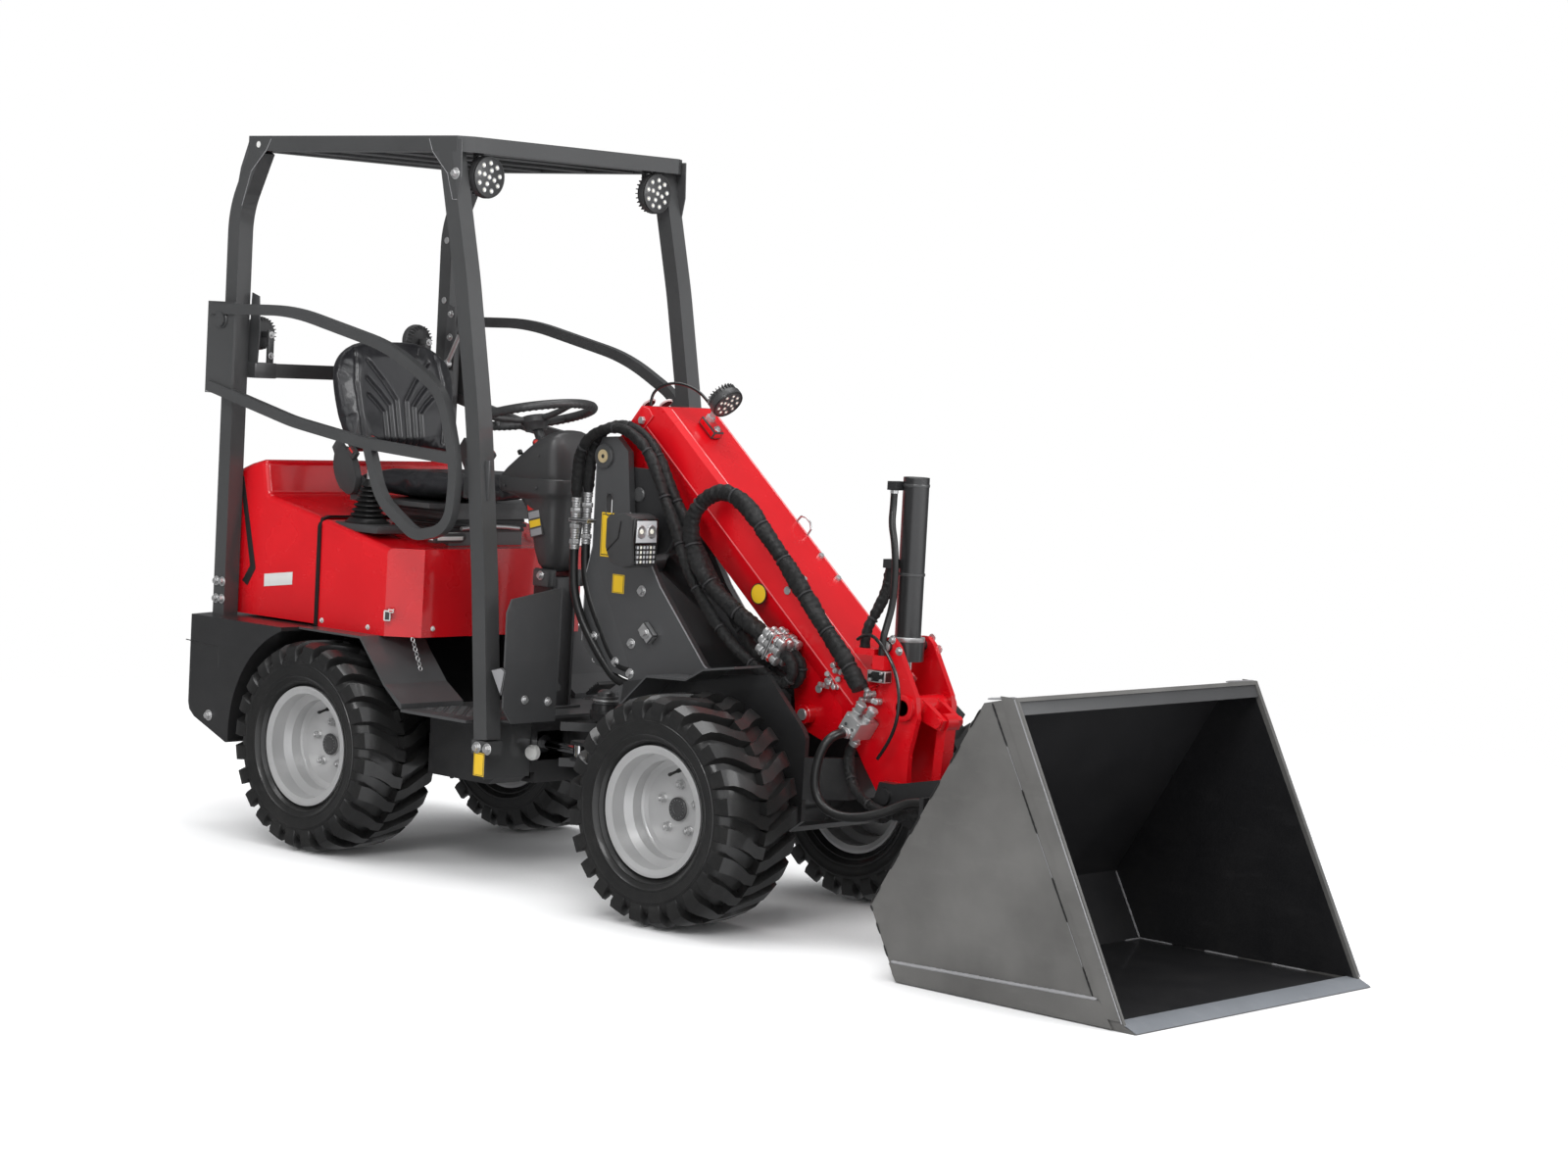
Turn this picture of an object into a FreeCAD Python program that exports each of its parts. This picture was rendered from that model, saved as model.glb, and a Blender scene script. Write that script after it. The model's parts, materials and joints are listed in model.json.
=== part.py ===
"""Compact articulated loader with a telescopic boom, as an assembly of sub-parts.

Row frame: +X forward to the bucket, +Y to the driver's left, +Z up, origin on the
ground under the middle of the whole machine. Lengths are in millimetres.

The machine is two frames hinged at an upright pin half way between the axles:
the rear frame carries engine, seat and roll cage; the front frame carries the
tower, the boom with its slide-out inner part, the hitch and the bucket.
"""

import FreeCAD, Part

import math
import os

import Sketcher

DOC = FreeCAD.newDocument("CompactLoader")
Vector = FreeCAD.Vector

# Driving dimensions. Each is written once, here, and read from the sheet below.
SIZES = {
    # whole machine
    "wheelbase": 1340,
    "rear_overhang": 565,
    "front_reach": 1493,
    "roof_height": 1968,
    "track_half": 384,
    # wheels: 23 x 10.50-12
    "tyre_radius": 292,
    "tyre_width": 267,
    "rim_flange_radius": 165,
    "rim_seat_radius": 152,
    "rim_half_width": 108,
    "rim_well_radius": 132,
    "rim_wall": 7,
    "disc_dish": 9,
    "disc_thickness": 8,
    "cap_radius": 31,
    "axle_tube_radius": 46,
    "hub_radius": 78,
    # frames
    "plate": 15,
    "sheet": 6,
    "rear_frame_half": 215,
    "front_frame_half": 200,
    "tower_inner_half": 118,
    "steer_pin_radius": 25,
    "floor_height": 430,
    "hood_half": 372,
    "hood_wall": 14,
    "hood_round": 18,
    "seam_gap": 6,
    "weight_half": 500,
    "arch_radius": 326,
    "tow_slot": 60,
    "tow_pin_radius": 13,
    # roll cage and side guards
    "cage_half": 404,
    "cage_tube": 50,
    "roof_thickness": 42,
    "guard_tube": 30,
    "guard_offset": 46,
    # boom, in its own frame: along the boom and square to it from the boom pin
    "boom_pin_back": 580,
    "boom_pin_height": 1143,
    "boom_slope": 40.3,
    "boom_half": 95,
    "boom_top": 220,
    "boom_fold": 133,
    "boom_bottom": 42,
    "boom_bottom_half": 62,
    "boom_length": 1045,
    "boom_wall": 10,
    "inner_wall": 8,
    "slide_gap": 0.5,
    "boom_pin_radius": 22,
    "head_plate": 16,
    "head_pin_radius": 20,
    # lift, tilt and steering cylinders
    "lift_barrel_radius": 37,
    "lift_rod_radius": 20,
    "tilt_barrel_radius": 33,
    "tilt_rod_radius": 16,
    "steer_barrel_radius": 24,
    "steer_rod_radius": 12,
    "pin_gap": 0.3,
    "lift_pin_radius": 19,
    # hitch and bucket
    "bucket_half": 480,
    "bucket_plate": 8,
    "bucket_depth": 690,
    "bucket_height": 701,
    "hitch_half": 118,
    "hook_tube_radius": 22,
    "link_pin_radius": 14,
    # seat and wheel
    "seat_half": 235,
    "steering_wheel_radius": 178,
    # hoses and their couplings
    "hose_radius": 12,
    "sleeve_radius": 15,
    "bundle_radius": 22,
    "lamp_cable_radius": 4,
    "coupling_radius": 13,
}


class Dim:
    """A number together with the expression that ties it to the sheet."""

    def __init__(self, value, text):
        self.value = float(value)
        self.text = text

    def __float__(self):
        return self.value

    def __add__(self, other):
        return joined(self, "+", other)

    def __radd__(self, other):
        return joined(other, "+", self)

    def __sub__(self, other):
        return joined(self, "-", other)

    def __rsub__(self, other):
        return joined(other, "-", self)

    def __mul__(self, other):
        return joined(self, "*", other)

    def __rmul__(self, other):
        return joined(other, "*", self)

    def __truediv__(self, other):
        return joined(self, "/", other)

    def __neg__(self):
        return Dim(-self.value, f"(-1 * {self.text})")


def joined(left, sign, right):
    """The sum, difference, product or quotient of two dimensions or numbers."""
    one, two = float(left), float(right)
    value = {"+": one + two, "-": one - two, "*": one * two}.get(sign)
    if value is None:
        value = one / two
    texts = [item.text if isinstance(item, Dim) else f"({item})" for item in (left, right)]
    return Dim(value, f"({texts[0]} {sign} {texts[1]})")


class Sheet:
    """The spreadsheet of driving dimensions, read by name."""

    def __init__(self, sizes):
        self.cells = DOC.addObject("Spreadsheet::Sheet", "Sizes")
        for row, (name, value) in enumerate(sizes.items(), start=1):
            self.cells.set(f"A{row}", str(value))
            self.cells.setAlias(f"A{row}", name)
        DOC.recompute()

    def __getattr__(self, name):
        return Dim(self.cells.get(name), f"Sizes.{name}")


S = Sheet(SIZES)

# Places that several sub-parts share.
TOTAL_LENGTH = S.rear_overhang + S.wheelbase + S.front_reach
REAR_END = -1 * TOTAL_LENGTH / 2
REAR = REAR_END + S.rear_overhang  # rear axle
STEER = REAR + S.wheelbase / 2  # upright steering pin
FRONT = REAR + S.wheelbase  # front axle
LIP = TOTAL_LENGTH / 2  # cutting edge of the bucket
AXLE_Z = S.tyre_radius
TOWER_OUTER = S.tower_inner_half + 20
BOOM_X = FRONT - S.boom_pin_back
BOOM_Z = S.boom_pin_height
HITCH_X = FRONT + 435  # hitch pivot
HITCH_Z = 363
LEVER_X = FRONT + 450  # tilt lever hub
LEVER_Z = HITCH_Z + 220
TRUNNION_X = FRONT + 383
TRUNNION_Z = 730
LEVER_ARM = 72  # lever hub to the rod's eye
LEVER_ARM_ANGLE = 201.5
LINK_ARM = (75, -30)  # lever hub to link pin, and hitch pivot to link pin
LIFT_BASE = (-470, 877)  # lift cylinder's foot, from the front axle
LIFT_EYE = (140, 533)  # lift cylinder's rod pin, from the front axle
STEER_CYLINDER_Z = 350
STEER_FOOT = (-330, -120)  # steering cylinder's foot, from the steering pin
STEER_EYE = (60, -150)  # steering cylinder's rod pin, from the steering pin
STEER_TRAVEL = 104  # either way from straight ahead
HOOD_HINGE = (REAR - 487, 622)
CONSOLE_SEAM = REAR - 112  # where hood and console meet
CONSOLE_HIGH = 914
CONSOLE_LOW = 852
WHEEL_CENTRE = (REAR + 335, 0, 1232)
WHEEL_RAKE = 14
TOW_SLOT_Z = 450
TOW_PIN_X = REAR_END + 60
BOOM_CHAMFER = 12
HEAD_OUTER = S.boom_half - S.boom_wall - S.slide_gap - S.inner_wall
HEAD_INNER = HEAD_OUTER - S.head_plate
HOOK_TUBE = (HITCH_X + 335, 562)
LOCK_TUBE = (HITCH_X + 200, 268)
BUCKET_BACK_LOW = (LIP - S.bucket_depth - 90, 170)
BUCKET_BACK_HIGH = (LIP - 476, S.bucket_height - 22)
PORTS = (276, -133, 700)  # middle of the couplings on the boom's side
PORTS_SLOPE = 27  # how far they point down, in degrees
VALVE = (540, -125, 528)  # middle of the valve block on the boom head
VALVE_TURN = 33  # how far the block leans, in degrees
COUPLING_NEAR = (-458, -155)
COUPLING_FAR = (-438, -132)

NODES = []
PLANES = {"XY": "XY_Plane", "XZ": "XZ_Plane", "YZ": "YZ_Plane"}


def bind(thing, path, amount):
    """Sets a property to a number, or ties it to the sheet."""
    if isinstance(amount, Dim):
        thing.setExpression(path, amount.text)
    else:
        thing.setExpression(path, str(amount))


def new_body(label):
    """A body that becomes the node of this name."""
    body = DOC.addObject("PartDesign::Body", label)
    body.Label = label
    NODES.append(body)
    return body


def place(body, where, axis=(0, 0, 1), angle=0.0):
    """Puts a body at a point, turned about an axis by an angle in degrees."""
    turn = FreeCAD.Rotation(Vector(*axis), float(angle))
    body.Placement = FreeCAD.Placement(Vector(*[float(value) for value in where]), turn)
    for letter, value in zip("xyz", where):
        if isinstance(value, Dim):
            bind(body, f".Placement.Base.{letter}", value)


def new_sketch(body, plane, level):
    """A sketch on one of the body's origin planes, moved to a level along its normal."""
    sketch = body.newObject("Sketcher::SketchObject", "Sketch")
    role = PLANES[plane]
    support = [item for item in body.Origin.OriginFeatures if item.Role == role][0]
    sketch.AttachmentSupport = [(support, "")]
    sketch.MapMode = "FlatFace"
    bind(sketch, ".AttachmentOffset.Base.z", level)
    return sketch


def fix_point(sketch, index, corner, place_x, place_y):
    """Dimensions one point of a sketch from the sketch's origin."""
    for kind, amount in (("DistanceX", place_x), ("DistanceY", place_y)):
        limit = Sketcher.Constraint(kind, -1, 1, index, corner, float(amount))
        number = sketch.addConstraint(limit)
        if isinstance(amount, Dim):
            bind(sketch, f"Constraints[{number}]", amount)


def draw_polygon(sketch, points):
    """A closed outline of straight sides through the given points."""
    first = sketch.GeometryCount
    count = len(points)
    ends = [Vector(float(point[0]), float(point[1]), 0) for point in points]
    for index in range(count):
        side = Part.LineSegment(ends[index], ends[(index + 1) % count])
        sketch.addGeometry(side, False)
    for index in range(count):
        after = first + (index + 1) % count
        sketch.addConstraint(Sketcher.Constraint("Coincident", first + index, 2, after, 1))
    for index, point in enumerate(points):
        fix_point(sketch, first + index, 1, point[0], point[1])


def draw_circle(sketch, centre, radius):
    """A circle with its centre and radius dimensioned."""
    middle = Vector(float(centre[0]), float(centre[1]), 0)
    index = sketch.addGeometry(Part.Circle(middle, Vector(0, 0, 1), float(radius)), False)
    fix_point(sketch, index, 3, centre[0], centre[1])
    limit = Sketcher.Constraint("Radius", index, float(radius))
    number = sketch.addConstraint(limit)
    if isinstance(radius, Dim):
        bind(sketch, f"Constraints[{number}]", radius)


def start_level(plane, low, high):
    """Where a sketch lies so that its pad fills the span from low to high."""
    return -1 * high if plane == "XZ" else low


def pad(body, sketch, low, high):
    """Fills the sketch's outline from low to high along its plane's axis."""
    feature = body.newObject("PartDesign::Pad", "Pad")
    feature.Profile = sketch
    bind(feature, "Length", high - low)
    sketch.Visibility = False
    return feature


def cut(body, sketch, low, high):
    """Cuts the sketch's outline from low to high, and checks that it removed something."""
    DOC.recompute()
    before = body.Shape.Volume
    feature = body.newObject("PartDesign::Pocket", "Pocket")
    feature.Profile = sketch
    feature.Reversed = True
    bind(feature, "Length", high - low)
    DOC.recompute()
    if body.Shape.Volume > before - 1:
        raise RuntimeError(f"a pocket of {body.Label} removed nothing")
    return feature


def slab(body, plane, points, low, high):
    """A prism of the outline between two levels."""
    sketch = new_sketch(body, plane, start_level(plane, low, high))
    draw_polygon(sketch, points)
    return pad(body, sketch, low, high)


def slabs(body, points, inner, outer):
    """The same side plate on the right and on the left."""
    slab(body, "XZ", points, -1 * outer, -1 * inner)
    return slab(body, "XZ", points, inner, outer)


def hollow(body, plane, points, low, high):
    """Cuts a prism of the outline between two levels."""
    sketch = new_sketch(body, plane, start_level(plane, low, high))
    draw_polygon(sketch, points)
    return cut(body, sketch, low, high)


def disc(body, plane, centre, radius, low, high, hole=None):
    """A round bar or ring between two levels."""
    sketch = new_sketch(body, plane, start_level(plane, low, high))
    draw_circle(sketch, centre, radius)
    if hole is not None:
        draw_circle(sketch, centre, hole)
    return pad(body, sketch, low, high)


def discs(body, centre, radius, inner, outer, hole=None):
    """The same round piece on the right and on the left."""
    disc(body, "XZ", centre, radius, -1 * outer, -1 * inner, hole)
    return disc(body, "XZ", centre, radius, inner, outer, hole)


def bore(body, plane, centre, radius, low, high):
    """Cuts a round hole between two levels."""
    sketch = new_sketch(body, plane, start_level(plane, low, high))
    draw_circle(sketch, centre, radius)
    return cut(body, sketch, low, high)


def turned(body, points):
    """A ring turned about the body's Y axis; points are (along Y, radius)."""
    sketch = new_sketch(body, "YZ", 0)
    draw_polygon(sketch, points)
    feature = body.newObject("PartDesign::Revolution", "Revolution")
    feature.Profile = sketch
    feature.ReferenceAxis = (sketch, ["H_Axis"])
    feature.Angle = 360
    return feature


def box_points(low, high):
    """The four corners of a rectangle."""
    return [(low[0], low[1]), (high[0], low[1]), (high[0], high[1]), (low[0], high[1])]


def edges_along(shape, direction, points, plane):
    """Names of the straight edges along a direction that pass through given points."""
    names = []
    keep = {"XY": (0, 1), "XZ": (0, 2), "YZ": (1, 2)}[plane]
    for number, edge in enumerate(shape.Edges, start=1):
        if edge.Curve.TypeId != "Part::GeomLine":
            continue
        if abs(edge.tangentAt(edge.FirstParameter).dot(Vector(*direction))) < 0.999:
            continue
        spot = edge.Vertexes[0].Point
        for point in points:
            gap = math.hypot(spot[keep[0]] - float(point[0]), spot[keep[1]] - float(point[1]))
            if gap < 0.5:
                names.append(f"Edge{number}")
                break
    return names


def round_edges(body, plane, points, radius):
    """Rounds the edges that stand square on a plane at the given points."""
    direction = {"XY": (0, 0, 1), "XZ": (0, 1, 0), "YZ": (1, 0, 0)}[plane]
    DOC.recompute()
    tip = body.Tip
    names = edges_along(tip.Shape, direction, points, plane)
    if not names:
        raise RuntimeError(f"no edge of {body.Label} to round")
    feature = body.newObject("PartDesign::Fillet", "Fillet")
    feature.Base = (tip, names)
    bind(feature, "Radius", radius)
    return feature


def soften_side(body, level, radius):
    """Rounds all the edges of the flat side that lies at a place along Y."""
    DOC.recompute()
    tip = body.Tip
    names = []
    for index, edge in enumerate(tip.Shape.Edges, start=1):
        ends = [vertex.Point for vertex in edge.Vertexes]
        if all(abs(end.y - level) < 0.01 for end in ends):
            names.append(f"Edge{index}")
    feature = body.newObject("PartDesign::Fillet", "Soft")
    feature.Base = (tip, names)
    bind(feature, "Radius", radius)
    return feature


def round_crest(body, lowest, radius):
    """Rounds the edges along both flanks of a housing's top, from a height upwards."""
    DOC.recompute()
    tip = body.Tip
    flank = tip.Shape.BoundBox.YMax
    names = []
    for index, edge in enumerate(tip.Shape.Edges, start=1):
        ends = [vertex.Point for vertex in edge.Vertexes]
        if all(abs(abs(end.y) - flank) < 0.01 and end.z > float(lowest) for end in ends):
            names.append(f"Edge{index}")
    feature = body.newObject("PartDesign::Fillet", "Crest")
    feature.Base = (tip, names)
    bind(feature, "Radius", radius)
    return feature


def bend_path(points):
    """Lines joined by tangent arcs; each inner point may give its bend radius last."""
    corners = [Vector(*[float(value) for value in point[:3]]) for point in points]
    edges = []
    start = corners[0]
    for index in range(1, len(corners) - 1):
        back = (corners[index - 1] - corners[index]).normalize()
        ahead = (corners[index + 1] - corners[index]).normalize()
        half = back.getAngle(ahead) / 2
        reach = float(points[index][3]) / math.tan(half)
        begin = corners[index] + back * reach
        end = corners[index] + ahead * reach
        middle_line = (back + ahead).normalize()
        centre = corners[index] + middle_line * (float(points[index][3]) / math.sin(half))
        middle = centre - middle_line * float(points[index][3])
        edges.append(Part.LineSegment(start, begin))
        edges.append(Part.Arc(begin, middle, end))
        start = end
    edges.append(Part.LineSegment(start, corners[-1]))
    return edges


def add_bent_bar(body, points, wide, deep, level):
    """Adds a bar of in-plane width and depth along Y that follows a bent path in XZ."""
    route = []
    for point in points:
        corner = (float(point[0]), 0.0, float(point[1]))
        route.append(corner + tuple(point[2:3]))
    half = float(wide) / 2
    centre_line = bend_path(route)
    sides = [offset_side(centre_line, sign * half) for sign in (-1, 1)]
    sketch = new_sketch(body, "XZ", start_level("XZ", level - deep / 2, level + deep / 2))
    draw_loop(sketch, sides)
    return pad(body, sketch, level - deep / 2, level + deep / 2)


def offset_side(edges, shift):
    """The centre line's lines and arcs moved sideways, as sketch geometry in (x, z)."""
    moved = []
    for edge in edges:
        if isinstance(edge, Part.LineSegment):
            along = (edge.EndPoint - edge.StartPoint).normalize()
            side = Vector(-along.z, 0, along.x) * shift
            ends = [edge.StartPoint + side, edge.EndPoint + side]
            moved.append(("line", ends[0], ends[1]))
            continue
        curve = edge.toShape()
        start, end = curve.valueAt(curve.FirstParameter), curve.valueAt(curve.LastParameter)
        middle = curve.valueAt((curve.FirstParameter + curve.LastParameter) / 2)
        points = []
        for spot, parameter in (
            (start, curve.FirstParameter),
            (middle, (curve.FirstParameter + curve.LastParameter) / 2),
            (end, curve.LastParameter),
        ):
            along = curve.tangentAt(parameter)
            points.append(spot + Vector(-along.z, 0, along.x) * shift)
        moved.append(("arc", points[0], points[1], points[2]))
    return moved


def draw_loop(sketch, sides):
    """Closes two offset sides into one outline."""
    one, two = sides
    pieces = list(one)
    pieces.append(("line", one[-1][-1], two[-1][-1]))
    for item in reversed(two):
        pieces.append((item[0],) + tuple(reversed(item[1:])))
    pieces.append(("line", two[0][1], one[0][1]))
    for kind, *spots in pieces:
        flat = [Vector(spot.x, spot.z, 0) for spot in spots]
        piece = Part.LineSegment(*flat) if kind == "line" else Part.Arc(*flat)
        sketch.addGeometry(piece, False)


def new_feature(label, shape):
    """A node whose shape is made directly, for forms that no sketch feature suits."""
    feature = DOC.addObject("Part::Feature", label)
    feature.Label = label
    feature.Shape = shape
    NODES.append(feature)
    return feature


# ---------------------------------------------------------------- wheels


def wheel_parts():
    """Four wheels: a welded steel rim with its disc, and a tyre on it."""
    flange, seat, half = S.rim_flange_radius, S.rim_seat_radius, S.rim_half_width
    well, wall = S.rim_well_radius, S.rim_wall
    dish, disc_wall = S.disc_dish, S.disc_thickness
    rim_outline = [
        (-1 * half, flange), (9 - half, flange), (12 - half, seat), (48 - half, seat - 2),
        (62 - half, well), (half - 70, well), (half - 56, seat - 2), (half - 12, seat),
        (half - 9, flange), (half, flange), (half, flange - 7), (half - 4, seat - wall),
        (half - 52, seat - wall - 2), (half - 66, well - wall), (disc_wall - dish, well - wall),
        (disc_wall - dish, S.cap_radius), (-1 * dish, S.cap_radius),
        (-1 * dish, well - 22), (-1 * dish - 9, well - wall), (58 - half, well - wall),
        (44 - half, seat - wall - 2), (4 - half, seat - wall), (-1 * half, flange - 7),
    ]
    radius, wide = S.tyre_radius, S.tyre_width / 2
    tyre_outline = [
        (14 - half, seat + S.pin_gap), (12.5 - half, flange + 4), (-1 * wide, seat + 58),
        (-1 * wide, seat + 88), (8 - wide, radius - 14), (24 - wide, radius - 3),
        (-30, radius), (30, radius), (wide - 24, radius - 3), (wide - 8, radius - 14),
        (wide, seat + 88), (wide, seat + 58), (half - 12.5, flange + 4),
        (half - 14, seat + S.pin_gap),
    ]
    corners = [
        ("front_right", FRONT, -1 * S.track_half, 0), ("front_left", FRONT, S.track_half, 180),
        ("rear_right", REAR, -1 * S.track_half, 0), ("rear_left", REAR, S.track_half, 180),
    ]
    for name, where_x, where_y, angle in corners:
        rim = new_body(f"rim_{name}")
        turned(rim, rim_outline)
        disc(rim, "XZ", (0, 0), S.cap_radius, -1 * dish - 5, disc_wall - dish)
        place(rim, (where_x, where_y, AXLE_Z), angle=angle)
        tyre = new_body(f"tyre_{name}")
        turned(tyre, tyre_outline)
        place(tyre, (where_x, where_y, AXLE_Z), angle=angle)


def axle(label, where_x, frame_half):
    """A drive axle: tube, two hub flanges and the motor housing in the middle."""
    body = new_body(label)
    face = S.track_half + S.disc_dish - S.disc_thickness - S.pin_gap
    disc(body, "XZ", (where_x, AXLE_Z), S.axle_tube_radius, -1 * face + 30, face - 30)
    discs(body, (where_x, AXLE_Z), S.hub_radius, face - 34, face)
    discs(body, (where_x, AXLE_Z), S.axle_tube_radius + 20, frame_half + 8, face - 34)
    disc(body, "XZ", (where_x, AXLE_Z), 78, -95, 95)
    return body


# ---------------------------------------------------------------- rear frame


def rear_chassis():
    """Welded rear frame: side plates, cross plates, side tanks and the pivot's two lugs."""
    body = new_body("rear_chassis")
    outer = S.rear_frame_half
    inner = outer - S.plate
    side = [
        (REAR - 330, 330), (REAR - 330, 600), (REAR + 150, 600), (REAR + 270, S.floor_height - 8),
        (STEER - 60, S.floor_height - 8), (STEER - 60, 280), (REAR + 280, 250), (REAR - 120, 250),
    ]
    slabs(body, side, inner, outer)
    slab(body, "XZ", box_points((REAR + 90, 250), (STEER - 60, 262)), -1 * inner, inner)
    slab(body, "XZ", box_points((STEER - 75, 262), (STEER - 60, S.floor_height - 8)),
         -1 * inner, inner)
    slab(body, "XZ", box_points((REAR + 240, 262), (REAR + 255, S.floor_height - 8)),
         -1 * inner, inner)
    window = box_points((-194, STEER_CYLINDER_Z - 40), (-84, STEER_CYLINDER_Z + 40))
    hollow(body, "YZ", window, STEER - 76, STEER - 59)
    foot = (STEER + STEER_FOOT[0], STEER_FOOT[1])
    for low in (STEER_CYLINDER_Z - 36, STEER_CYLINDER_Z + 26):
        ear = box_points((foot[0] - 30, -1 * inner), (foot[0] + 22, foot[1] + 30))
        slab(body, "XY", ear, low, low + 10)
    for low in (290, 388):
        lug = [(STEER - 60, -110), (STEER + 10, -42), (STEER + 42, -20), (STEER + 42, 20),
               (STEER + 10, 42), (STEER - 60, 110)]
        slab(body, "XY", lug, low, low + 24)
        bore(body, "XY", (STEER, 0), S.steer_pin_radius + S.pin_gap, low - 1, low + 25)
    bore(body, "XZ", (REAR, AXLE_Z), S.axle_tube_radius + S.pin_gap, -1 * outer - 1, outer + 1)
    return body


def steering_cylinder():
    """Steering cylinder on the right of the pivot: barrel behind it, rod to the front."""
    run = math.hypot(STEER_EYE[0] - STEER_FOOT[0], STEER_EYE[1] - STEER_FOOT[1])
    angle = math.degrees(math.atan2(STEER_EYE[1] - STEER_FOOT[1], STEER_EYE[0] - STEER_FOOT[0]))
    where = (STEER + STEER_FOOT[0], STEER_FOOT[1], STEER_CYLINDER_Z)
    mouth = run - STEER_TRAVEL - 45
    barrel = new_body("steering_barrel")
    disc(barrel, "YZ", (0, 0), S.steer_barrel_radius, 12, mouth)
    disc(barrel, "XY", (0, 0), 20, -25.5, 25.5)
    bore(barrel, "YZ", (0, 0), S.steer_rod_radius + S.pin_gap, 25, mouth + 1)
    place(barrel, where, angle=angle)
    rod = new_body("steering_rod")
    disc(rod, "YZ", (0, 0), S.steer_rod_radius, 135, run - 12)
    disc(rod, "XY", (run, 0), 18, -16, 16)
    place(rod, where, angle=angle)


def side_tanks():
    """Fuel and oil tanks that hang under the floor between the wheels."""
    body = new_body("side_tanks")
    outline = [
        (REAR + 330, 250), (REAR + 330, S.floor_height - 8), (REAR + 600, S.floor_height - 8),
        (REAR + 600, 275), (REAR + 570, 250),
    ]
    slabs(body, outline, S.rear_frame_half, S.rear_frame_half + 115)
    return body


def floor_plate():
    """Tread-plate floor of the foot well, with the entry steps on both sides."""
    body = new_body("floor_plate")
    top = S.floor_height
    half = S.cage_half + 36
    corner = [
        (REAR + 272, -1 * S.rear_frame_half), (REAR + 330, -1 * half), (REAR + 590, -1 * half),
        (REAR + 590, -1 * S.cage_half + 26), (STEER - 20, -1 * S.cage_half + 26),
        (STEER - 20, -1 * S.rear_frame_half), (STEER - 62, -1 * S.rear_frame_half),
        (STEER - 62, S.rear_frame_half), (STEER - 20, S.rear_frame_half),
        (STEER - 20, S.cage_half - 26), (REAR + 590, S.cage_half - 26), (REAR + 590, half),
        (REAR + 330, half), (REAR + 272, S.rear_frame_half),
    ]
    slab(body, "XY", corner, top - 8, top)
    foot_guards(body)


def counterweight():
    """Cast tail weight with the rear halves of the wheel arches."""
    body = new_body("counterweight")
    half = S.weight_half
    tail = [
        (REAR_END, 610), (REAR_END, 540), (REAR_END + 62, 338), (REAR_END + 84, 320),
        (REAR - 335, 262), (REAR - 335, 610),
    ]
    slab(body, "XZ", tail, -1 * half, half)
    wing = [(REAR - 335, 262), (REAR - 335, 610), (REAR - 110, 610), (REAR - 110, 300)]
    slabs(body, wing, S.rear_frame_half + 10, half)
    for side in (-1, 1):
        low, high = sorted((side * (float(S.rear_frame_half) + 10), side * (float(half) + 1)))
        bore(body, "XZ", (REAR, AXLE_Z), S.arch_radius, low, high)
        corner = [
            (REAR_END - 1, side * (half + 1)), (REAR_END + 56, side * (half + 1)),
            (REAR_END - 1, side * (half - 190)),
        ]
        hollow(body, "XY", corner, 250, 620)
    slot = box_points((REAR_END - 1, TOW_SLOT_Z - S.tow_slot / 2),
                      (REAR_END + 130, TOW_SLOT_Z + S.tow_slot / 2))
    hollow(body, "XZ", slot, -65, 65)
    bore(body, "XY", (TOW_PIN_X, 0), S.tow_pin_radius, 350, 611)
    foot = box_points((HOOD_HINGE[0] - 9, 609), (HOOD_HINGE[0] + 9, HOOD_HINGE[1]))
    slabs(body, foot, 190.3, 225)
    discs(body, HOOD_HINGE, 9, 190.3, 225)
    discs(body, HOOD_HINGE, 4, 150, 225)
    return body


def rear_fenders():
    """Bent sheets over the front halves of the rear wheels, down to the floor plate."""
    body = new_body("rear_fenders")
    outline = [
        (REAR - 108, 604), (REAR - 108, 610), (REAR + 152, 610), (REAR + 262, 490),
        (REAR + 332, S.floor_height + 14), (REAR + 332, S.floor_height + 0.3),
        (REAR + 326, S.floor_height + 0.3), (REAR + 256, 486), (REAR + 149, 604),
    ]
    slabs(body, outline, S.rear_frame_half, S.cage_half + 36)
    return body


def engine_block():
    """The engine, its own size, as one plain block under the hood."""
    body = new_body("engine_block")
    outline = box_points((REAR - 325, 600), (REAR - 20, 828))
    slab(body, "XZ", outline, -200, 200)
    return body


def console_top(where):
    """Height of the console's sloping top at a place along the machine."""
    return CONSOLE_HIGH - (where - CONSOLE_SEAM) * (CONSOLE_HIGH - CONSOLE_LOW) / 284


def seat_console():
    """Red housing in front of the hood that carries seat and levers."""
    body = new_body("seat_console")
    half = S.hood_half
    seam = CONSOLE_SEAM
    plan = [
        (seam, -1 * half), (REAR + 172, -1 * half), (REAR + 244, 72 - half),
        (REAR + 244, half - 72), (REAR + 172, half), (seam, half),
    ]
    slab(body, "XY", plan, 610, 915)
    above = [
        (seam, CONSOLE_HIGH), (REAR + 172, CONSOLE_LOW), (REAR + 250, CONSOLE_LOW), (REAR + 250, 930),
        (seam - 1, 930), (seam - 1, CONSOLE_HIGH),
    ]
    hollow(body, "XZ", above, -1 * half - 1, half + 1)
    inner = half - S.hood_wall
    hollow(body, "XY", box_points((seam - 1, -1 * inner), (REAR + 120, inner)), 609, 835)
    round_crest(body, CONSOLE_LOW - 1, S.hood_round)
    return body


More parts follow.
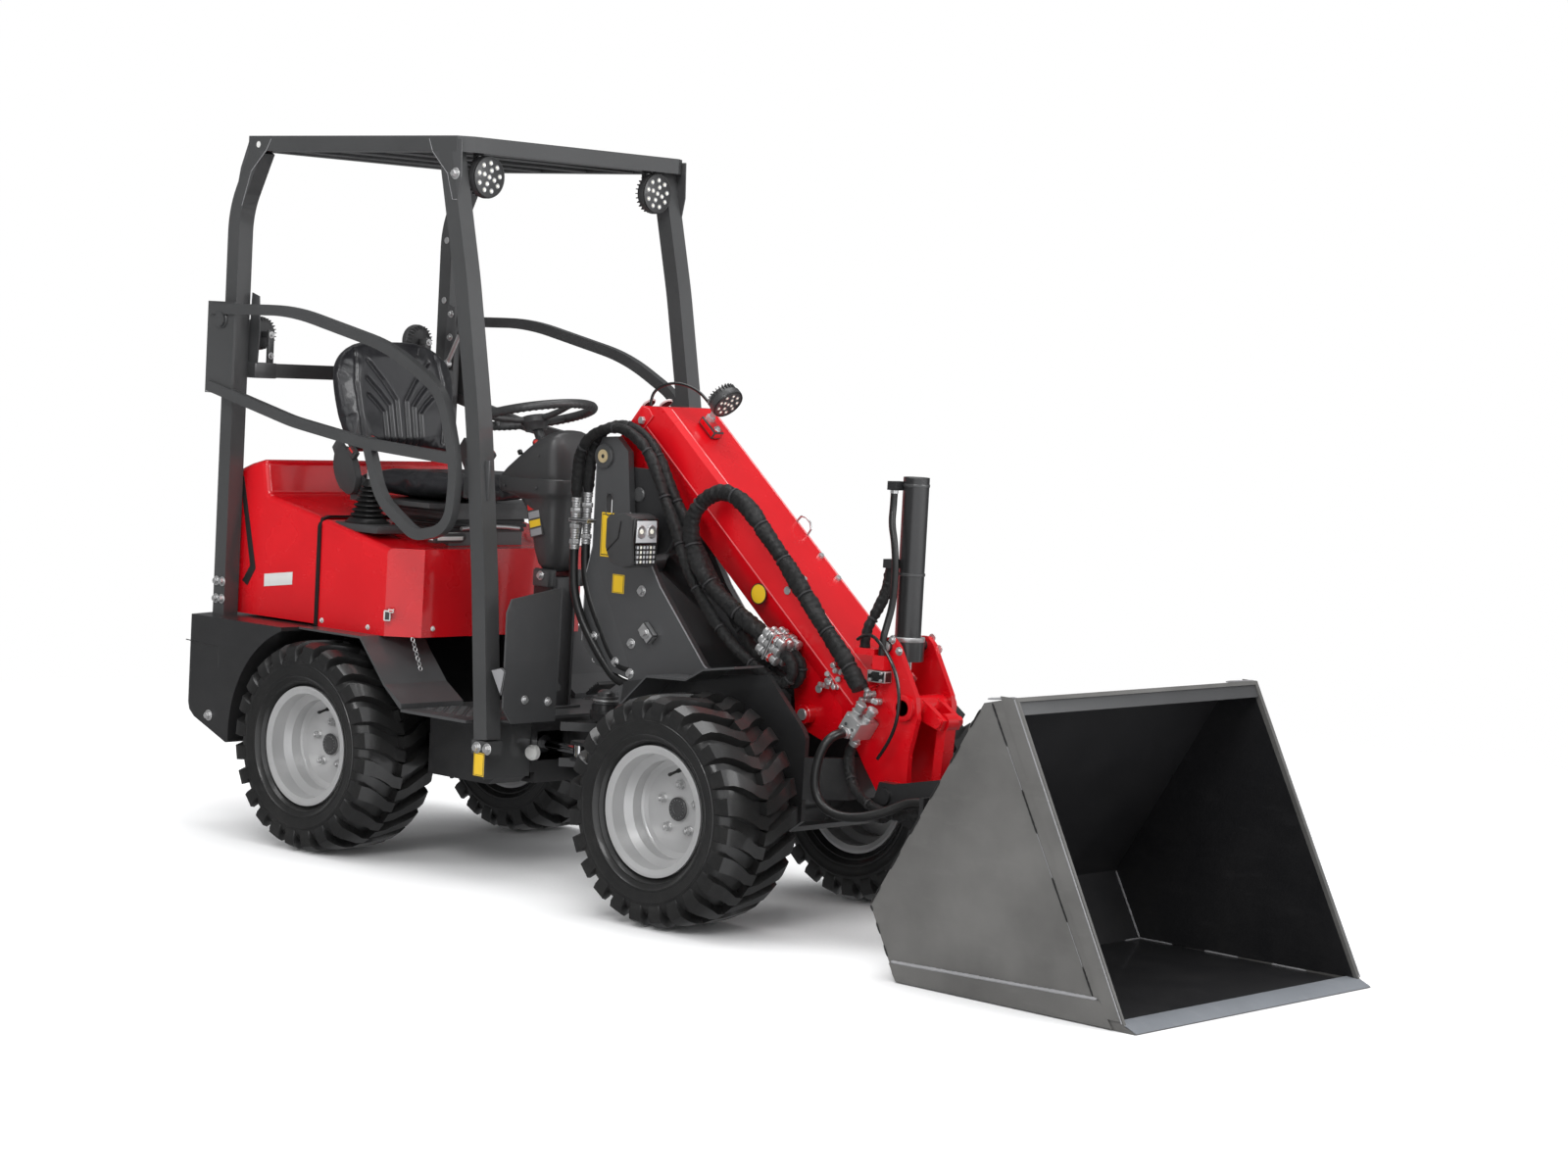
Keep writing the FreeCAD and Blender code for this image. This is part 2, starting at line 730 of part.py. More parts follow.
def engine_hood():
    """Rear hood, hinged at its tail: a shell open below and to the front."""
    body = new_body("engine_hood")
    half = S.hood_half
    wall = S.hood_wall
    seam = CONSOLE_SEAM - S.seam_gap
    tail = REAR - 475
    side = [
        (tail, 616), (tail, 1030), (REAR - 436, 1045), (REAR - 367, 1063), (REAR - 347, 961),
        (seam, 915), (seam, 616),
    ]
    slab(body, "XZ", side, -1 * half, half)
    inside = [
        (tail + wall, 600), (tail + wall, 1020), (REAR - 434, 1030), (REAR - 378, 1047),
        (REAR - 358, 949), (seam + 1, 901), (seam + 1, 600),
    ]
    inner = half - wall
    round_crest(body, 914, S.hood_round)
    hollow(body, "XZ", inside, -1 * inner, inner)
    ear = box_points((HOOD_HINGE[0], HOOD_HINGE[1] - 6), (tail, HOOD_HINGE[1] + 9))
    slabs(body, ear, 155, 190)
    discs(body, HOOD_HINGE, 9, 155, 190)
    for sign in (-1, 1):
        span = sorted((sign * 149, sign * 191))
        bore(body, "XZ", HOOD_HINGE, 4.3, *span)
    return body


def roll_cage():
    """Roll-over cage: two bent rear posts, two bent front posts, cross bars and the roof."""
    tube = S.cage_tube
    roof_low = S.roof_height - S.roof_thickness
    rear = new_body("cage_rear_posts")
    front = new_body("cage_front_posts")
    for side in (-1, 1):
        level = side * S.cage_half
        add_bent_bar(rear, [(REAR - 480, 610), (REAR - 480, 1760, 260), (REAR - 395, 1930)],
                     tube, tube, level)
        path = [
            (REAR + 637, 383), (REAR + 600, 800, 2600), (REAR + 548, 1230, 2600),
            (REAR + 478, 1590, 1400), (REAR + 395, 1930),
        ]
        add_bent_bar(front, path, tube, tube, level)
    inner = S.cage_half - tube / 2
    slab(rear, "XZ", box_points((REAR - 462, 1290), (REAR - 422, 1330)), -1 * inner, inner)
    roof = new_body("cage_roof")
    half = S.cage_half + tube / 2
    for body in (rear, front):
        trim = box_points((REAR - 600, float(roof_low)), (REAR + 600, float(roof_low) + 200))
        hollow(body, "XZ", trim, -1 * half - 1, half + 1)
    plan = [
        (REAR - 428, -1 * half), (REAR + 440, -1 * half), (REAR + 466, 40 - half),
        (REAR + 466, half - 40), (REAR + 440, half), (REAR - 428, half),
    ]
    slab(roof, "XY", plan, roof_low, S.roof_height)
    hollow(roof, "XY", box_points((REAR - 378, 50 - half), (REAR + 400, half - 50)),
           roof_low - 1, S.roof_height - 6)
    cage_feet(front)


def cage_feet(body):
    """Foot plates of the front posts, bolted to the tanks."""
    outline = [
        (REAR + 600.3, 270), (REAR + 600.3, S.floor_height - 8.3), (REAR + 606, S.floor_height - 8.3),
        (REAR + 606, 270),
    ]
    slabs(body, outline, S.rear_frame_half, S.cage_half - 26)
    block = box_points((REAR + 606, 345), (REAR + 668, 380.5))
    slabs(body, block, S.cage_half - 26, S.cage_half + 26)
    return body


def work_light(body, where, front):
    """A round work lamp: ribbed back, rim and lens, aimed along X."""
    reach = 1 if front else -1
    radius = 57 if front else 48
    spot = (where[1], where[2])
    low, high = sorted((float(where[0]), float(where[0]) + reach * 34))
    disc(body, "YZ", spot, radius, low, high)
    low, high = sorted((float(where[0]), float(where[0]) - reach * 22))
    disc(body, "YZ", spot, radius - 14, low, high)


def work_lights():
    """Round lamps: two under the roof's front edge, two on the rear cross bar."""
    body = new_body("work_lights")
    for side in (-1, 1):
        work_light(body, (REAR + 420, side * 321, 1866), True)
        work_light(body, (REAR - 484, side * 300, 1415), False)
        span = sorted((side * 310, side * 332))
        slab(body, "XZ", box_points((REAR + 401, 1866), (REAR + 413, 1925.7)), *span)
        span = sorted((side * 290, side * 310))
        slab(body, "XZ", box_points((REAR - 462, 1330.3), (REAR - 448, 1430)), *span)


def seat():
    """Suspension seat: scissor box, pan with side plates, cushion and backrest."""
    frame = new_body("seat_base")
    foot = [(REAR - 60, console_top(REAR - 60)), (REAR + 160, console_top(REAR + 160)),
            (REAR + 160, 930), (REAR - 60, 930)]
    slab(frame, "XZ", foot, -140, 140)
    slab(frame, "XY", box_points((REAR - 80, -160), (REAR + 185, 160)), 930, 962)
    half = S.seat_half + 8
    slab(frame, "XY", box_points((REAR - 145, -1 * half), (REAR + 190, half)), 962, 975)
    side = [
        (REAR - 145, 975), (REAR - 168, 1000), (REAR - 232, 1105), (REAR - 205, 1140),
        (REAR - 120, 1040), (REAR - 60, 1010), (REAR - 60, 975),
    ]
    slabs(frame, side, S.seat_half + 0.3, half)
    pads = new_body("seat_pads")
    outline = [
        (REAR - 140, 975.3), (REAR - 165, 1000), (REAR - 165, 1050), (REAR - 100, 1058),
        (REAR + 150, 1066), (REAR + 225, 1050), (REAR + 240, 1010), (REAR + 200, 975.3),
    ]
    slab(pads, "XZ", outline, -1 * S.seat_half, S.seat_half)
    outline = [
        (REAR - 292, 1090), (REAR - 300, 1240), (REAR - 330, 1400), (REAR - 300, 1428),
        (REAR - 250, 1420), (REAR - 215, 1260), (REAR - 185, 1130), (REAR - 190, 1080),
        (REAR - 270, 1076),
    ]
    slab(pads, "XZ", outline, -1 * S.seat_half, S.seat_half)


def driver_controls():
    """Lever box with joystick on the right, steering column and steering wheel."""
    lever = new_body("joystick")
    pod = [(REAR - 80, console_top(REAR - 80)), (REAR - 80, 925), (REAR + 110, 905),
           (REAR + 110, console_top(REAR + 110))]
    slab(lever, "XZ", pod, -360, -250)
    slab(lever, "XY", box_points((REAR - 40, -345), (REAR + 50, -265)), 908, 985)
    disc(lever, "XY", (REAR + 5, -305), 9, 985, 1080)
    disc(lever, "XY", (REAR + 5, -305), 21, 1080, 1150)
    column = new_body("steering_column")
    side = [
        (REAR + 520, S.floor_height + 0.3), (REAR + 420, S.floor_height + 0.3), (REAR + 400, 780),
        (REAR + 340, 900), (REAR + 318, 1000), (REAR + 330, 1060), (REAR + 480, 1060),
        (REAR + 500, 980), (REAR + 500, 830),
    ]
    slab(column, "XZ", side, -75, 75)
    for level in (-75, 75):
        soften_side(column, level, 24)
    dash = [
        (REAR + 318, 1003), (REAR + 262, 1050), (REAR + 268, 1085), (REAR + 307.1, 1178.6),
        (REAR + 384.7, 1198), (REAR + 470, 1175), (REAR + 503, 1090), (REAR + 498, 1020),
        (REAR + 420, 990),
    ]
    slab(column, "XZ", dash, -96, 96)
    for level in (-96, 96):
        soften_side(column, level, 16)
    return column


def steering_wheel():
    """Steering wheel, tilted to the driver, with three spokes and a spinner knob."""
    body = new_body("steering_wheel")
    radius = S.steering_wheel_radius
    sketch = new_sketch(body, "XZ", 0)
    draw_circle(sketch, (radius - 14, 0), 14)
    feature = body.newObject("PartDesign::Revolution", "Rim")
    feature.Profile = sketch
    feature.ReferenceAxis = (sketch, ["V_Axis"])
    feature.Angle = 360
    disc(body, "XY", (0, 0), 40, -38, -2)
    disc(body, "XY", (0, 0), 22, -44.7, -38)
    reach = radius - 20
    slab(body, "XY", box_points((-1 * reach, -12), (reach, 12)), -12, -4)
    disc(body, "XY", (-150, 0), 22, 14, 50)
    disc(body, "XY", (-150, 0), 9, -4, 14)
    place(body, WHEEL_CENTRE, (0, 1, 0), -1 * WHEEL_RAKE)
    return body


def foot_guards(body):
    """Guards in front of the driver's feet, each with a foot flange on the floor plate."""
    outline = [(219, S.floor_height), (S.cage_half - 26, S.floor_height), (411, 472), (411, 725),
               (395, 760), (219, 787)]
    for side in (-1, 1):
        mirrored = [(side * point[0], point[1]) for point in outline]
        slab(body, "YZ", mirrored, STEER + 24, STEER + 30)
        corners = [(STEER - 60, side * 219), (STEER + 24, side * 219),
                   (STEER + 24, side * (S.cage_half - 30)), (STEER - 60, side * (S.cage_half - 30))]
        slab(body, "XY", corners, S.floor_height, S.floor_height + S.sheet)
    return body


def side_guard(label, side):
    """Swinging side guard: plate with pivot boss, arched rail, lower rail and end loop."""
    body = new_body(label)
    tube = S.guard_tube
    level = side * (S.cage_half + S.guard_offset)
    rail = [
        (REAR - 530, 1478), (REAR - 175, 1484, 900), (REAR + 242, 1399, 700),
        (REAR + 455, 1290, 160), (REAR + 520, 1090, 300), (REAR + 505, 930, 80),
        (REAR + 374, 902, 90), (REAR + 225, 990, 160), (REAR + 168, 1128),
    ]
    add_bent_bar(body, rail, tube, 24, level)
    low = [(REAR - 530, 1260), (REAR - 154, 1178, 900), (REAR + 160, 1136, 900), (REAR + 500, 1117)]
    add_bent_bar(body, low, tube, 24, level)
    plate = [(REAR - 549, 1240), (REAR - 549, 1500), (REAR - 430, 1500), (REAR - 430, 1240)]
    slab(body, "XZ", plate, level - 4, level + 4)
    inner, outer = sorted((side * (float(S.cage_half) + 25.3), side * (float(S.cage_half) + 62)))
    disc(body, "XZ", (REAR - 483, 1449), 20, inner, outer)
    return body


# ---------------------------------------------------------------- front frame


def front_chassis():
    """Front frame box with the two clevis lugs of the steering pin and the pin itself."""
    body = new_body("front_chassis")
    outer = S.front_frame_half
    inner = outer - S.plate
    side = [
        (FRONT - 470, 250), (FRONT - 470, 415), (FRONT - 430, 425), (FRONT - 410, 560),
        (FRONT - 220, 600), (FRONT + 100, 632),
        (FRONT + 226, 508), (FRONT + 236, 490), (FRONT + 236, 278), (FRONT + 180, 238),
        (FRONT - 160, 238),
    ]
    slabs(body, side, inner, outer)
    slab(body, "XZ", box_points((FRONT - 470, 250), (FRONT - 455, 415)), -1 * inner, inner)
    slab(body, "XZ", box_points((FRONT - 455, 250), (FRONT - 160, 262)), -1 * inner, inner)
    nose = [
        (FRONT + 221, -1 * outer), (FRONT + 236, -1 * outer), (FRONT + 305, -105), (FRONT + 305, 105),
        (FRONT + 236, outer), (FRONT + 221, outer), (FRONT + 221, inner), (FRONT + 290, 97),
        (FRONT + 290, -97), (FRONT + 221, -1 * inner),
    ]
    slab(body, "XY", nose, 335, 440)
    slab(body, "XZ", box_points((FRONT + 120, 240), (FRONT + 170, 252)), -1 * inner, inner)
    for low, high in ((262, 286), (420, 444)):
        lug = [(FRONT - 470, -120), (STEER - 8, -44), (STEER - 42, -18), (STEER - 42, 18),
               (STEER - 8, 44), (FRONT - 470, 120)]
        slab(body, "XY", lug, low, high)
    eye = (STEER + STEER_EYE[0], STEER_EYE[1])
    for low in (STEER_CYLINDER_Z - 27, STEER_CYLINDER_Z + 17):
        ear = [(FRONT - 470, -190), (FRONT - 470, -120), (eye[0] - 12, eye[1] + 24),
               (eye[0] - 24, eye[1]), (eye[0] - 12, eye[1] - 24)]
        slab(body, "XY", ear, low, low + 10)
    disc(body, "XY", (STEER, 0), S.steer_pin_radius, 250, 470)
    disc(body, "XY", (STEER, 0), 38, 444, 462)
    disc(body, "XY", (STEER, 0), 38, 246, 262)
    bore(body, "XZ", (FRONT, AXLE_Z), S.axle_tube_radius + S.pin_gap, -1 * outer - 1, outer + 1)
    return body


def boom_tower():
    """Two tower plates with the boom pin, the lift cylinder's foot and their cross plate."""
    body = new_body("boom_tower")
    inner, outer = S.tower_inner_half, TOWER_OUTER
    side = [
        (BOOM_X - 32, 893), (BOOM_X - 32, 1158), (BOOM_X - 12, 1194), (BOOM_X + 40, 1198),
        (BOOM_X + 84, 1160), (BOOM_X + 102, 1000), (FRONT - 355, 815), (FRONT - 182, 623),
        (FRONT - 150, 608), (FRONT - 150, 500), (FRONT - 454.7, 500), (FRONT - 454.7, 600),
    ]
    slabs(body, side, inner, outer)
    for side_sign in (-1, 1):
        span = sorted((side_sign * (float(inner) - 0.5), side_sign * (float(outer) + 0.5)))
        bore(body, "XZ", (BOOM_X, BOOM_Z), S.boom_pin_radius + 0.1, *span)
        slot = [(BOOM_X + 12, 985), (BOOM_X + 36, 985), (BOOM_X + 36, 1045), (BOOM_X + 12, 1045)]
        hollow(body, "XZ", slot, *span)
    slab(body, "XZ", box_points((FRONT - 454.7, 500.3), (FRONT - 442, 640)), -1 * inner, inner)
    web = [(outer, 500), (S.front_frame_half - S.plate - 0.3, 500),
           (S.front_frame_half - S.plate - 0.3, 545), (outer, 560)]
    for sign in (-1, 1):
        slab(body, "YZ", [(sign * point[0], point[1]) for point in web], FRONT - 440, FRONT - 160)
    foot = (FRONT + LIFT_BASE[0], LIFT_BASE[1])
    discs(body, foot, 40, 40, inner)
    disc(body, "XZ", foot, S.lift_pin_radius, -1 * outer - 6, outer + 6)
    boom_pin(body)


def boom_pin(body):
    """The boom's hinge pin with its two heads."""
    end = TOWER_OUTER + 8
    disc(body, "XZ", (BOOM_X, BOOM_Z), S.boom_pin_radius, -1 * end, end)
    discs(body, (BOOM_X, BOOM_Z), S.boom_pin_radius + 10, TOWER_OUTER + 0.3, end)
    return body


def front_fenders():
    """Bent sheets over the inner halves of the front wheels."""
    body = new_body("front_fenders")
    line = [(-318, 507), (-221, 596), (-82, 602), (-23, 634), (84, 650)]
    thick = 6
    outline = [(FRONT + x, z) for x, z in line] + [(FRONT + x, z + thick) for x, z in reversed(line)]
    slabs(body, outline, S.front_frame_half + 0.3, 310)
    return body


def headlights():
    """Two headlamp units with their arms on the tower."""
    body = new_body("headlights")
    shell = [
        (FRONT - 452, 905), (FRONT - 452, 1000), (FRONT - 380, 1008), (FRONT - 352, 1000),
        (FRONT - 345, 870), (FRONT - 380, 862), (FRONT - 430, 870),
    ]
    slabs(body, shell, TOWER_OUTER + 22, TOWER_OUTER + 120)
    arm = box_points((FRONT - 440, 915), (FRONT - 400, 955))
    slabs(body, arm, TOWER_OUTER, TOWER_OUTER + 22)
    return body


# ---------------------------------------------------------------- boom


def boom_frame(body):
    """Lays a body that was drawn along the boom onto the boom's rest place."""
    place(body, (BOOM_X, 0, BOOM_Z), (0, 1, 0), S.boom_slope)


def boom_section(inset):
    """Boom section moved inwards all round: flat top, upright sides, lower sides drawn in."""
    lean = math.atan2(float(S.boom_half - S.boom_bottom_half), float(S.boom_fold - S.boom_bottom))
    half, top = S.boom_half - inset, S.boom_top - inset
    fold, bottom = S.boom_fold + inset * math.tan(lean / 2), S.boom_bottom + inset
    low = S.boom_bottom_half - inset * math.tan(math.pi / 4 - lean / 2)
    corner = BOOM_CHAMFER - inset * (2 - math.sqrt(2))
    return [
        (-1 * half, fold), (-1 * half, top - corner), (corner - half, top), (half - corner, top),
        (half, top - corner), (half, fold), (low, bottom), (-1 * low, bottom),
    ]


def boom_outer():
    """Outer boom: folded tube, ears round the hinge pin and lugs for the lift cylinder."""
    body = new_body("boom_outer")
    slab(body, "YZ", boom_section(0), -27, S.boom_length)
    wedge = [(-40, 160), (-27, 160), (44, 221), (44, 240), (-40, 240)]
    hollow(body, "XZ", wedge, -200, 200)
    ear = [(-27, 50), (-46, 5), (-30, -40), (30, -44), (60, -20), (130, 50), (110, 133), (-27, 133)]
    slabs(body, ear, S.boom_half - 22, S.boom_half)
    discs(body, (0, 0), 46, S.boom_half - 42, S.tower_inner_half - 3)
    eye = lift_eye_on_boom()
    lug = [
        (eye[0] - 120, 43), (eye[0] - 40, eye[1] - 30), (eye[0] + 20, eye[1] - 40),
        (eye[0] + 80, eye[1] - 16), (eye[0] + 92, 60), (eye[0] + 60, 100), (eye[0] - 120, 100),
    ]
    slabs(body, lug, 62, 80)
    discs(body, eye, 24, 80, S.boom_half + 6)
    hollow(body, "YZ", boom_section(S.boom_wall), 90, S.boom_length + 1)
    reach = S.tower_inner_half
    bore(body, "XZ", (0, 0), S.boom_pin_radius + 0.1, -1 * reach, reach)
    return body


def lift_eye_on_boom():
    """The lift pin's place along the boom and square to it."""
    slope = math.radians(float(S.boom_slope))
    dx = float(FRONT) + LIFT_EYE[0] - float(BOOM_X)
    dz = LIFT_EYE[1] - float(BOOM_Z)
    return (dx * math.cos(slope) - dz * math.sin(slope),
            dx * math.sin(slope) + dz * math.cos(slope))


def boom_inner():
    """Inner boom: the sliding tube inside the outer boom."""
    body = new_body("boom_inner")
    inset = S.boom_wall + S.slide_gap
    slab(body, "YZ", boom_section(inset), 190, S.boom_length + 5)
    hollow(body, "YZ", boom_section(inset + S.inner_wall), 150, S.boom_length + 6)
    boom_frame(body)
    return body


def boom_spot(along, above):
    """A place on the boom's side as (x, z) of the row frame, at rest."""
    slope = math.radians(float(S.boom_slope))
    return (BOOM_X + along * math.cos(slope) + above * math.sin(slope),
            BOOM_Z + above * math.cos(slope) - along * math.sin(slope))


def boom_head():
    """Boom head: two plates that carry trunnion, tilt lever and hitch."""
    body = new_body("boom_head")
    inner, outer = HEAD_INNER, HEAD_OUTER
    end = S.boom_length + 5
    plate = [
        boom_spot(end, S.boom_bottom + 24), boom_spot(end, S.boom_top + 14),
        boom_spot(S.boom_length - 50, S.boom_top + 14), boom_spot(S.boom_length - 46, 296),
        (TRUNNION_X - 10, TRUNNION_Z + 22),
        (TRUNNION_X + 14, TRUNNION_Z + 22), (TRUNNION_X + 34, TRUNNION_Z + 4),
        (FRONT + 484, 612), (FRONT + 492, 560), (FRONT + 470, 470), (FRONT + 468, 350),
        (FRONT + 450, 330), (FRONT + 400, 330), (FRONT + 330, 420),
    ]
    slabs(body, plate, inner, outer)
    discs(body, (LEVER_X, LEVER_Z), 34, outer, outer + 8)
    discs(body, (HITCH_X, HITCH_Z), 34, outer, outer + 6)
    for sign in (-1, 1):
        span = sorted((sign * (float(inner) - 1), sign * (float(outer) + 9)))
        bore(body, "XZ", (LEVER_X, LEVER_Z), S.head_pin_radius + S.pin_gap, *span)
        bore(body, "XZ", (HITCH_X, HITCH_Z), S.head_pin_radius + S.pin_gap, *span)
        bore(body, "XZ", (TRUNNION_X, TRUNNION_Z), 15 + S.pin_gap, *span)
    rib = [
        boom_spot(end, S.boom_bottom + 14), boom_spot(end + 12, S.boom_bottom + 14),
        boom_spot(end + 12, S.boom_top - 14), boom_spot(end, S.boom_top - 14),
    ]
    slab(body, "XZ", rib, -1 * inner, inner)
    slab(body, "XZ", box_points((567, 672), (605, 708)), -1 * outer - 30, -1 * outer)
    slab(body, "XZ", box_points((508, 706), (573, 722)), -108, -1 * inner)


def lift_cylinder():
    """Lift cylinder under the boom: barrel on the tower, rod to the boom's lugs."""
    foot = (float(FRONT) + LIFT_BASE[0], LIFT_BASE[1])
    eye = (float(FRONT) + LIFT_EYE[0], LIFT_EYE[1])
    run = math.hypot(eye[0] - foot[0], eye[1] - foot[1])
    angle = math.degrees(math.atan2(foot[1] - eye[1], eye[0] - foot[0]))
    where = (FRONT + LIFT_BASE[0], 0, LIFT_BASE[1])
    barrel = new_body("lift_barrel")
    disc(barrel, "YZ", (0, 0), S.lift_barrel_radius, 30, run - 90)
    disc(barrel, "XZ", (0, 0), 36, -39.7, 39.7)
    bore(barrel, "YZ", (0, 0), S.lift_rod_radius + S.pin_gap, 60, run - 89)
    bore(barrel, "XZ", (0, 0), S.lift_pin_radius + S.pin_gap, -41, 41)
    place(barrel, where, (0, 1, 0), angle)
    rod = new_body("lift_rod")
    disc(rod, "YZ", (0, 0), S.lift_rod_radius, 80, run - 20)
    disc(rod, "XZ", (run, 0), 30, -30, 30)
    place(rod, where, (0, 1, 0), angle)


def tilt_cylinder():
    """Upright tilt cylinder on a trunnion in the boom head."""
    eye_angle = math.radians(LEVER_ARM_ANGLE)
    eye = (float(LEVER_X) + LEVER_ARM * math.cos(eye_angle),
           float(LEVER_Z) + LEVER_ARM * math.sin(eye_angle))
    foot = (float(TRUNNION_X), TRUNNION_Z)
    run = math.hypot(eye[0] - foot[0], eye[1] - foot[1])
    angle = math.degrees(math.atan2(foot[1] - eye[1], eye[0] - foot[0]))
    barrel = new_body("tilt_barrel")
    disc(barrel, "YZ", (0, 0), S.tilt_barrel_radius, -422, -20)
    disc(barrel, "YZ", (0, 0), 43, -20, 38)
    reach = HEAD_OUTER + 4
    disc(barrel, "XZ", (0, 0), 15, -1 * reach, reach)
    for top in (-410, -215):
        slab(barrel, "YZ", box_points((-60, -44), (-14, -18)), top, top + 22)
    bore(barrel, "YZ", (0, 0), S.tilt_rod_radius + S.pin_gap, -300, 39)
    place(barrel, (TRUNNION_X, 0, TRUNNION_Z), (0, 1, 0), angle)
    rod = new_body("tilt_rod")
    disc(rod, "YZ", (0, 0), S.tilt_rod_radius, -200, run - 12)
    disc(rod, "XZ", (run, 0), 19, -15, 15)
    place(rod, (TRUNNION_X, 0, TRUNNION_Z), (0, 1, 0), angle)


def tilt_linkage():
    """Tilt lever on the boom head and the link from it to the hitch."""
    lever = new_body("tilt_lever")
    hub = (LEVER_X, LEVER_Z)
    reach = HEAD_OUTER + 12
    disc(lever, "XZ", hub, 30, S.pin_gap - HEAD_INNER, HEAD_INNER - S.pin_gap)
    disc(lever, "XZ", hub, S.head_pin_radius, -1 * reach, reach)
    eye_angle = math.radians(LEVER_ARM_ANGLE)
    eye = (LEVER_X + LEVER_ARM * math.cos(eye_angle), LEVER_Z + LEVER_ARM * math.sin(eye_angle))
    pin = (LEVER_X + LINK_ARM[0], LEVER_Z + LINK_ARM[1])
    arm = [
        (eye[0] - 18, eye[1] + 12), (LEVER_X - 22, LEVER_Z + 24), (LEVER_X + 24, LEVER_Z + 22),
        (pin[0] + 20, pin[1] + 6), (pin[0] + 8, pin[1] - 20), (LEVER_X + 10, LEVER_Z - 28),
        (eye[0] - 6, eye[1] - 20),
    ]
    slabs(lever, arm, 22, 38)
    disc(lever, "XZ", pin, S.link_pin_radius, -46, 46)
    link = new_body("tilt_link")
    foot = (HITCH_X + LINK_ARM[0], HITCH_Z + LINK_ARM[1])
    bar = [
        (foot[0] - 14, foot[1]), (pin[0] - 14, pin[1]), (pin[0] + 14, pin[1]), (foot[0] + 14, foot[1]),
    ]
    slab(link, "XZ", bar, -20, 20)
    for end in (pin, foot):
        disc(link, "XZ", end, 22, -20, 20)
        bore(link, "XZ", end, S.link_pin_radius + S.pin_gap, -21, 21)


def hitch_frame():
    """Quick hitch: side plates on the boom head's pin, inner ears for the link, cross tubes."""
    body = new_body("hitch_frame")
    inner = HEAD_OUTER + 12
    outer = S.hitch_half
    plate = [
        (HITCH_X - 36, HITCH_Z - 16), (HITCH_X - 20, HITCH_Z + 34), (HITCH_X + 30, HITCH_Z + 34),
        (HITCH_X + 190, 430), (HITCH_X + 310, 590), (HITCH_X + 350, 585), (HITCH_X + 352, 540),
        (HITCH_X + 215, 270), (HITCH_X + 180, 250), (HITCH_X + 10, HITCH_Z - 40),
    ]
    slabs(body, plate, inner, outer)
    disc(body, "XZ", HOOK_TUBE, S.hook_tube_radius, -185, 185)
    disc(body, "XZ", LOCK_TUBE, 18, -185, 185)
    discs(body, (HITCH_X, HITCH_Z), S.head_pin_radius, 46, outer + 8)
    foot = (HITCH_X + LINK_ARM[0], HITCH_Z + LINK_ARM[1])
    ear = [
        (foot[0] - 18, foot[1] + 6), (foot[0] - 4, foot[1] + 20), (LOCK_TUBE[0] + 6, LOCK_TUBE[1] + 30),
        (LOCK_TUBE[0] + 6, LOCK_TUBE[1] - 10), (foot[0] - 4, foot[1] - 20),
    ]
    slabs(body, ear, 22, 40)
    disc(body, "XZ", foot, S.link_pin_radius, -46, 46)
    slab(body, "XZ", box_points((HITCH_X + 180, 288), (HITCH_X + 192, 385)), -1 * inner, inner)
    slab(body, "XZ", box_points((HITCH_X + 155, 318), (HITCH_X + 168, 384)), -170, -1 * inner)


def bucket():
    """Light-material bucket: floor, back, sides, top channel and the two hooks."""
    body = new_body("bucket")
    half, wall = S.bucket_half, S.bucket_plate
    heel = LIP - S.bucket_depth
    back_x = BUCKET_BACK_LOW[0]
    top = S.bucket_height
    outline = [
        (heel, 0), BUCKET_BACK_LOW, BUCKET_BACK_HIGH, (LIP - 385, top), (LIP - 32, 12), (LIP, 0),
    ]
    slab(body, "XZ", outline, -1 * half, half)
    inside = [
        (heel + 6, wall), (back_x + 10, 172), (LIP - 471, top - 32), (LIP - 380, top - 9),
        (LIP - 300, top + 40), (LIP + 60, 60), (LIP + 60, wall),
    ]
    hollow(body, "XZ", inside, wall - half, half - wall)
    rim_bar = [(LIP - 385, top - 1), (LIP - 427, top - 1), (LIP - 80, 22), (LIP - 40, 22)]
    wear_bar = [(heel + 2, 2), (heel - 20, 42), (LIP - 100, 58), (LIP - 62, 2)]
    for strip in (rim_bar, wear_bar):
        slabs(body, strip, half, half + 5)
    bucket_hooks(body)


def bucket_back(level):
    """Where the bucket's slanting back lies at a height."""
    low, high = BUCKET_BACK_LOW, BUCKET_BACK_HIGH
    return low[0] + (level - low[1]) * (high[0] - low[0]) / (high[1] - low[1])


def bucket_hooks(body):
    """Hook plates and lock brackets on the bucket's back that ride on the hitch's tubes."""
    hook = [
        (HOOK_TUBE[0] - 30, HOOK_TUBE[1] + 30), (HOOK_TUBE[0] - 6, HOOK_TUBE[1] + 46),
        (HOOK_TUBE[0] + 60, HOOK_TUBE[1] + 60), (bucket_back(640), 640), (bucket_back(530), 530),
        (HOOK_TUBE[0] + 36, HOOK_TUBE[1] - 26),
    ]
    bracket = [
        (LOCK_TUBE[0] - 20, LOCK_TUBE[1] - 32), (LOCK_TUBE[0] - 26, LOCK_TUBE[1] + 24),
        (LOCK_TUBE[0] + 40, 350), (bucket_back(380), 380), (bucket_back(226), 226),
    ]
    for sign in (-1, 1):
        low, high = sorted((sign * 150, sign * 166))
        disc(body, "XZ", HOOK_TUBE, 42, low, high)
        slab(body, "XZ", hook, low, high)
        bore(body, "XZ", HOOK_TUBE, S.hook_tube_radius + S.pin_gap, low - 1, high + 1)
        low, high = sorted((sign * 186, sign * 202))
        slab(body, "XZ", bracket, low, high)
    return body


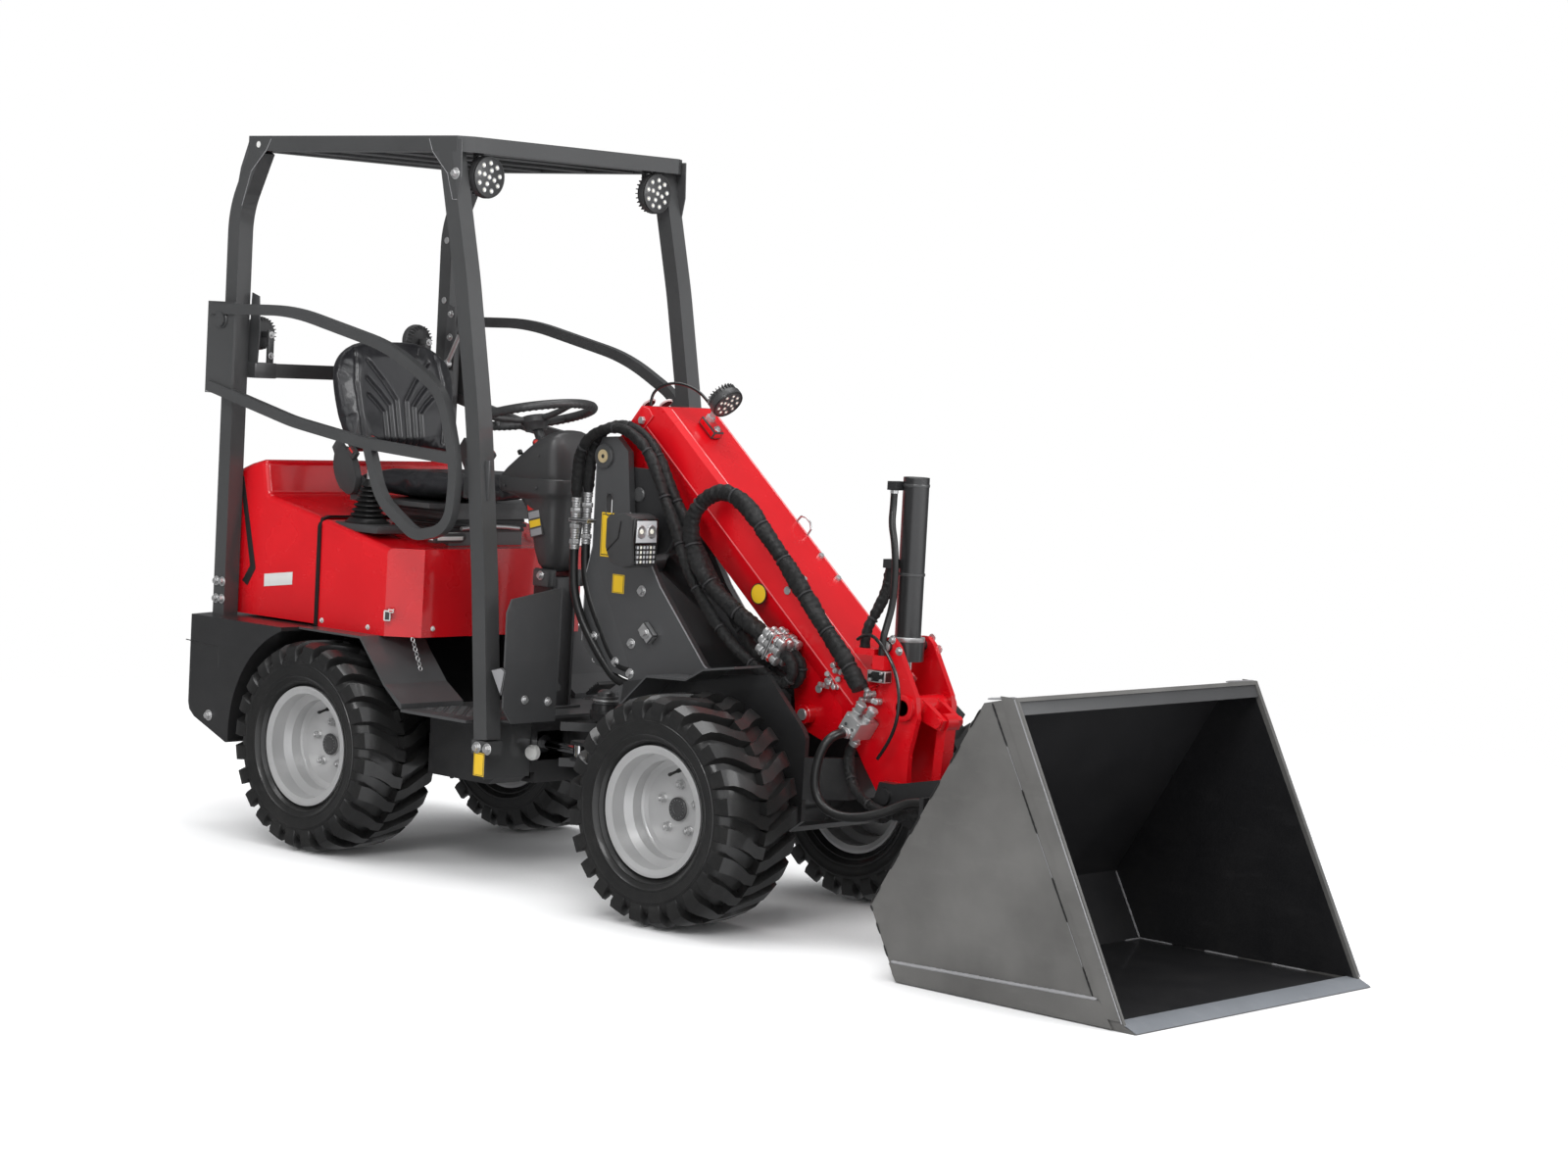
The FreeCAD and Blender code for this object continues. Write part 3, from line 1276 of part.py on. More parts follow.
def boom_lamp():
    """Round lamp on a short arm on top of the boom."""
    body = new_body("boom_lamp")
    level = S.boom_top
    disc(body, "YZ", (0, level + 98), 46, 96, 134)
    disc(body, "YZ", (0, level + 98), 32, 84, 96)
    disc(body, "XY", (112, 0), 9, level + 20, level + 60)
    slab(body, "XZ", box_points((96, level + 0.3), (166, level + 24)), -20, 20)
    boom_frame(body)


# ---------------------------------------------------------------- hoses


def couplings():
    """Screw couplings: two stacks behind the tower, the group on the boom, the valve block."""
    tower = new_body("tower_couplings")
    for middle, low in ((COUPLING_NEAR, 888), (COUPLING_FAR, 903)):
        for step, swell in enumerate((0, -3, -1, -4, 0)):
            disc(tower, "XY", middle, S.coupling_radius + swell, low + 28 * step, low + 28 * step + 28)
    bracket = [
        (BOOM_X - 32.3, -1 * TOWER_OUTER), (BOOM_X - 32.3, -118), (COUPLING_FAR[0], -118),
        (COUPLING_NEAR[0] - 12, -140), (COUPLING_NEAR[0] - 12, -168), (COUPLING_FAR[0], -168),
    ]
    slab(tower, "XY", bracket, 962, 972)
    ports = new_body("boom_couplings")
    for across in (-27, 0, 27):
        for up in (-24, 0, 24):
            disc(ports, "YZ", (across, up), S.coupling_radius - 3, -36, 36)
            disc(ports, "YZ", (across, up), S.coupling_radius - 0.5, -24, -8)
    reach = PORTS[1] + S.boom_half
    slab(ports, "YZ", box_points((-40, -38), (-1 * reach - 0.3, 38)), -5, 5)
    place(ports, PORTS, (0, 1, 0), PORTS_SLOPE)
    valve = new_body("valve_block")
    back = -1 * HEAD_OUTER - VALVE[1] - 0.3
    slab(valve, "YZ", box_points((-22, -26), (back, 26)), -28, 28)
    disc(valve, "XY", (-14, -4), S.coupling_radius - 2, 26, 58)
    disc(valve, "XY", (16, 8), S.coupling_radius - 2, 26, 66)
    disc(valve, "XZ", (8, -15), S.coupling_radius, -46, -22)
    disc(valve, "XY", (20, 4), S.coupling_radius, -46, -26)
    place(valve, VALVE, (0, 1, 0), VALVE_TURN)


def hose(label, radius, points):
    """A hose of straight runs joined by tangent arcs, each as large as its runs allow."""
    corners = [Vector(*[float(value) for value in point]) for point in points]
    route = [corners[0]]
    bends = []
    for before, here, after in zip(corners, corners[1:], corners[2:]):
        back, ahead = before - here, after - here
        shorter = min(back.Length, ahead.Length)
        bends.append(0.45 * shorter * math.tan(back.getAngle(ahead) / 2))
        route.append((*here, bends[-1]))
    route.append(corners[-1])
    path = Part.Wire([edge.toShape() for edge in bend_path(route)])
    start = corners[1] - corners[0]
    ring = Part.Wire([Part.makeCircle(float(radius), corners[0], start)])
    tube = path.makePipeShell([ring], True, False)
    section = math.pi * float(radius) ** 2
    if abs(tube.Volume / (section * path.Length) - 1) > 0.01:
        raise RuntimeError(f"{label} has a volume unlike its section and length")
    print(f"{label:20s} {path.Length:.0f} mm long, {2 * float(radius):.0f} mm thick, bends",
          " ".join(f"{bend:.0f}" for bend in bends))
    return new_feature(label, tube)


def hoses():
    """Hydraulic hoses in their sleeves, and the cable of the boom's lamp."""
    hose("hose_tower_near", S.sleeve_radius, [
        (-458, -155, 1028), (-458, -155, 1086), (-452, -160, 1144), (-414, -161, 1194),
        (-352, -160, 1221), (-286, -160, 1221), (-228, -158, 1193), (-184, -154, 1146),
        (-156, -149, 1088), (-130, -146, 1030), (-94, -147, 970), (-60, -151, 910),
        (-18, -160, 850), (36, -166, 792), (94, -168, 737), (152, -167, 688),
        (212, -163, 650), (262, -155, 625), (301.1, -149, 606.4), (329.6, -147, 615.6),
        (343.1, -146, 642.2), (333.9, -145, 670.4), (308.1, -145, 683.6),
    ])
    hose("hose_tower_far", S.sleeve_radius, [
        (-438, -132, 1043), (-438, -132, 1098), (-434, -130, 1154), (-404, -128, 1206),
        (-352, -126, 1230), (-290, -123, 1226), (-234, -120, 1196), (-192, -118, 1150),
        (-160, -116, 1094), (-122, -116, 1036), (-80, -117, 982), (-36, -120, 924),
        (14, -122, 866), (68, -124, 808), (118, -125, 752), (162, -124, 698),
        (212, -118, 652), (262, -113, 626), (301.1, -112, 606.4), (329.6, -112, 615.6),
        (343.1, -112, 642.2), (333.9, -112, 670.4), (308.1, -112, 683.6),
    ])
    hose("hose_boom", S.bundle_radius, [
        (243.4, -140, 716.6), (202, -140, 737.7), (150, -150, 770), (96, -158, 805),
        (44, -162, 846), (2, -162, 896), (-26, -160, 952), (-28, -155, 1012),
        (6, -147, 1060), (64, -138, 1082), (124, -131, 1060), (176, -127, 1012),
        (228, -124, 960), (280, -122, 906), (328, -121, 856), (374, -121, 806),
        (420, -121, 758), (466, -121, 712), (512, -121, 664), (546, -122, 622),
    ])
    hose("hose_tilt_top", S.hose_radius - 3, [
        (557, -46, 1116.4), (557, -46, 1080), (564, -58, 1036), (582, -64, 990), (590, -65, 936),
        (590, -64, 880), (588, -66, 830), (586, -80, 784), (586, -94, 746), (586, -94, 708.3),
    ])
    hose("hose_tilt_low", S.sleeve_radius - 1, [
        (557, -46, 922.6), (557, -46, 890), (552, -56, 850), (540, -72, 806), (528, -93, 762),
        (528, -93, 722.4),
    ])
    hose("hose_hitch_near", S.hose_radius, [
        (538.5, -171, 511), (538.5, -198, 511), (528, -224, 488), (518, -236, 446),
        (514, -240, 400), (522, -240, 358), (550, -238, 328), (594, -230, 314),
        (646, -212, 317), (694, -188, 333), (734, -164, 356), (766, -153, 368), (795.7, -153, 368),
    ])
    hose("hose_hitch_far", S.sleeve_radius - 2, [
        (531.7, -121, 478.5), (518.6, -121, 458.4), (527, -127, 430), (542, -136, 398),
        (568, -144, 368), (608, -147, 344), (656, -147, 328), (706, -148, 325), (752, -149, 334),
        (795.7, -149, 334),
    ])
    hose("hose_drop_near", S.hose_radius, [
        (-458, -155, 888), (-458, -155, 832), (-452, -152, 766), (-426, -147, 702),
        (-386, -141, 644), (-342, -134, 590), (-296, -129, 545), (-249.2, -129, 545),
    ])
    hose("hose_drop_far", S.hose_radius, [
        (-438, -132, 903), (-438, -132, 850), (-428, -130, 794), (-402, -129, 738),
        (-368, -128, 684), (-334, -128, 630), (-292, -128, 584), (-249.2, -128, 584),
    ])
    hose("lamp_cable", S.lamp_cable_radius, [
        (-272, -80, 1283.3), (-272, -80, 1304), (-262, -76, 1326), (-240, -66, 1341),
        (-212, -54, 1348), (-182, -42, 1344), (-154, -33, 1333), (-131.4, -28, 1318.2),
        (-113.1, -28, 1302.7),
    ])


def build():
    """Every sub-part, rear to front."""
    wheel_parts()
    axle("rear_axle", REAR, S.rear_frame_half)
    axle("front_axle", FRONT, S.front_frame_half)
    rear_chassis()
    side_tanks()
    floor_plate()
    counterweight()
    rear_fenders()
    engine_block()
    seat_console()
    engine_hood()
    roll_cage()
    work_lights()
    seat()
    steering_cylinder()
    driver_controls()
    steering_wheel()
    side_guard("side_guard_right", -1)
    side_guard("side_guard_left", 1)
    front_chassis()
    boom_tower()
    front_fenders()
    headlights()
    boom_frame(boom_outer())
    boom_inner()
    boom_head()
    lift_cylinder()
    tilt_cylinder()
    tilt_linkage()
    boom_lamp()
    hitch_frame()
    bucket()
    couplings()
    hoses()
    DOC.recompute()


def check_and_export():
    """Stops at a failed object or a bad shape, then writes one file per node."""
    for item in DOC.Objects:
        if "Invalid" in item.State or "Error" in item.State:
            raise RuntimeError(f"{item.Label} ({item.Name}) failed: {item.State}")
    os.makedirs("parts", exist_ok=True)
    for node in NODES:
        if node.Shape.isNull() or not node.Shape.isValid():
            raise RuntimeError(f"{node.Label} has no valid shape")
    for node in NODES:
        node.Shape.exportStep(os.path.join("parts", f"{node.Label}.step"))
        box = node.Shape.BoundBox
        print(f"{node.Label:20s} {len(node.Shape.Solids)} solids",
              f"x {box.XMin:.0f}..{box.XMax:.0f} y {box.YMin:.0f}..{box.YMax:.0f}",
              f"z {box.ZMin:.0f}..{box.ZMax:.0f}")


build()
check_and_export()
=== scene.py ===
"""Compact telescopic wheel loader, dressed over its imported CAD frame."""
import json
import logging
import random
from collections.abc import Callable, Iterable, Sequence
from dataclasses import dataclass, field
from enum import Enum
from math import atan2, copysign, cos, exp, pi, radians, sin, sqrt

import bmesh
import bpy
from mathutils import Matrix, Vector

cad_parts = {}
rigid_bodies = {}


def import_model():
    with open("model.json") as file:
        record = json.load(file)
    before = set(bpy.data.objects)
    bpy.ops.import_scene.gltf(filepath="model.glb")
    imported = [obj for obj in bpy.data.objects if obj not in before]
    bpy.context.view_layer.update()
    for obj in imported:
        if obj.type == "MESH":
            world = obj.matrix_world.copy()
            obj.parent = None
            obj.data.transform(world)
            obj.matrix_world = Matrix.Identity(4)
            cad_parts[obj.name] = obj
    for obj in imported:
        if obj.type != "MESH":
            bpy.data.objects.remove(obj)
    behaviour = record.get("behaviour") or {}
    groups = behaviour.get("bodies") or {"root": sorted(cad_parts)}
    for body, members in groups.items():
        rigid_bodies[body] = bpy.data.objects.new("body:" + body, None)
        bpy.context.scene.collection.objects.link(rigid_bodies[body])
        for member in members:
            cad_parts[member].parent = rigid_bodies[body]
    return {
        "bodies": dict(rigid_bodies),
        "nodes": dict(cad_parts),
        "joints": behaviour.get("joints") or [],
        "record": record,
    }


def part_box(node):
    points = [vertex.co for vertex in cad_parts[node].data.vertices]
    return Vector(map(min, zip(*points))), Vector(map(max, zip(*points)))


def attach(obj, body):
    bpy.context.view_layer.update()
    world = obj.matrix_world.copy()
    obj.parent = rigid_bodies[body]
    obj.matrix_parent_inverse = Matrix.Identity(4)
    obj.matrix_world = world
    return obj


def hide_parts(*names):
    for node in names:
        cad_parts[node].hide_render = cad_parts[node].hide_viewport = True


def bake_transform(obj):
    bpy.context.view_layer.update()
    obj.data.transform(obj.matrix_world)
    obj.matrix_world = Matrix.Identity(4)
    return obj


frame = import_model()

LOG = logging.getLogger("loader")
Point = tuple[float, float, float] | Vector
Flat = tuple[float, float]
Colour = tuple[float, float, float]
Socket = bpy.types.NodeSocket
Value = Socket | float | Sequence[float]


class Side(Enum):
    """Which side of the machine a piece stands on, as the sign of its y."""

    RIGHT = -1
    LEFT = 1


SIDES = (Side.RIGHT.value, Side.LEFT.value)
TURN = 2 * pi
UP = (0, 0, 1)
REAR_AXLE = -1.134
BOOM_PIN = (-0.374, 1.143)
BOOM_SLOPE = radians(40.3)
CAGE_HALF = 0.404


class Coat(Enum):
    """The families of finish, which choose the relief of a surface."""

    PAINT = "paint"
    METAL = "metal"
    PLASTIC = "plastic"
    RUBBER = "rubber"
    SLEEVE = "sleeve"
    VINYL = "vinyl"


# ---- shader node groups


class Nodes:
    """A node tree being written, with short ways to add and join nodes."""

    def __init__(self, tree: bpy.types.NodeTree) -> None:
        """Keep the tree."""
        self.tree = tree

    @classmethod
    def fresh(cls, owner: bpy.types.Material | bpy.types.World) -> "Nodes":
        """Empty the owner's node tree and start to write it anew.

        Args:
            owner: the material or the world.

        Returns:
            The nodes to write with.
        """
        owner.use_nodes = True
        owner.node_tree.nodes.clear()
        return cls(owner.node_tree)

    def add(self, kind: str, **values: object) -> bpy.types.Node:
        """Add a node and set its properties.

        Args:
            kind: the node's type name.
            values: properties of the node.

        Returns:
            The new node.
        """
        node = self.tree.nodes.new(kind)
        for name, value in values.items():
            setattr(node, name, value)
        return node

    def join(self, source: Socket, target: Socket) -> None:
        """Link an output to an input."""
        self.tree.links.new(source, target)

    def feed(self, node: bpy.types.Node, values: dict[str | int, Value]) -> bpy.types.Node:
        """Fill inputs of a node.

        Args:
            node: the node.
            values: a socket to link or a constant, for each input by name or place.

        Returns:
            The node.
        """
        for label, value in values.items():
            if isinstance(value, bpy.types.NodeSocket):
                self.join(value, node.inputs[label])
            else:
                node.inputs[label].default_value = value
        return node

    def maths(self, operation: str, first: Socket | float, second: Socket | float) -> Socket:
        """Add a Math node."""
        return self.feed(self.add("ShaderNodeMath", operation=operation), {0: first, 1: second}).outputs[0]

    def where(self) -> Socket:
        """Add the object's own coordinates."""
        return self.add("ShaderNodeTexCoord").outputs["Object"]

    def plus(self, first: Socket | float, second: Socket | float) -> Socket:
        """Add two values."""
        return self.maths("ADD", first, second)

    def times(self, first: Socket | float, second: Socket | float) -> Socket:
        """Multiply two values."""
        return self.maths("MULTIPLY", first, second)

    def ramp(self, factor: Socket, low: float, high: float) -> Socket:
        """Spread the part of a value from low to high over 0 to 1."""
        node = self.add("ShaderNodeMapRange", clamp=True)
        return self.feed(node, {"Value": factor, "From Min": low, "From Max": high}).outputs["Result"]

    def mix(self, factor: Socket, first: Socket | Colour, second: Socket | Colour) -> Socket:
        """Mix two colours.

        Args:
            factor: how much of the second colour shows.
            first: the colour at 0, a socket or a colour.
            second: the colour at 1, a socket or a colour.

        Returns:
            The mixed colour's socket.
        """
        first, second = ((*value, 1.0) if isinstance(value, tuple) else value for value in (first, second))
        node = self.add("ShaderNodeMix", data_type="RGBA")
        return self.feed(node, {"Factor": factor, 6: first, 7: second}).outputs[2]


class Effect:
    """A shader node group that several materials share."""

    def __init__(self, name: str, inputs: dict[str, float], outputs: Sequence[str],
            write: Callable[[Nodes, dict[str, Socket]], dict[str, Socket]]) -> None:
        """Build the group once.

        Args:
            name: the group's name.
            inputs: its input values and their defaults.
            outputs: the names of the values it puts out.
            write: writes the inside, from the inputs' sockets to the outputs' sockets.
        """
        self.tree = bpy.data.node_groups.new(name, "ShaderNodeTree")
        for label, value in inputs.items():
            socket = self.tree.interface.new_socket(label, in_out="INPUT", socket_type="NodeSocketFloat")
            socket.default_value = value
        for label in outputs:
            self.tree.interface.new_socket(label, in_out="OUTPUT", socket_type="NodeSocketFloat")
        nodes = Nodes(self.tree)
        start = nodes.add("NodeGroupInput")
        end = nodes.add("NodeGroupOutput")
        made = write(nodes, {label: start.outputs[label] for label in inputs})
        for label, socket in made.items():
            nodes.join(socket, end.inputs[label])

    def place(self, nodes: Nodes, **values: float) -> bpy.types.Node:
        """Put the group into a material."""
        return nodes.feed(nodes.add("ShaderNodeGroup", node_tree=self.tree), values)


def noise(nodes: Nodes, scale: Socket | float, detail: float = 2.0, roughness: float = 0.5) -> Socket:
    """Add a noise over the object's own coordinates.

    Args:
        nodes: the tree to write into.
        scale: how many cells a metre holds.
        detail: its octaves.
        roughness: the weight of its finer octaves.

    Returns:
        The noise value's socket.
    """
    values = {"Vector": nodes.where(), "Scale": scale, "Detail": detail, "Roughness": roughness}
    return nodes.feed(nodes.add("ShaderNodeTexNoise"), values).outputs["Fac"]


def write_grain(nodes: Nodes, sockets: dict[str, Socket]) -> dict[str, Socket]:
    """Moulded grain: rounded cells with fine noise over them.

    Args:
        nodes: the group's nodes.
        sockets: the group's inputs.

    Returns:
        The group's outputs.
    """
    cells = nodes.add("ShaderNodeTexVoronoi", feature="SMOOTH_F1")
    nodes.feed(cells, {"Vector": nodes.where(), "Scale": sockets["Scale"]})
    fine = noise(nodes, nodes.times(sockets["Scale"], 2.5))
    return {"Height": nodes.plus(nodes.times(cells.outputs["Distance"], 0.7), nodes.times(fine, 0.3))}


def write_flow(nodes: Nodes, sockets: dict[str, Socket]) -> dict[str, Socket]:
    """Sprayed paint: the soft orange peel that sets in a gloss coat."""
    return {"Height": nodes.ramp(noise(nodes, sockets["Scale"], 1.0), 0.2, 0.8)}


def write_dust(nodes: Nodes, sockets: dict[str, Socket]) -> dict[str, Socket]:
    """Dust that thins out with height above the ground and gathers in patches.

    Args:
        nodes: the group's nodes.
        sockets: the group's inputs.

    Returns:
        The group's outputs.
    """
    parts = nodes.feed(nodes.add("ShaderNodeSeparateXYZ"), {0: nodes.where()})
    low = nodes.maths("SUBTRACT", 1.0, nodes.maths("DIVIDE", parts.outputs["Z"], sockets["Reach"]))
    low = nodes.maths("MAXIMUM", low, 0.12)
    patches = nodes.ramp(noise(nodes, 9.0, 6.0, 0.65), 0.38, 0.75)
    speckle = nodes.ramp(noise(nodes, 170.0, 3.0), 0.42, 0.7)
    mask = nodes.times(nodes.times(low, sockets["Amount"]), nodes.plus(nodes.times(patches, 0.75),
        nodes.times(speckle, 0.25)))
    return {"Mask": mask}


def write_scuff(nodes: Nodes, sockets: dict[str, Socket]) -> dict[str, Socket]:
    """Fine rubbed marks, stretched along the machine.

    Args:
        nodes: the group's nodes.
        sockets: the group's inputs.

    Returns:
        The group's outputs.
    """
    stretch = nodes.add("ShaderNodeMapping")
    nodes.feed(stretch, {"Vector": nodes.where(), "Scale": (0.35, 1.0, 1.6), "Rotation": (0.0, 0.5, 0.2)})
    marks = nodes.feed(nodes.add("ShaderNodeTexNoise"), {"Vector": stretch.outputs["Vector"],
        "Scale": sockets["Scale"], "Detail": 8.0, "Roughness": 0.7})
    mask = nodes.ramp(marks.outputs["Fac"], 0.55, 0.72)
    return {"Mask": nodes.times(mask, sockets["Amount"])}


def write_weave(nodes: Nodes, sockets: dict[str, Socket]) -> dict[str, Socket]:
    """Braided sleeve: two crossing sets of fine yarns.

    Args:
        nodes: the group's nodes.
        sockets: the group's inputs.

    Returns:
        The group's outputs.
    """
    where = nodes.where()
    heights = []
    for turn in (0.8, -0.8):
        lean = nodes.feed(nodes.add("ShaderNodeMapping"), {"Rotation": (turn, turn, 0.3), "Vector": where})
        yarn = nodes.add("ShaderNodeTexWave", wave_type="BANDS", bands_direction="Z")
        nodes.feed(yarn, {"Vector": lean.outputs["Vector"], "Scale": sockets["Scale"], "Distortion": 1.5})
        heights.append(yarn.outputs["Fac"])
    creases = nodes.ramp(noise(nodes, 60.0, 3.0), 0.3, 0.7)
    return {"Height": nodes.plus(nodes.times(nodes.maths("MAXIMUM", *heights), 0.4),
        nodes.times(creases, 0.6))}


class Effects:
    """The shared effects, each built once."""

    def __init__(self) -> None:
        """Build every group."""
        self.grain = Effect("moulded_grain", {"Scale": 900.0}, ("Height",), write_grain)
        self.flow = Effect("paint_flow", {"Scale": 240.0}, ("Height",), write_flow)
        self.dust = Effect("settled_dust", {"Reach": 1.0, "Amount": 0.3}, ("Mask",), write_dust)
        self.scuff = Effect("rubbed_marks", {"Scale": 30.0, "Amount": 0.3}, ("Mask",), write_scuff)
        self.weave = Effect("braided_sleeve", {"Scale": 260.0}, ("Height",), write_weave)


# ---- finishes


@dataclass(frozen=True)
class Finish:
    """One surface finish and the material made from it."""

    name: str
    coat: Coat
    colour: Colour
    roughness: float
    metallic: float = 0.0
    varnish: float = 0.0
    relief: float = 0.1
    scale: float = 400.0
    worn: Colour = (0.2, 0.19, 0.18)
    wear: float = 0.15
    dust: float = 0.15
    glow: float = 0.0
    mottle: float = 0.14

    def material(self, effects: Effects) -> bpy.types.Material:
        """Write the material.

        Args:
            effects: the shared node groups.

        Returns:
            The new material.
        """
        material = bpy.data.materials.new(self.name)
        nodes = Nodes.fresh(material)
        shader = nodes.add("ShaderNodeBsdfPrincipled")
        out = nodes.add("ShaderNodeOutputMaterial")
        nodes.join(shader.outputs[0], out.inputs["Surface"])
        scuff = effects.scuff.place(nodes, Scale=22.0, Amount=self.wear).outputs["Mask"]
        dust = effects.dust.place(nodes, Reach=1.1, Amount=self.dust).outputs["Mask"]
        cloud = nodes.ramp(noise(nodes, 5.0, 4.0), 0.3, 0.7)
        shade = tuple(part * (1 - self.mottle) for part in self.colour)
        body = nodes.mix(cloud, shade, self.colour)
        worn = nodes.mix(scuff, body, self.worn)
        nodes.join(nodes.mix(dust, worn, (0.36, 0.34, 0.31)), shader.inputs["Base Color"])
        rough = nodes.plus(nodes.times(scuff, 0.25), nodes.times(dust, 0.5))
        rough = nodes.plus(rough, nodes.times(cloud, 0.05))
        nodes.join(nodes.maths("MINIMUM", nodes.plus(rough, self.roughness), 0.95),
            shader.inputs["Roughness"])
        nodes.feed(shader, {"Metallic": self.metallic, "Coat Weight": self.varnish, "Coat Roughness": 0.06,
            "Normal": self.normal(nodes, effects)})
        if self.glow:
            nodes.feed(shader, {"Emission Color": (*self.colour, 1.0), "Emission Strength": self.glow})
        return material

    def normal(self, nodes: Nodes, effects: Effects) -> Socket:
        """Write the relief of the finish.

        Args:
            nodes: the material's nodes.
            effects: the shared node groups.

        Returns:
            The normal's socket.
        """
        group = {Coat.PAINT: effects.flow, Coat.METAL: effects.flow, Coat.PLASTIC: effects.grain,
            Coat.RUBBER: effects.grain, Coat.VINYL: effects.grain, Coat.SLEEVE: effects.weave}[self.coat]
        height = group.place(nodes, Scale=self.scale).outputs["Height"]
        depth = 0.0015 if self.coat is Coat.SLEEVE else 0.0006
        bump = nodes.add("ShaderNodeBump")
        nodes.feed(bump, {"Strength": self.relief, "Distance": depth, "Height": height})
        return bump.outputs["Normal"]


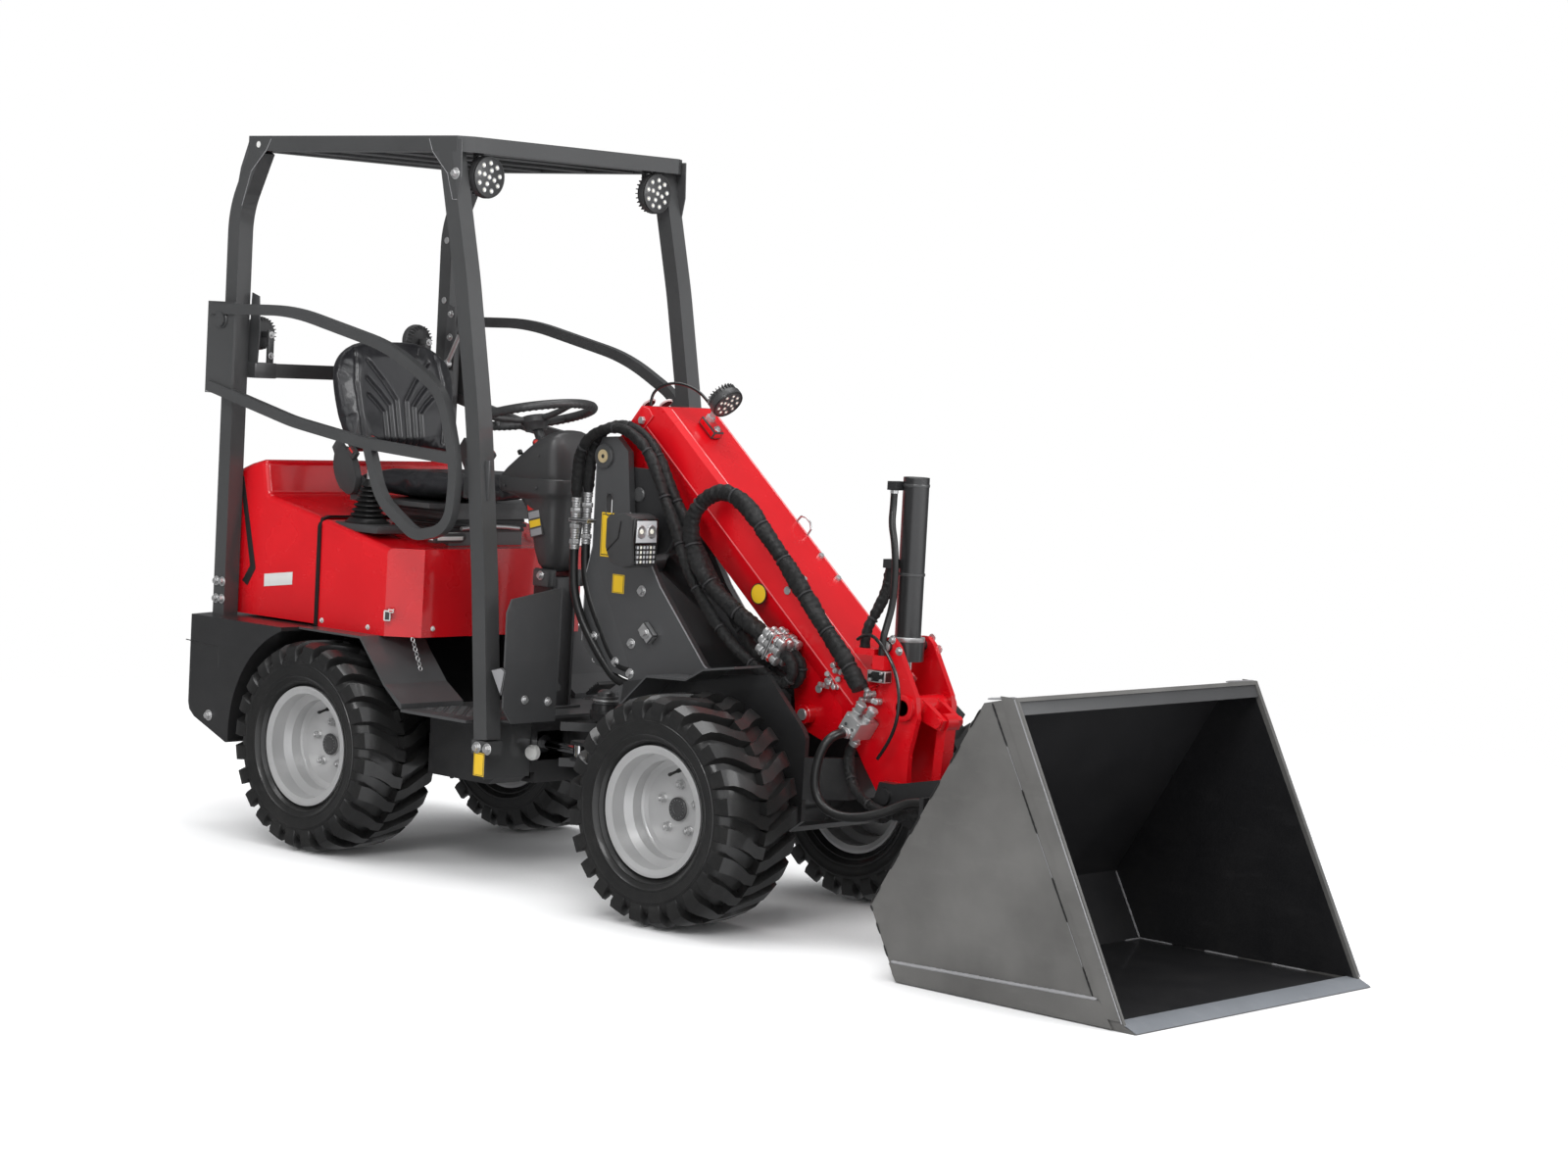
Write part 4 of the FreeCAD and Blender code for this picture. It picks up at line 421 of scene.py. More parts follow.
class Shade(Enum):
    """Every finish on the machine."""

    RED = Finish("red_gloss_paint", Coat.PAINT, (0.72, 0.0016, 0.008), 0.24, varnish=0.48, relief=0.1,
        scale=160.0, worn=(0.55, 0.006, 0.012), wear=0.05, dust=0.012)
    # painted highlight: a lighter, glossier red for the beads along the boom's edge folds
    EDGE = Finish("red_fold_highlight", Coat.PAINT, (0.85, 0.13, 0.14), 0.2, varnish=0.9, relief=0.1,
        scale=160.0, wear=0.03, dust=0.01)
    GRAPHITE = Finish("graphite_paint", Coat.PAINT, (0.07, 0.071, 0.073), 0.34, varnish=0.35, relief=0.2,
        scale=420.0, worn=(0.11, 0.11, 0.12), wear=0.1, dust=0.03)
    CHASSIS = Finish("chassis_paint", Coat.PAINT, (0.023, 0.023, 0.024), 0.32, varnish=0.4, relief=0.25,
        scale=420.0, worn=(0.06, 0.06, 0.06), wear=0.12, dust=0.04)
    # pale grey: the plain colour of some small parts, and thin lines along plate edges that are painted
    # highlights
    FOLD = Finish("grey_fold_highlight", Coat.PAINT, (0.3, 0.3, 0.31), 0.3, varnish=0.4, relief=0.15,
        scale=420.0, wear=0.1, dust=0.02)
    CAGE = Finish("cage_paint", Coat.PAINT, (0.06, 0.061, 0.062), 0.34, varnish=0.35, relief=0.25,
        scale=520.0, worn=(0.1, 0.1, 0.1), wear=0.08, dust=0.03)
    BUCKET = Finish("bucket_paint", Coat.PAINT, (0.175, 0.172, 0.165), 0.34, metallic=0.1, varnish=0.3,
        relief=0.2, scale=260.0, worn=(0.24, 0.235, 0.225), wear=0.16, dust=0.04, mottle=0.34)
    LIP = Finish("bucket_lip", Coat.PAINT, (0.3, 0.32, 0.35), 0.34, metallic=0.2, relief=0.25, scale=260.0,
        worn=(0.5, 0.5, 0.52), wear=0.2, dust=0.03)
    # painted shade: near-black for sheets laid inside the bucket, which darken its hollow
    INSIDE = Finish("bucket_inside", Coat.PAINT, (0.011, 0.011, 0.0125), 0.42, varnish=0.15, relief=0.25,
        scale=260.0, worn=(0.04, 0.04, 0.043), wear=0.16, dust=0.03)
    WELD = Finish("painted_weld", Coat.PAINT, (0.36, 0.36, 0.37), 0.35, relief=0.8, scale=900.0, wear=0.2,
        dust=0.03)
    RIM = Finish("rim_silver", Coat.PAINT, (0.56, 0.56, 0.56), 0.3, metallic=0.4, relief=0.15, scale=300.0,
        worn=(0.36, 0.35, 0.34), wear=0.12, dust=0.05)
    TYRE = Finish("tyre_rubber", Coat.RUBBER, (0.013, 0.013, 0.013), 0.33, varnish=0.26, relief=0.45,
        scale=420.0, worn=(0.035, 0.035, 0.035), wear=0.3, dust=0.04)
    PLASTIC = Finish("moulded_plastic", Coat.PLASTIC, (0.05, 0.05, 0.051), 0.36, varnish=0.2, relief=0.5,
        scale=1100.0, worn=(0.07, 0.07, 0.07), wear=0.12, dust=0.03)
    GLOSSY = Finish("glossy_black", Coat.PLASTIC, (0.012, 0.012, 0.012), 0.22, varnish=0.3, relief=0.05,
        wear=0.05, dust=0.02)
    SLEEVE = Finish("hose_sleeve", Coat.SLEEVE, (0.007, 0.007, 0.0072), 0.46, relief=1.4, scale=240.0,
        worn=(0.035, 0.035, 0.035), wear=0.25, dust=0.03)
    HOSE = Finish("hose_rubber", Coat.RUBBER, (0.012, 0.012, 0.012), 0.32, relief=0.3, scale=700.0,
        worn=(0.05, 0.05, 0.05), wear=0.1, dust=0.02)
    STRAP = Finish("strap_webbing", Coat.SLEEVE, (0.03, 0.03, 0.032), 0.6, relief=0.6, scale=500.0,
        wear=0.2, dust=0.1)
    VINYL = Finish("seat_vinyl", Coat.VINYL, (0.024, 0.024, 0.027), 0.27, varnish=0.4, relief=0.4,
        scale=850.0, worn=(0.045, 0.045, 0.047), wear=0.12, dust=0.01)
    STEEL = Finish("zinc_steel", Coat.METAL, (0.66, 0.66, 0.66), 0.3, metallic=0.72, relief=0.15,
        scale=900.0, worn=(0.4, 0.4, 0.4), wear=0.3, dust=0.1)
    BRASS = Finish("brass", Coat.METAL, (0.78, 0.62, 0.36), 0.32, metallic=0.5, relief=0.15, scale=900.0,
        worn=(0.45, 0.35, 0.2), wear=0.3, dust=0.1)
    CHROME = Finish("rod_chrome", Coat.METAL, (0.76, 0.76, 0.77), 0.08, metallic=1.0, relief=0.04,
        scale=700.0, worn=(0.6, 0.6, 0.6), wear=0.05, dust=0.03)
    YELLOW = Finish("yellow_label", Coat.PLASTIC, (0.86, 0.55, 0.02), 0.35, relief=0.05, wear=0.04,
        dust=0.04)
    PALE = Finish("white_label", Coat.PLASTIC, (0.75, 0.75, 0.73), 0.35, relief=0.05, wear=0.04, dust=0.04)
    STRIPE = Finish("black_stripe", Coat.PLASTIC, (0.02, 0.02, 0.02), 0.3, relief=0.03, wear=0.05,
        dust=0.05)
    DISH = Finish("lamp_dish", Coat.METAL, (0.5, 0.52, 0.56), 0.34, metallic=0.8, relief=0.3, scale=900.0,
        wear=0.1, dust=0.02)
    LENS = Finish("lamp_lens", Coat.PLASTIC, (0.86, 0.88, 0.9), 0.12, relief=0.1, wear=0.02, dust=0.02,
        varnish=0.5)
    LED = Finish("lamp_chip", Coat.PLASTIC, (0.95, 0.93, 0.8), 0.3, relief=0.05, wear=0.0, dust=0.0,
        glow=0.3)
    SIGNAL = Finish("red_plastic", Coat.PLASTIC, (0.6, 0.02, 0.015), 0.35, relief=0.1, wear=0.05, dust=0.05)


class Palette:
    """Makes each finish's material once, when it is first asked for."""

    def __init__(self) -> None:
        """Build the shared effects."""
        self.effects = Effects()
        self.made: dict[Shade, bpy.types.Material] = {}

    def get(self, shade: Shade) -> bpy.types.Material:
        """Give the material of a finish.

        Args:
            shade: the finish.

        Returns:
            Its material.
        """
        if shade not in self.made:
            self.made[shade] = shade.value.material(self.effects)
        return self.made[shade]


PALETTE = Palette()


def link(name: str, data: bpy.types.ID) -> bpy.types.Object:
    """Make an object from its data and put it in the scene.

    Args:
        name: its name.
        data: its data.

    Returns:
        The object.
    """
    piece = bpy.data.objects.new(name, data)
    bpy.context.scene.collection.objects.link(piece)
    return piece


def tilt(angle: float, axis: str = "Y") -> Matrix:
    """Give the rotation by an angle in radians about a row axis."""
    return Matrix.Rotation(angle, 3, axis)


def at(across: float, pairs: Iterable[Flat], start: float = 0, way: int = 1) -> list[Point]:
    """Stand pairs in an upright plane: x, counted from a start forward (1) or back (-1), and z."""
    return [(start + way * x, across, z) for x, z in pairs]


def angles(count: int) -> list[float]:
    """Give evenly spread angles round a circle."""
    return [TURN * k / count for k in range(count)]


def squared(value: float, power: float) -> float:
    """Press a sine or cosine outward, which turns a circle toward a square."""
    return copysign(abs(value) ** power, value)


def dress(node: str, shade: Shade) -> None:
    """Give a carried-over CAD node its finish.

    Args:
        node: the node's name.
        shade: its finish.
    """
    piece = frame["nodes"][node]
    for place in piece.material_slots:
        place.material = PALETTE.get(shade)
    if not piece.material_slots:
        piece.data.materials.append(PALETTE.get(shade))


# ---- mesh work


class Shaper:
    """One mesh under construction, whose parts may have different finishes."""

    def __init__(self, name: str) -> None:
        """Start an empty mesh.

        Args:
            name: the piece's name.
        """
        self.name = name
        self.mesh = bmesh.new()
        self.shades: list[Shade] = []

    def slot_of(self, shade: Shade) -> int:
        """Give the material index of a finish, adding it if it is new.

        Args:
            shade: the finish.

        Returns:
            The index.
        """
        if shade not in self.shades:
            self.shades.append(shade)
        return self.shades.index(shade)

    def faces(self, points: Iterable[Sequence[float]], loops: Iterable[Sequence[int]], shade: Shade,
            smooth: bool = True) -> list[bmesh.types.BMFace]:
        """Add points and the faces on them.

        Args:
            points: the corner points.
            loops: each face's corners, as places in points.
            shade: the faces' finish.
            smooth: whether they shade smoothly.

        Returns:
            The new faces.
        """
        corners = [self.mesh.verts.new(point) for point in points]
        made = []
        for loop in loops:
            if len(set(loop)) > 2:
                face = self.mesh.faces.new([corners[place] for place in loop])
                face.material_index = self.slot_of(shade)
                face.smooth = smooth
                made.append(face)
        return made

    def rings(self, rings: Sequence[Sequence[Sequence[float]]], shade: Shade, closed: bool = False,
            caps: bool = True, smooth: bool = True) -> None:
        """Join rings of points into a skin.

        Args:
            rings: rings with the same number of points.
            shade: the finish.
            closed: whether the last ring meets the first.
            caps: whether the end rings are filled.
            smooth: whether it shades smoothly.
        """
        count = len(rings[0])
        points = [point for ring in rings for point in ring]
        loops: list[Sequence[int]] = []
        steps = len(rings) if closed else len(rings) - 1
        for step in range(steps):
            low, high = step * count, (step + 1) % len(rings) * count
            around = [(k, (k + 1) % count) for k in range(count)]
            loops += [(low + k, low + after, high + after, high + k) for k, after in around]
        if caps and not closed:
            loops += [tuple(range(count))[::-1], tuple(range((len(rings) - 1) * count, len(rings) * count))]
        self.faces(points, loops, shade, smooth)

    def lathe(self, profile: Sequence[Flat], centre: Point, axis: Point, shade: Shade, sides: int = 32,
            closed: bool = False, smooth: bool = True) -> None:
        """Turn a profile round an axis.

        Args:
            profile: pairs of radius and place along the axis.
            centre: the point where the place is 0.
            axis: the axis' direction.
            shade: the finish.
            sides: how many facets go round.
            closed: whether the profile is a closed loop, as for a ring.
            smooth: whether it shades smoothly.
        """
        turn = Vector(axis).normalized().to_track_quat("Z", "Y").to_matrix()
        rings = [[Vector(centre) + turn @ Vector((radius * cos(angle), radius * sin(angle), along))
            for angle in angles(sides)] for radius, along in profile]
        self.rings(rings, shade, closed=closed, smooth=smooth)

    def disc(self, centre: Point, axis: Point, radius: float, height: float, shade: Shade,
            edge: float = 0.001, sides: int = 32) -> None:
        """Add a round disc with softened edges, standing on its centre along its axis.

        Args:
            centre: the middle of its foot.
            axis: the way that it points.
            radius: its radius.
            height: its height.
            shade: the finish.
            edge: the width of its soft edge.
            sides: how many facets go round.
        """
        edge = min(edge, radius / 3, height / 3)
        self.lathe([(radius - edge, 0), (radius, edge), (radius, height - edge), (radius - edge, height)],
            centre, axis, shade, sides)

    def box(self, centre: Point, size: Point, shade: Shade, turn: Matrix | None = None,
            edge: float = 0.002) -> None:
        """Add a box with bevelled edges.

        Args:
            centre: its middle.
            size: its three sizes.
            shade: the finish.
            turn: a rotation of it.
            edge: the bevel's width.
        """
        edge = min(edge, *(part / 3 for part in size))
        matrix = (turn or Matrix.Identity(3)).to_3x3()
        corners = [Vector((x, y, z)) for x in (-1, 1) for y in (-1, 1) for z in (-1, 1)]
        points = [Vector(centre) + matrix @ Vector([corner[k] * size[k] / 2 for k in range(3)])
            for corner in corners]
        loops = [(0, 1, 3, 2), (4, 6, 7, 5), (0, 4, 5, 1), (2, 3, 7, 6), (0, 2, 6, 4), (1, 5, 7, 3)]
        self.soften(self.faces(points, loops, shade, smooth=False), edge)

    def prism(self, outline: Sequence[Point], push: Point, shade: Shade, edge: float = 0.001) -> None:
        """Push a flat outline into a solid plate.

        Args:
            outline: its corner points, in order.
            push: the way and distance that it is pushed.
            shade: the finish.
            edge: the bevel's width.
        """
        count = len(outline)
        points = [Vector(point) for point in outline] + [Vector(point) + Vector(push) for point in outline]
        loops = [tuple(range(count))[::-1], tuple(range(count, 2 * count))]
        loops += [(k, (k + 1) % count, count + (k + 1) % count, count + k) for k in range(count)]
        self.soften(self.faces(points, loops, shade, smooth=False), edge)

    def soften(self, faces: Sequence[bmesh.types.BMFace], width: float, segments: int = 2) -> None:
        """Bevel the edges of some faces.

        Args:
            faces: the faces.
            width: the bevel's width.
            segments: how many steps the bevel has.
        """
        if width > 0:
            edges = list({edge for face in faces for edge in face.edges})
            bmesh.ops.bevel(self.mesh, geom=edges, offset=width, segments=segments, profile=0.6,
                affect="EDGES", clamp_overlap=True)

    def tube(self, points: Sequence[Sequence[float]], radius: float, shade: Shade, sides: int = 12) -> None:
        """Add a tube along a line of points."""
        self.rings(tube_rings(points, lambda _: radius, sides), shade)

    def bolt(self, centre: Point, axis: Point, across: float = 0.013, shade: Shade = Shade.STEEL,
            washer: bool = True) -> None:
        """Add a hexagon bolt head on its washer.

        Args:
            centre: the point on the surface under it.
            axis: the way that it points.
            across: its size across the flats.
            shade: the finish.
            washer: whether it has a washer.
        """
        lift = 0.0
        if washer:
            self.disc(centre, axis, across * 0.92, across * 0.14, shade, sides=20)
            lift = across * 0.13
        turn = Vector(axis).normalized()
        foot = Vector(centre) + turn * lift
        radius = across / sqrt(3)
        height = across * 0.6
        self.lathe([(radius, 0), (radius, height * 0.8), (radius * 0.86, height)], foot, axis, shade, 6,
            smooth=False)

    def done(self, body: str | None, slot: str, replaces: Sequence[str] = (),
            sharp: float = 35.0) -> bpy.types.Object:
        """Finish the mesh as a piece.

        Args:
            body: the CAD body it rides on, or None to leave it on no body.
            slot: the record's material slot; it is not used.
            replaces: the CAD nodes that it stands for.
            sharp: the angle in degrees above which an edge stays sharp.

        Returns:
            The piece.
        """
        bmesh.ops.recalc_face_normals(self.mesh, faces=self.mesh.faces)
        data = bpy.data.meshes.new(self.name)
        self.mesh.to_mesh(data)
        self.mesh.free()
        for shade in self.shades:
            data.materials.append(PALETTE.get(shade))
        data.set_sharp_from_angle(angle=radians(sharp))
        piece = link(self.name, data)
        if body:
            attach(piece, body)
        if replaces:
            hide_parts(*replaces)
        LOG.info("%s: %d faces on %s", self.name, len(data.polygons), body)
        return piece


def tube_rings(points: Sequence[Sequence[float]], radius: Callable[[float], float], sides: int,
        wave: Callable[[float, float], float] | None = None) -> list[list[Vector]]:
    """Make the rings of a tube along a line of points, without twist.

    Args:
        points: the line.
        radius: the tube's radius at a share of the line's length.
        sides: how many facets go round.
        wave: a factor of the radius at a length in metres and an angle.

    Returns:
        One ring of points for each point of the line.
    """
    line = [Vector(point) for point in points]
    lengths = [0.0]
    for first, second in zip(line, line[1:]):
        lengths.append(lengths[-1] + (second - first).length)
    ahead = (line[1] - line[0]).normalized()
    side = ahead.orthogonal().normalized()
    rings = []
    for place, point in enumerate(line):
        way = (line[min(place + 1, len(line) - 1)] - line[max(place - 1, 0)]).normalized()
        side = (side - way * side.dot(way)).normalized()
        third = way.cross(side)
        ring = []
        for angle in angles(sides):
            size = radius(lengths[place] / lengths[-1])
            if wave:
                size *= wave(lengths[place], angle)
            ring.append(point + (side * cos(angle) + third * sin(angle)) * size)
        rings.append(ring)
    return rings


# ---- studio


@dataclass
class Studio:
    """The camera, the lamps, the pale floor and the white surroundings."""

    eye: Point = (5.8622, -6.3602, 1.4776)
    yaw: float = 41.857
    pitch: float = 4.294
    roll: float = 3.074
    lens: float = 75.906
    floor_half: float = 40.0

    def camera(self) -> None:
        """Place the camera."""
        yaw, pitch, roll = (radians(angle) for angle in (self.yaw, self.pitch, self.roll))
        back = Vector((sin(yaw) * cos(pitch), -cos(yaw) * cos(pitch), sin(pitch)))
        level = Vector(UP).cross(back).normalized()
        upright = back.cross(level)
        across = level * cos(roll) + upright * sin(roll)
        up = upright * cos(roll) - level * sin(roll)
        data = bpy.data.cameras.new("camera")
        data.lens = self.lens
        data.sensor_width = 36.0
        data.clip_end = 200.0
        camera = link("camera", data)
        camera.matrix_world = Matrix.Translation(self.eye) @ Matrix((across, up, back)).transposed().to_4x4()
        bpy.context.scene.camera = camera

    def lamp(self, name: str, place: Point, aim: Point, size: Flat, power: float) -> None:
        """Add a soft lamp.

        Args:
            name: its name.
            place: where it stands.
            aim: the point it faces.
            size: the width and height of its panel.
            power: its power in watts.
        """
        data = bpy.data.lights.new(name, "AREA")
        data.shape = "RECTANGLE"
        data.size, data.size_y = size
        data.energy = power
        lamp = link(name, data)
        lamp.location = place
        lamp.rotation_euler = (Vector(aim) - Vector(place)).to_track_quat("-Z", "Y").to_euler()
        lamp.visible_glossy = name != "side_lamp"

    def surroundings(self) -> None:
        """Make the world soft grey for light and white for the eye, glass and gloss."""
        world = bpy.data.worlds.new("studio")
        bpy.context.scene.world = world
        nodes = Nodes.fresh(world)
        path = nodes.add("ShaderNodeLightPath")
        seen = nodes.maths("MAXIMUM", path.outputs["Is Camera Ray"], path.outputs["Is Transmission Ray"])
        way = nodes.add("ShaderNodeTexCoord")
        parts = nodes.add("ShaderNodeSeparateXYZ")
        nodes.join(way.outputs["Generated"], parts.inputs[0])
        panel = nodes.maths("MAXIMUM", nodes.ramp(parts.outputs[2], 0.82, 0.98),
            nodes.ramp(parts.outputs[0], 0.45, 0.8))
        facing = nodes.add("ShaderNodeVectorMath", operation="DOT_PRODUCT")
        nodes.feed(facing, {0: way.outputs["Generated"], 1: (0.66, -0.75, 0)})
        panel = nodes.maths("MAXIMUM", panel, nodes.ramp(facing.outputs["Value"], 0.86, 0.95))
        mirror = nodes.plus(nodes.times(panel, 1.1), 0.16)
        fill = nodes.times(nodes.maths("SUBTRACT", 1.0, path.outputs["Is Glossy Ray"]), 0.6)
        gloss = nodes.times(path.outputs["Is Glossy Ray"], mirror)
        light = nodes.add("ShaderNodeBackground")
        nodes.feed(light, {"Color": (0.97, 0.98, 1.0, 1.0), "Strength": nodes.plus(fill, gloss)})
        white = nodes.add("ShaderNodeBackground")
        nodes.feed(white, {"Color": (1.0, 1.0, 1.0, 1.0), "Strength": 1.0})
        both = nodes.add("ShaderNodeMixShader")
        nodes.feed(both, {0: seen, 1: light.outputs[0], 2: white.outputs[0]})
        nodes.feed(nodes.add("ShaderNodeOutputWorld"), {"Surface": both.outputs[0]})

    def floor(self) -> None:
        """Lay the floor: it takes the machine's shadow, gets a painted contact shadow near the machine, and
        is white to the eye elsewhere.
        """
        mesh = bmesh.new()
        half = self.floor_half
        mesh.faces.new([mesh.verts.new((x, y, -0.0015)) for x, y in ((-half, -half), (half, -half),
            (half, half), (-half, half))])
        data = bpy.data.meshes.new("floor")
        mesh.to_mesh(data)
        mesh.free()
        material = bpy.data.materials.new("studio_floor")
        nodes = Nodes.fresh(material)
        path = nodes.add("ShaderNodeLightPath")
        shader = nodes.add("ShaderNodeBsdfPrincipled")
        shade = nodes.mix(noise(nodes, 3.0), (0.86, 0.86, 0.86), (0.88, 0.88, 0.88))
        seen = nodes.maths("MAXIMUM", path.outputs["Is Camera Ray"], path.outputs["Is Transmission Ray"])
        # painted shadow: ambient occlusion dims the floor's glow to the eye near the machine
        near = nodes.feed(nodes.add("ShaderNodeAmbientOcclusion", samples=6), {"Distance": 0.9})
        painted_shadow_factor = nodes.maths("POWER", near.outputs["AO"], 1.8)
        nodes.feed(shader, {"Base Color": shade, "Roughness": 0.9, "Specular IOR Level": 0,
            "Emission Color": (1.0, 1.0, 1.0, 1.0), "Emission Strength": nodes.times(seen,
            nodes.times(painted_shadow_factor, 0.45))})
        radius = nodes.add("ShaderNodeVectorMath", operation="LENGTH")
        nodes.join(nodes.where(), radius.inputs[0])
        far = nodes.times(seen, nodes.ramp(nodes.times(radius.outputs["Value"], 0.1), 0.24, 0.5))
        white = nodes.add("ShaderNodeEmission")
        both = nodes.add("ShaderNodeMixShader")
        nodes.feed(both, {0: far, 1: shader.outputs[0], 2: white.outputs[0]})
        nodes.feed(nodes.add("ShaderNodeOutputMaterial"), {"Surface": both.outputs[0]})
        data.materials.append(material)
        floor = link("floor", data)
        floor.visible_glossy = False

    def build(self) -> None:
        """Set up the whole studio."""
        self.camera()
        self.surroundings()
        self.floor()
        self.lamp("key_lamp", (3.5, -5.5, 5.5), (0.2, 0, 0.7), (3.5, 2.5), 190)
        self.lamp("front_lamp", (6.5, 1.5, 3.2), (0.6, 0, 0.7), (3.0, 2.5), 110)
        self.lamp("side_lamp", (-3.5, -5.0, 2.6), (-0.6, 0, 0.8), (2.5, 3.0), 90)
        self.lamp("top_lamp", (-0.3, 0.3, 5.5), (-0.1, 0, 0.5), (4.5, 3.5), 150)
        bpy.context.scene.view_settings.view_transform = "Standard"
        LOG.info("studio ready")


# ---- hoses


class Cover(Enum):
    """What a hose wears outside."""

    SLEEVE = "sleeve"
    RUBBER = "rubber"
    CABLE = "cable"


@dataclass
class Hose:
    """One hose or cable along its route."""

    node: str
    radius: float
    cover: Cover
    route: list[Point]
    length: float
    body: str
    other: str | None = None
    bend_from: Point = (0.0, 0.0, 0.0)
    bend_to: Point = (1.0, 0.0, 0.0)
    strap_gap: float = 0.135
    facets: int = 16

    def __post_init__(self) -> None:
        """Take the route, which is written in millimetres, to metres."""
        self.route = [tuple(round(value / 1000, 4) for value in place) for place in self.route]

    def line(self) -> list[Vector]:
        """Read the smooth line of the route.

        Returns:
            Points along the line.
        """
        curve = bpy.data.curves.new(self.node + "_route", "CURVE")
        curve.dimensions = "3D"
        curve.resolution_u = 24 if self.cover is Cover.SLEEVE else 12
        spline = curve.splines.new("NURBS")
        spline.points.add(len(self.route) - 1)
        for point, place in zip(spline.points, self.route):
            point.co = (*place, 1.0)
        spline.order_u = 3
        spline.use_endpoint_u = True
        holder = link(self.node + "_route", curve)
        bpy.context.view_layer.update()
        mesh = bpy.data.meshes.new_from_object(holder)
        points = [vertex.co.copy() for vertex in mesh.vertices]
        bpy.data.objects.remove(holder)
        bpy.data.meshes.remove(mesh)
        bpy.data.curves.remove(curve)
        return points

    def swell(self, length: float, angle: float) -> float:
        """Give the sleeve's shape: full between its straps, gathered at them, creased all over.

        Args:
            length: how far along the hose.
            angle: the angle round it.

        Returns:
            The factor of the radius.
        """
        share = (length / self.strap_gap) % 1.0
        pinch = exp(-((min(share, 1 - share) / 0.07) ** 2))
        crease = sin(length * 330 + 2.4 * sin(angle + length * 31)) * sin(length * 67 + angle)
        fold = sin(angle * 2 + length * 25) * 0.085 + sin(angle * 3 - length * 41) * 0.04
        return 0.98 - 0.19 * pinch + 0.075 * crease + fold * (1 - pinch)

    def build(self) -> bpy.types.Object:
        """Make the hose as a mesh tube, with its straps.

        Returns:
            The piece.
        """
        path = self.line()
        work = Shaper(self.node.replace("hose", "sleeve") + "_run")
        shade = {Cover.SLEEVE: Shade.SLEEVE, Cover.RUBBER: Shade.HOSE, Cover.CABLE: Shade.GLOSSY}[self.cover]
        wave = self.swell if self.cover is Cover.SLEEVE else None
        rings = tube_rings(path, lambda _: self.radius, self.facets, wave)
        work.rings(rings, shade)
        if self.cover is Cover.SLEEVE:
            self.straps(work, path)
        piece = work.done(None if self.other else self.body, "hose_sleeve", [self.node], sharp=60)
        if self.other:
            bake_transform(piece)
        return piece

    def straps(self, work: Shaper, path: Sequence[Vector]) -> None:
        """Add the narrow ties that gather the sleeve.

        Args:
            work: the mesh to add to.
            path: the hose's line.
        """
        done, level = 0, self.strap_gap
        for place, (first, second) in enumerate(zip(path, path[1:])):
            done += (second - first).length
            if done >= level and place < len(path) - 3:
                level += self.strap_gap
                way = (second - first).normalized()
                size = self.radius * 0.9
                work.lathe([(size, -0.003), (size + 0.0018, -0.002), (size + 0.0018, 0.002), (size, 0.003)],
                    second, way, Shade.STRAP, 20)


TOWER_BEND = ((-0.42, -0.15, 1.2), (-0.1, -0.15, 1.2))
SLIDE_BEND = ((0.0403, -0.12, 1.2913), (0.2756, -0.12, 1.3756))
TILT_BEND = ((0.55, -0.15, 0.36), (0.77, -0.15, 0.36))


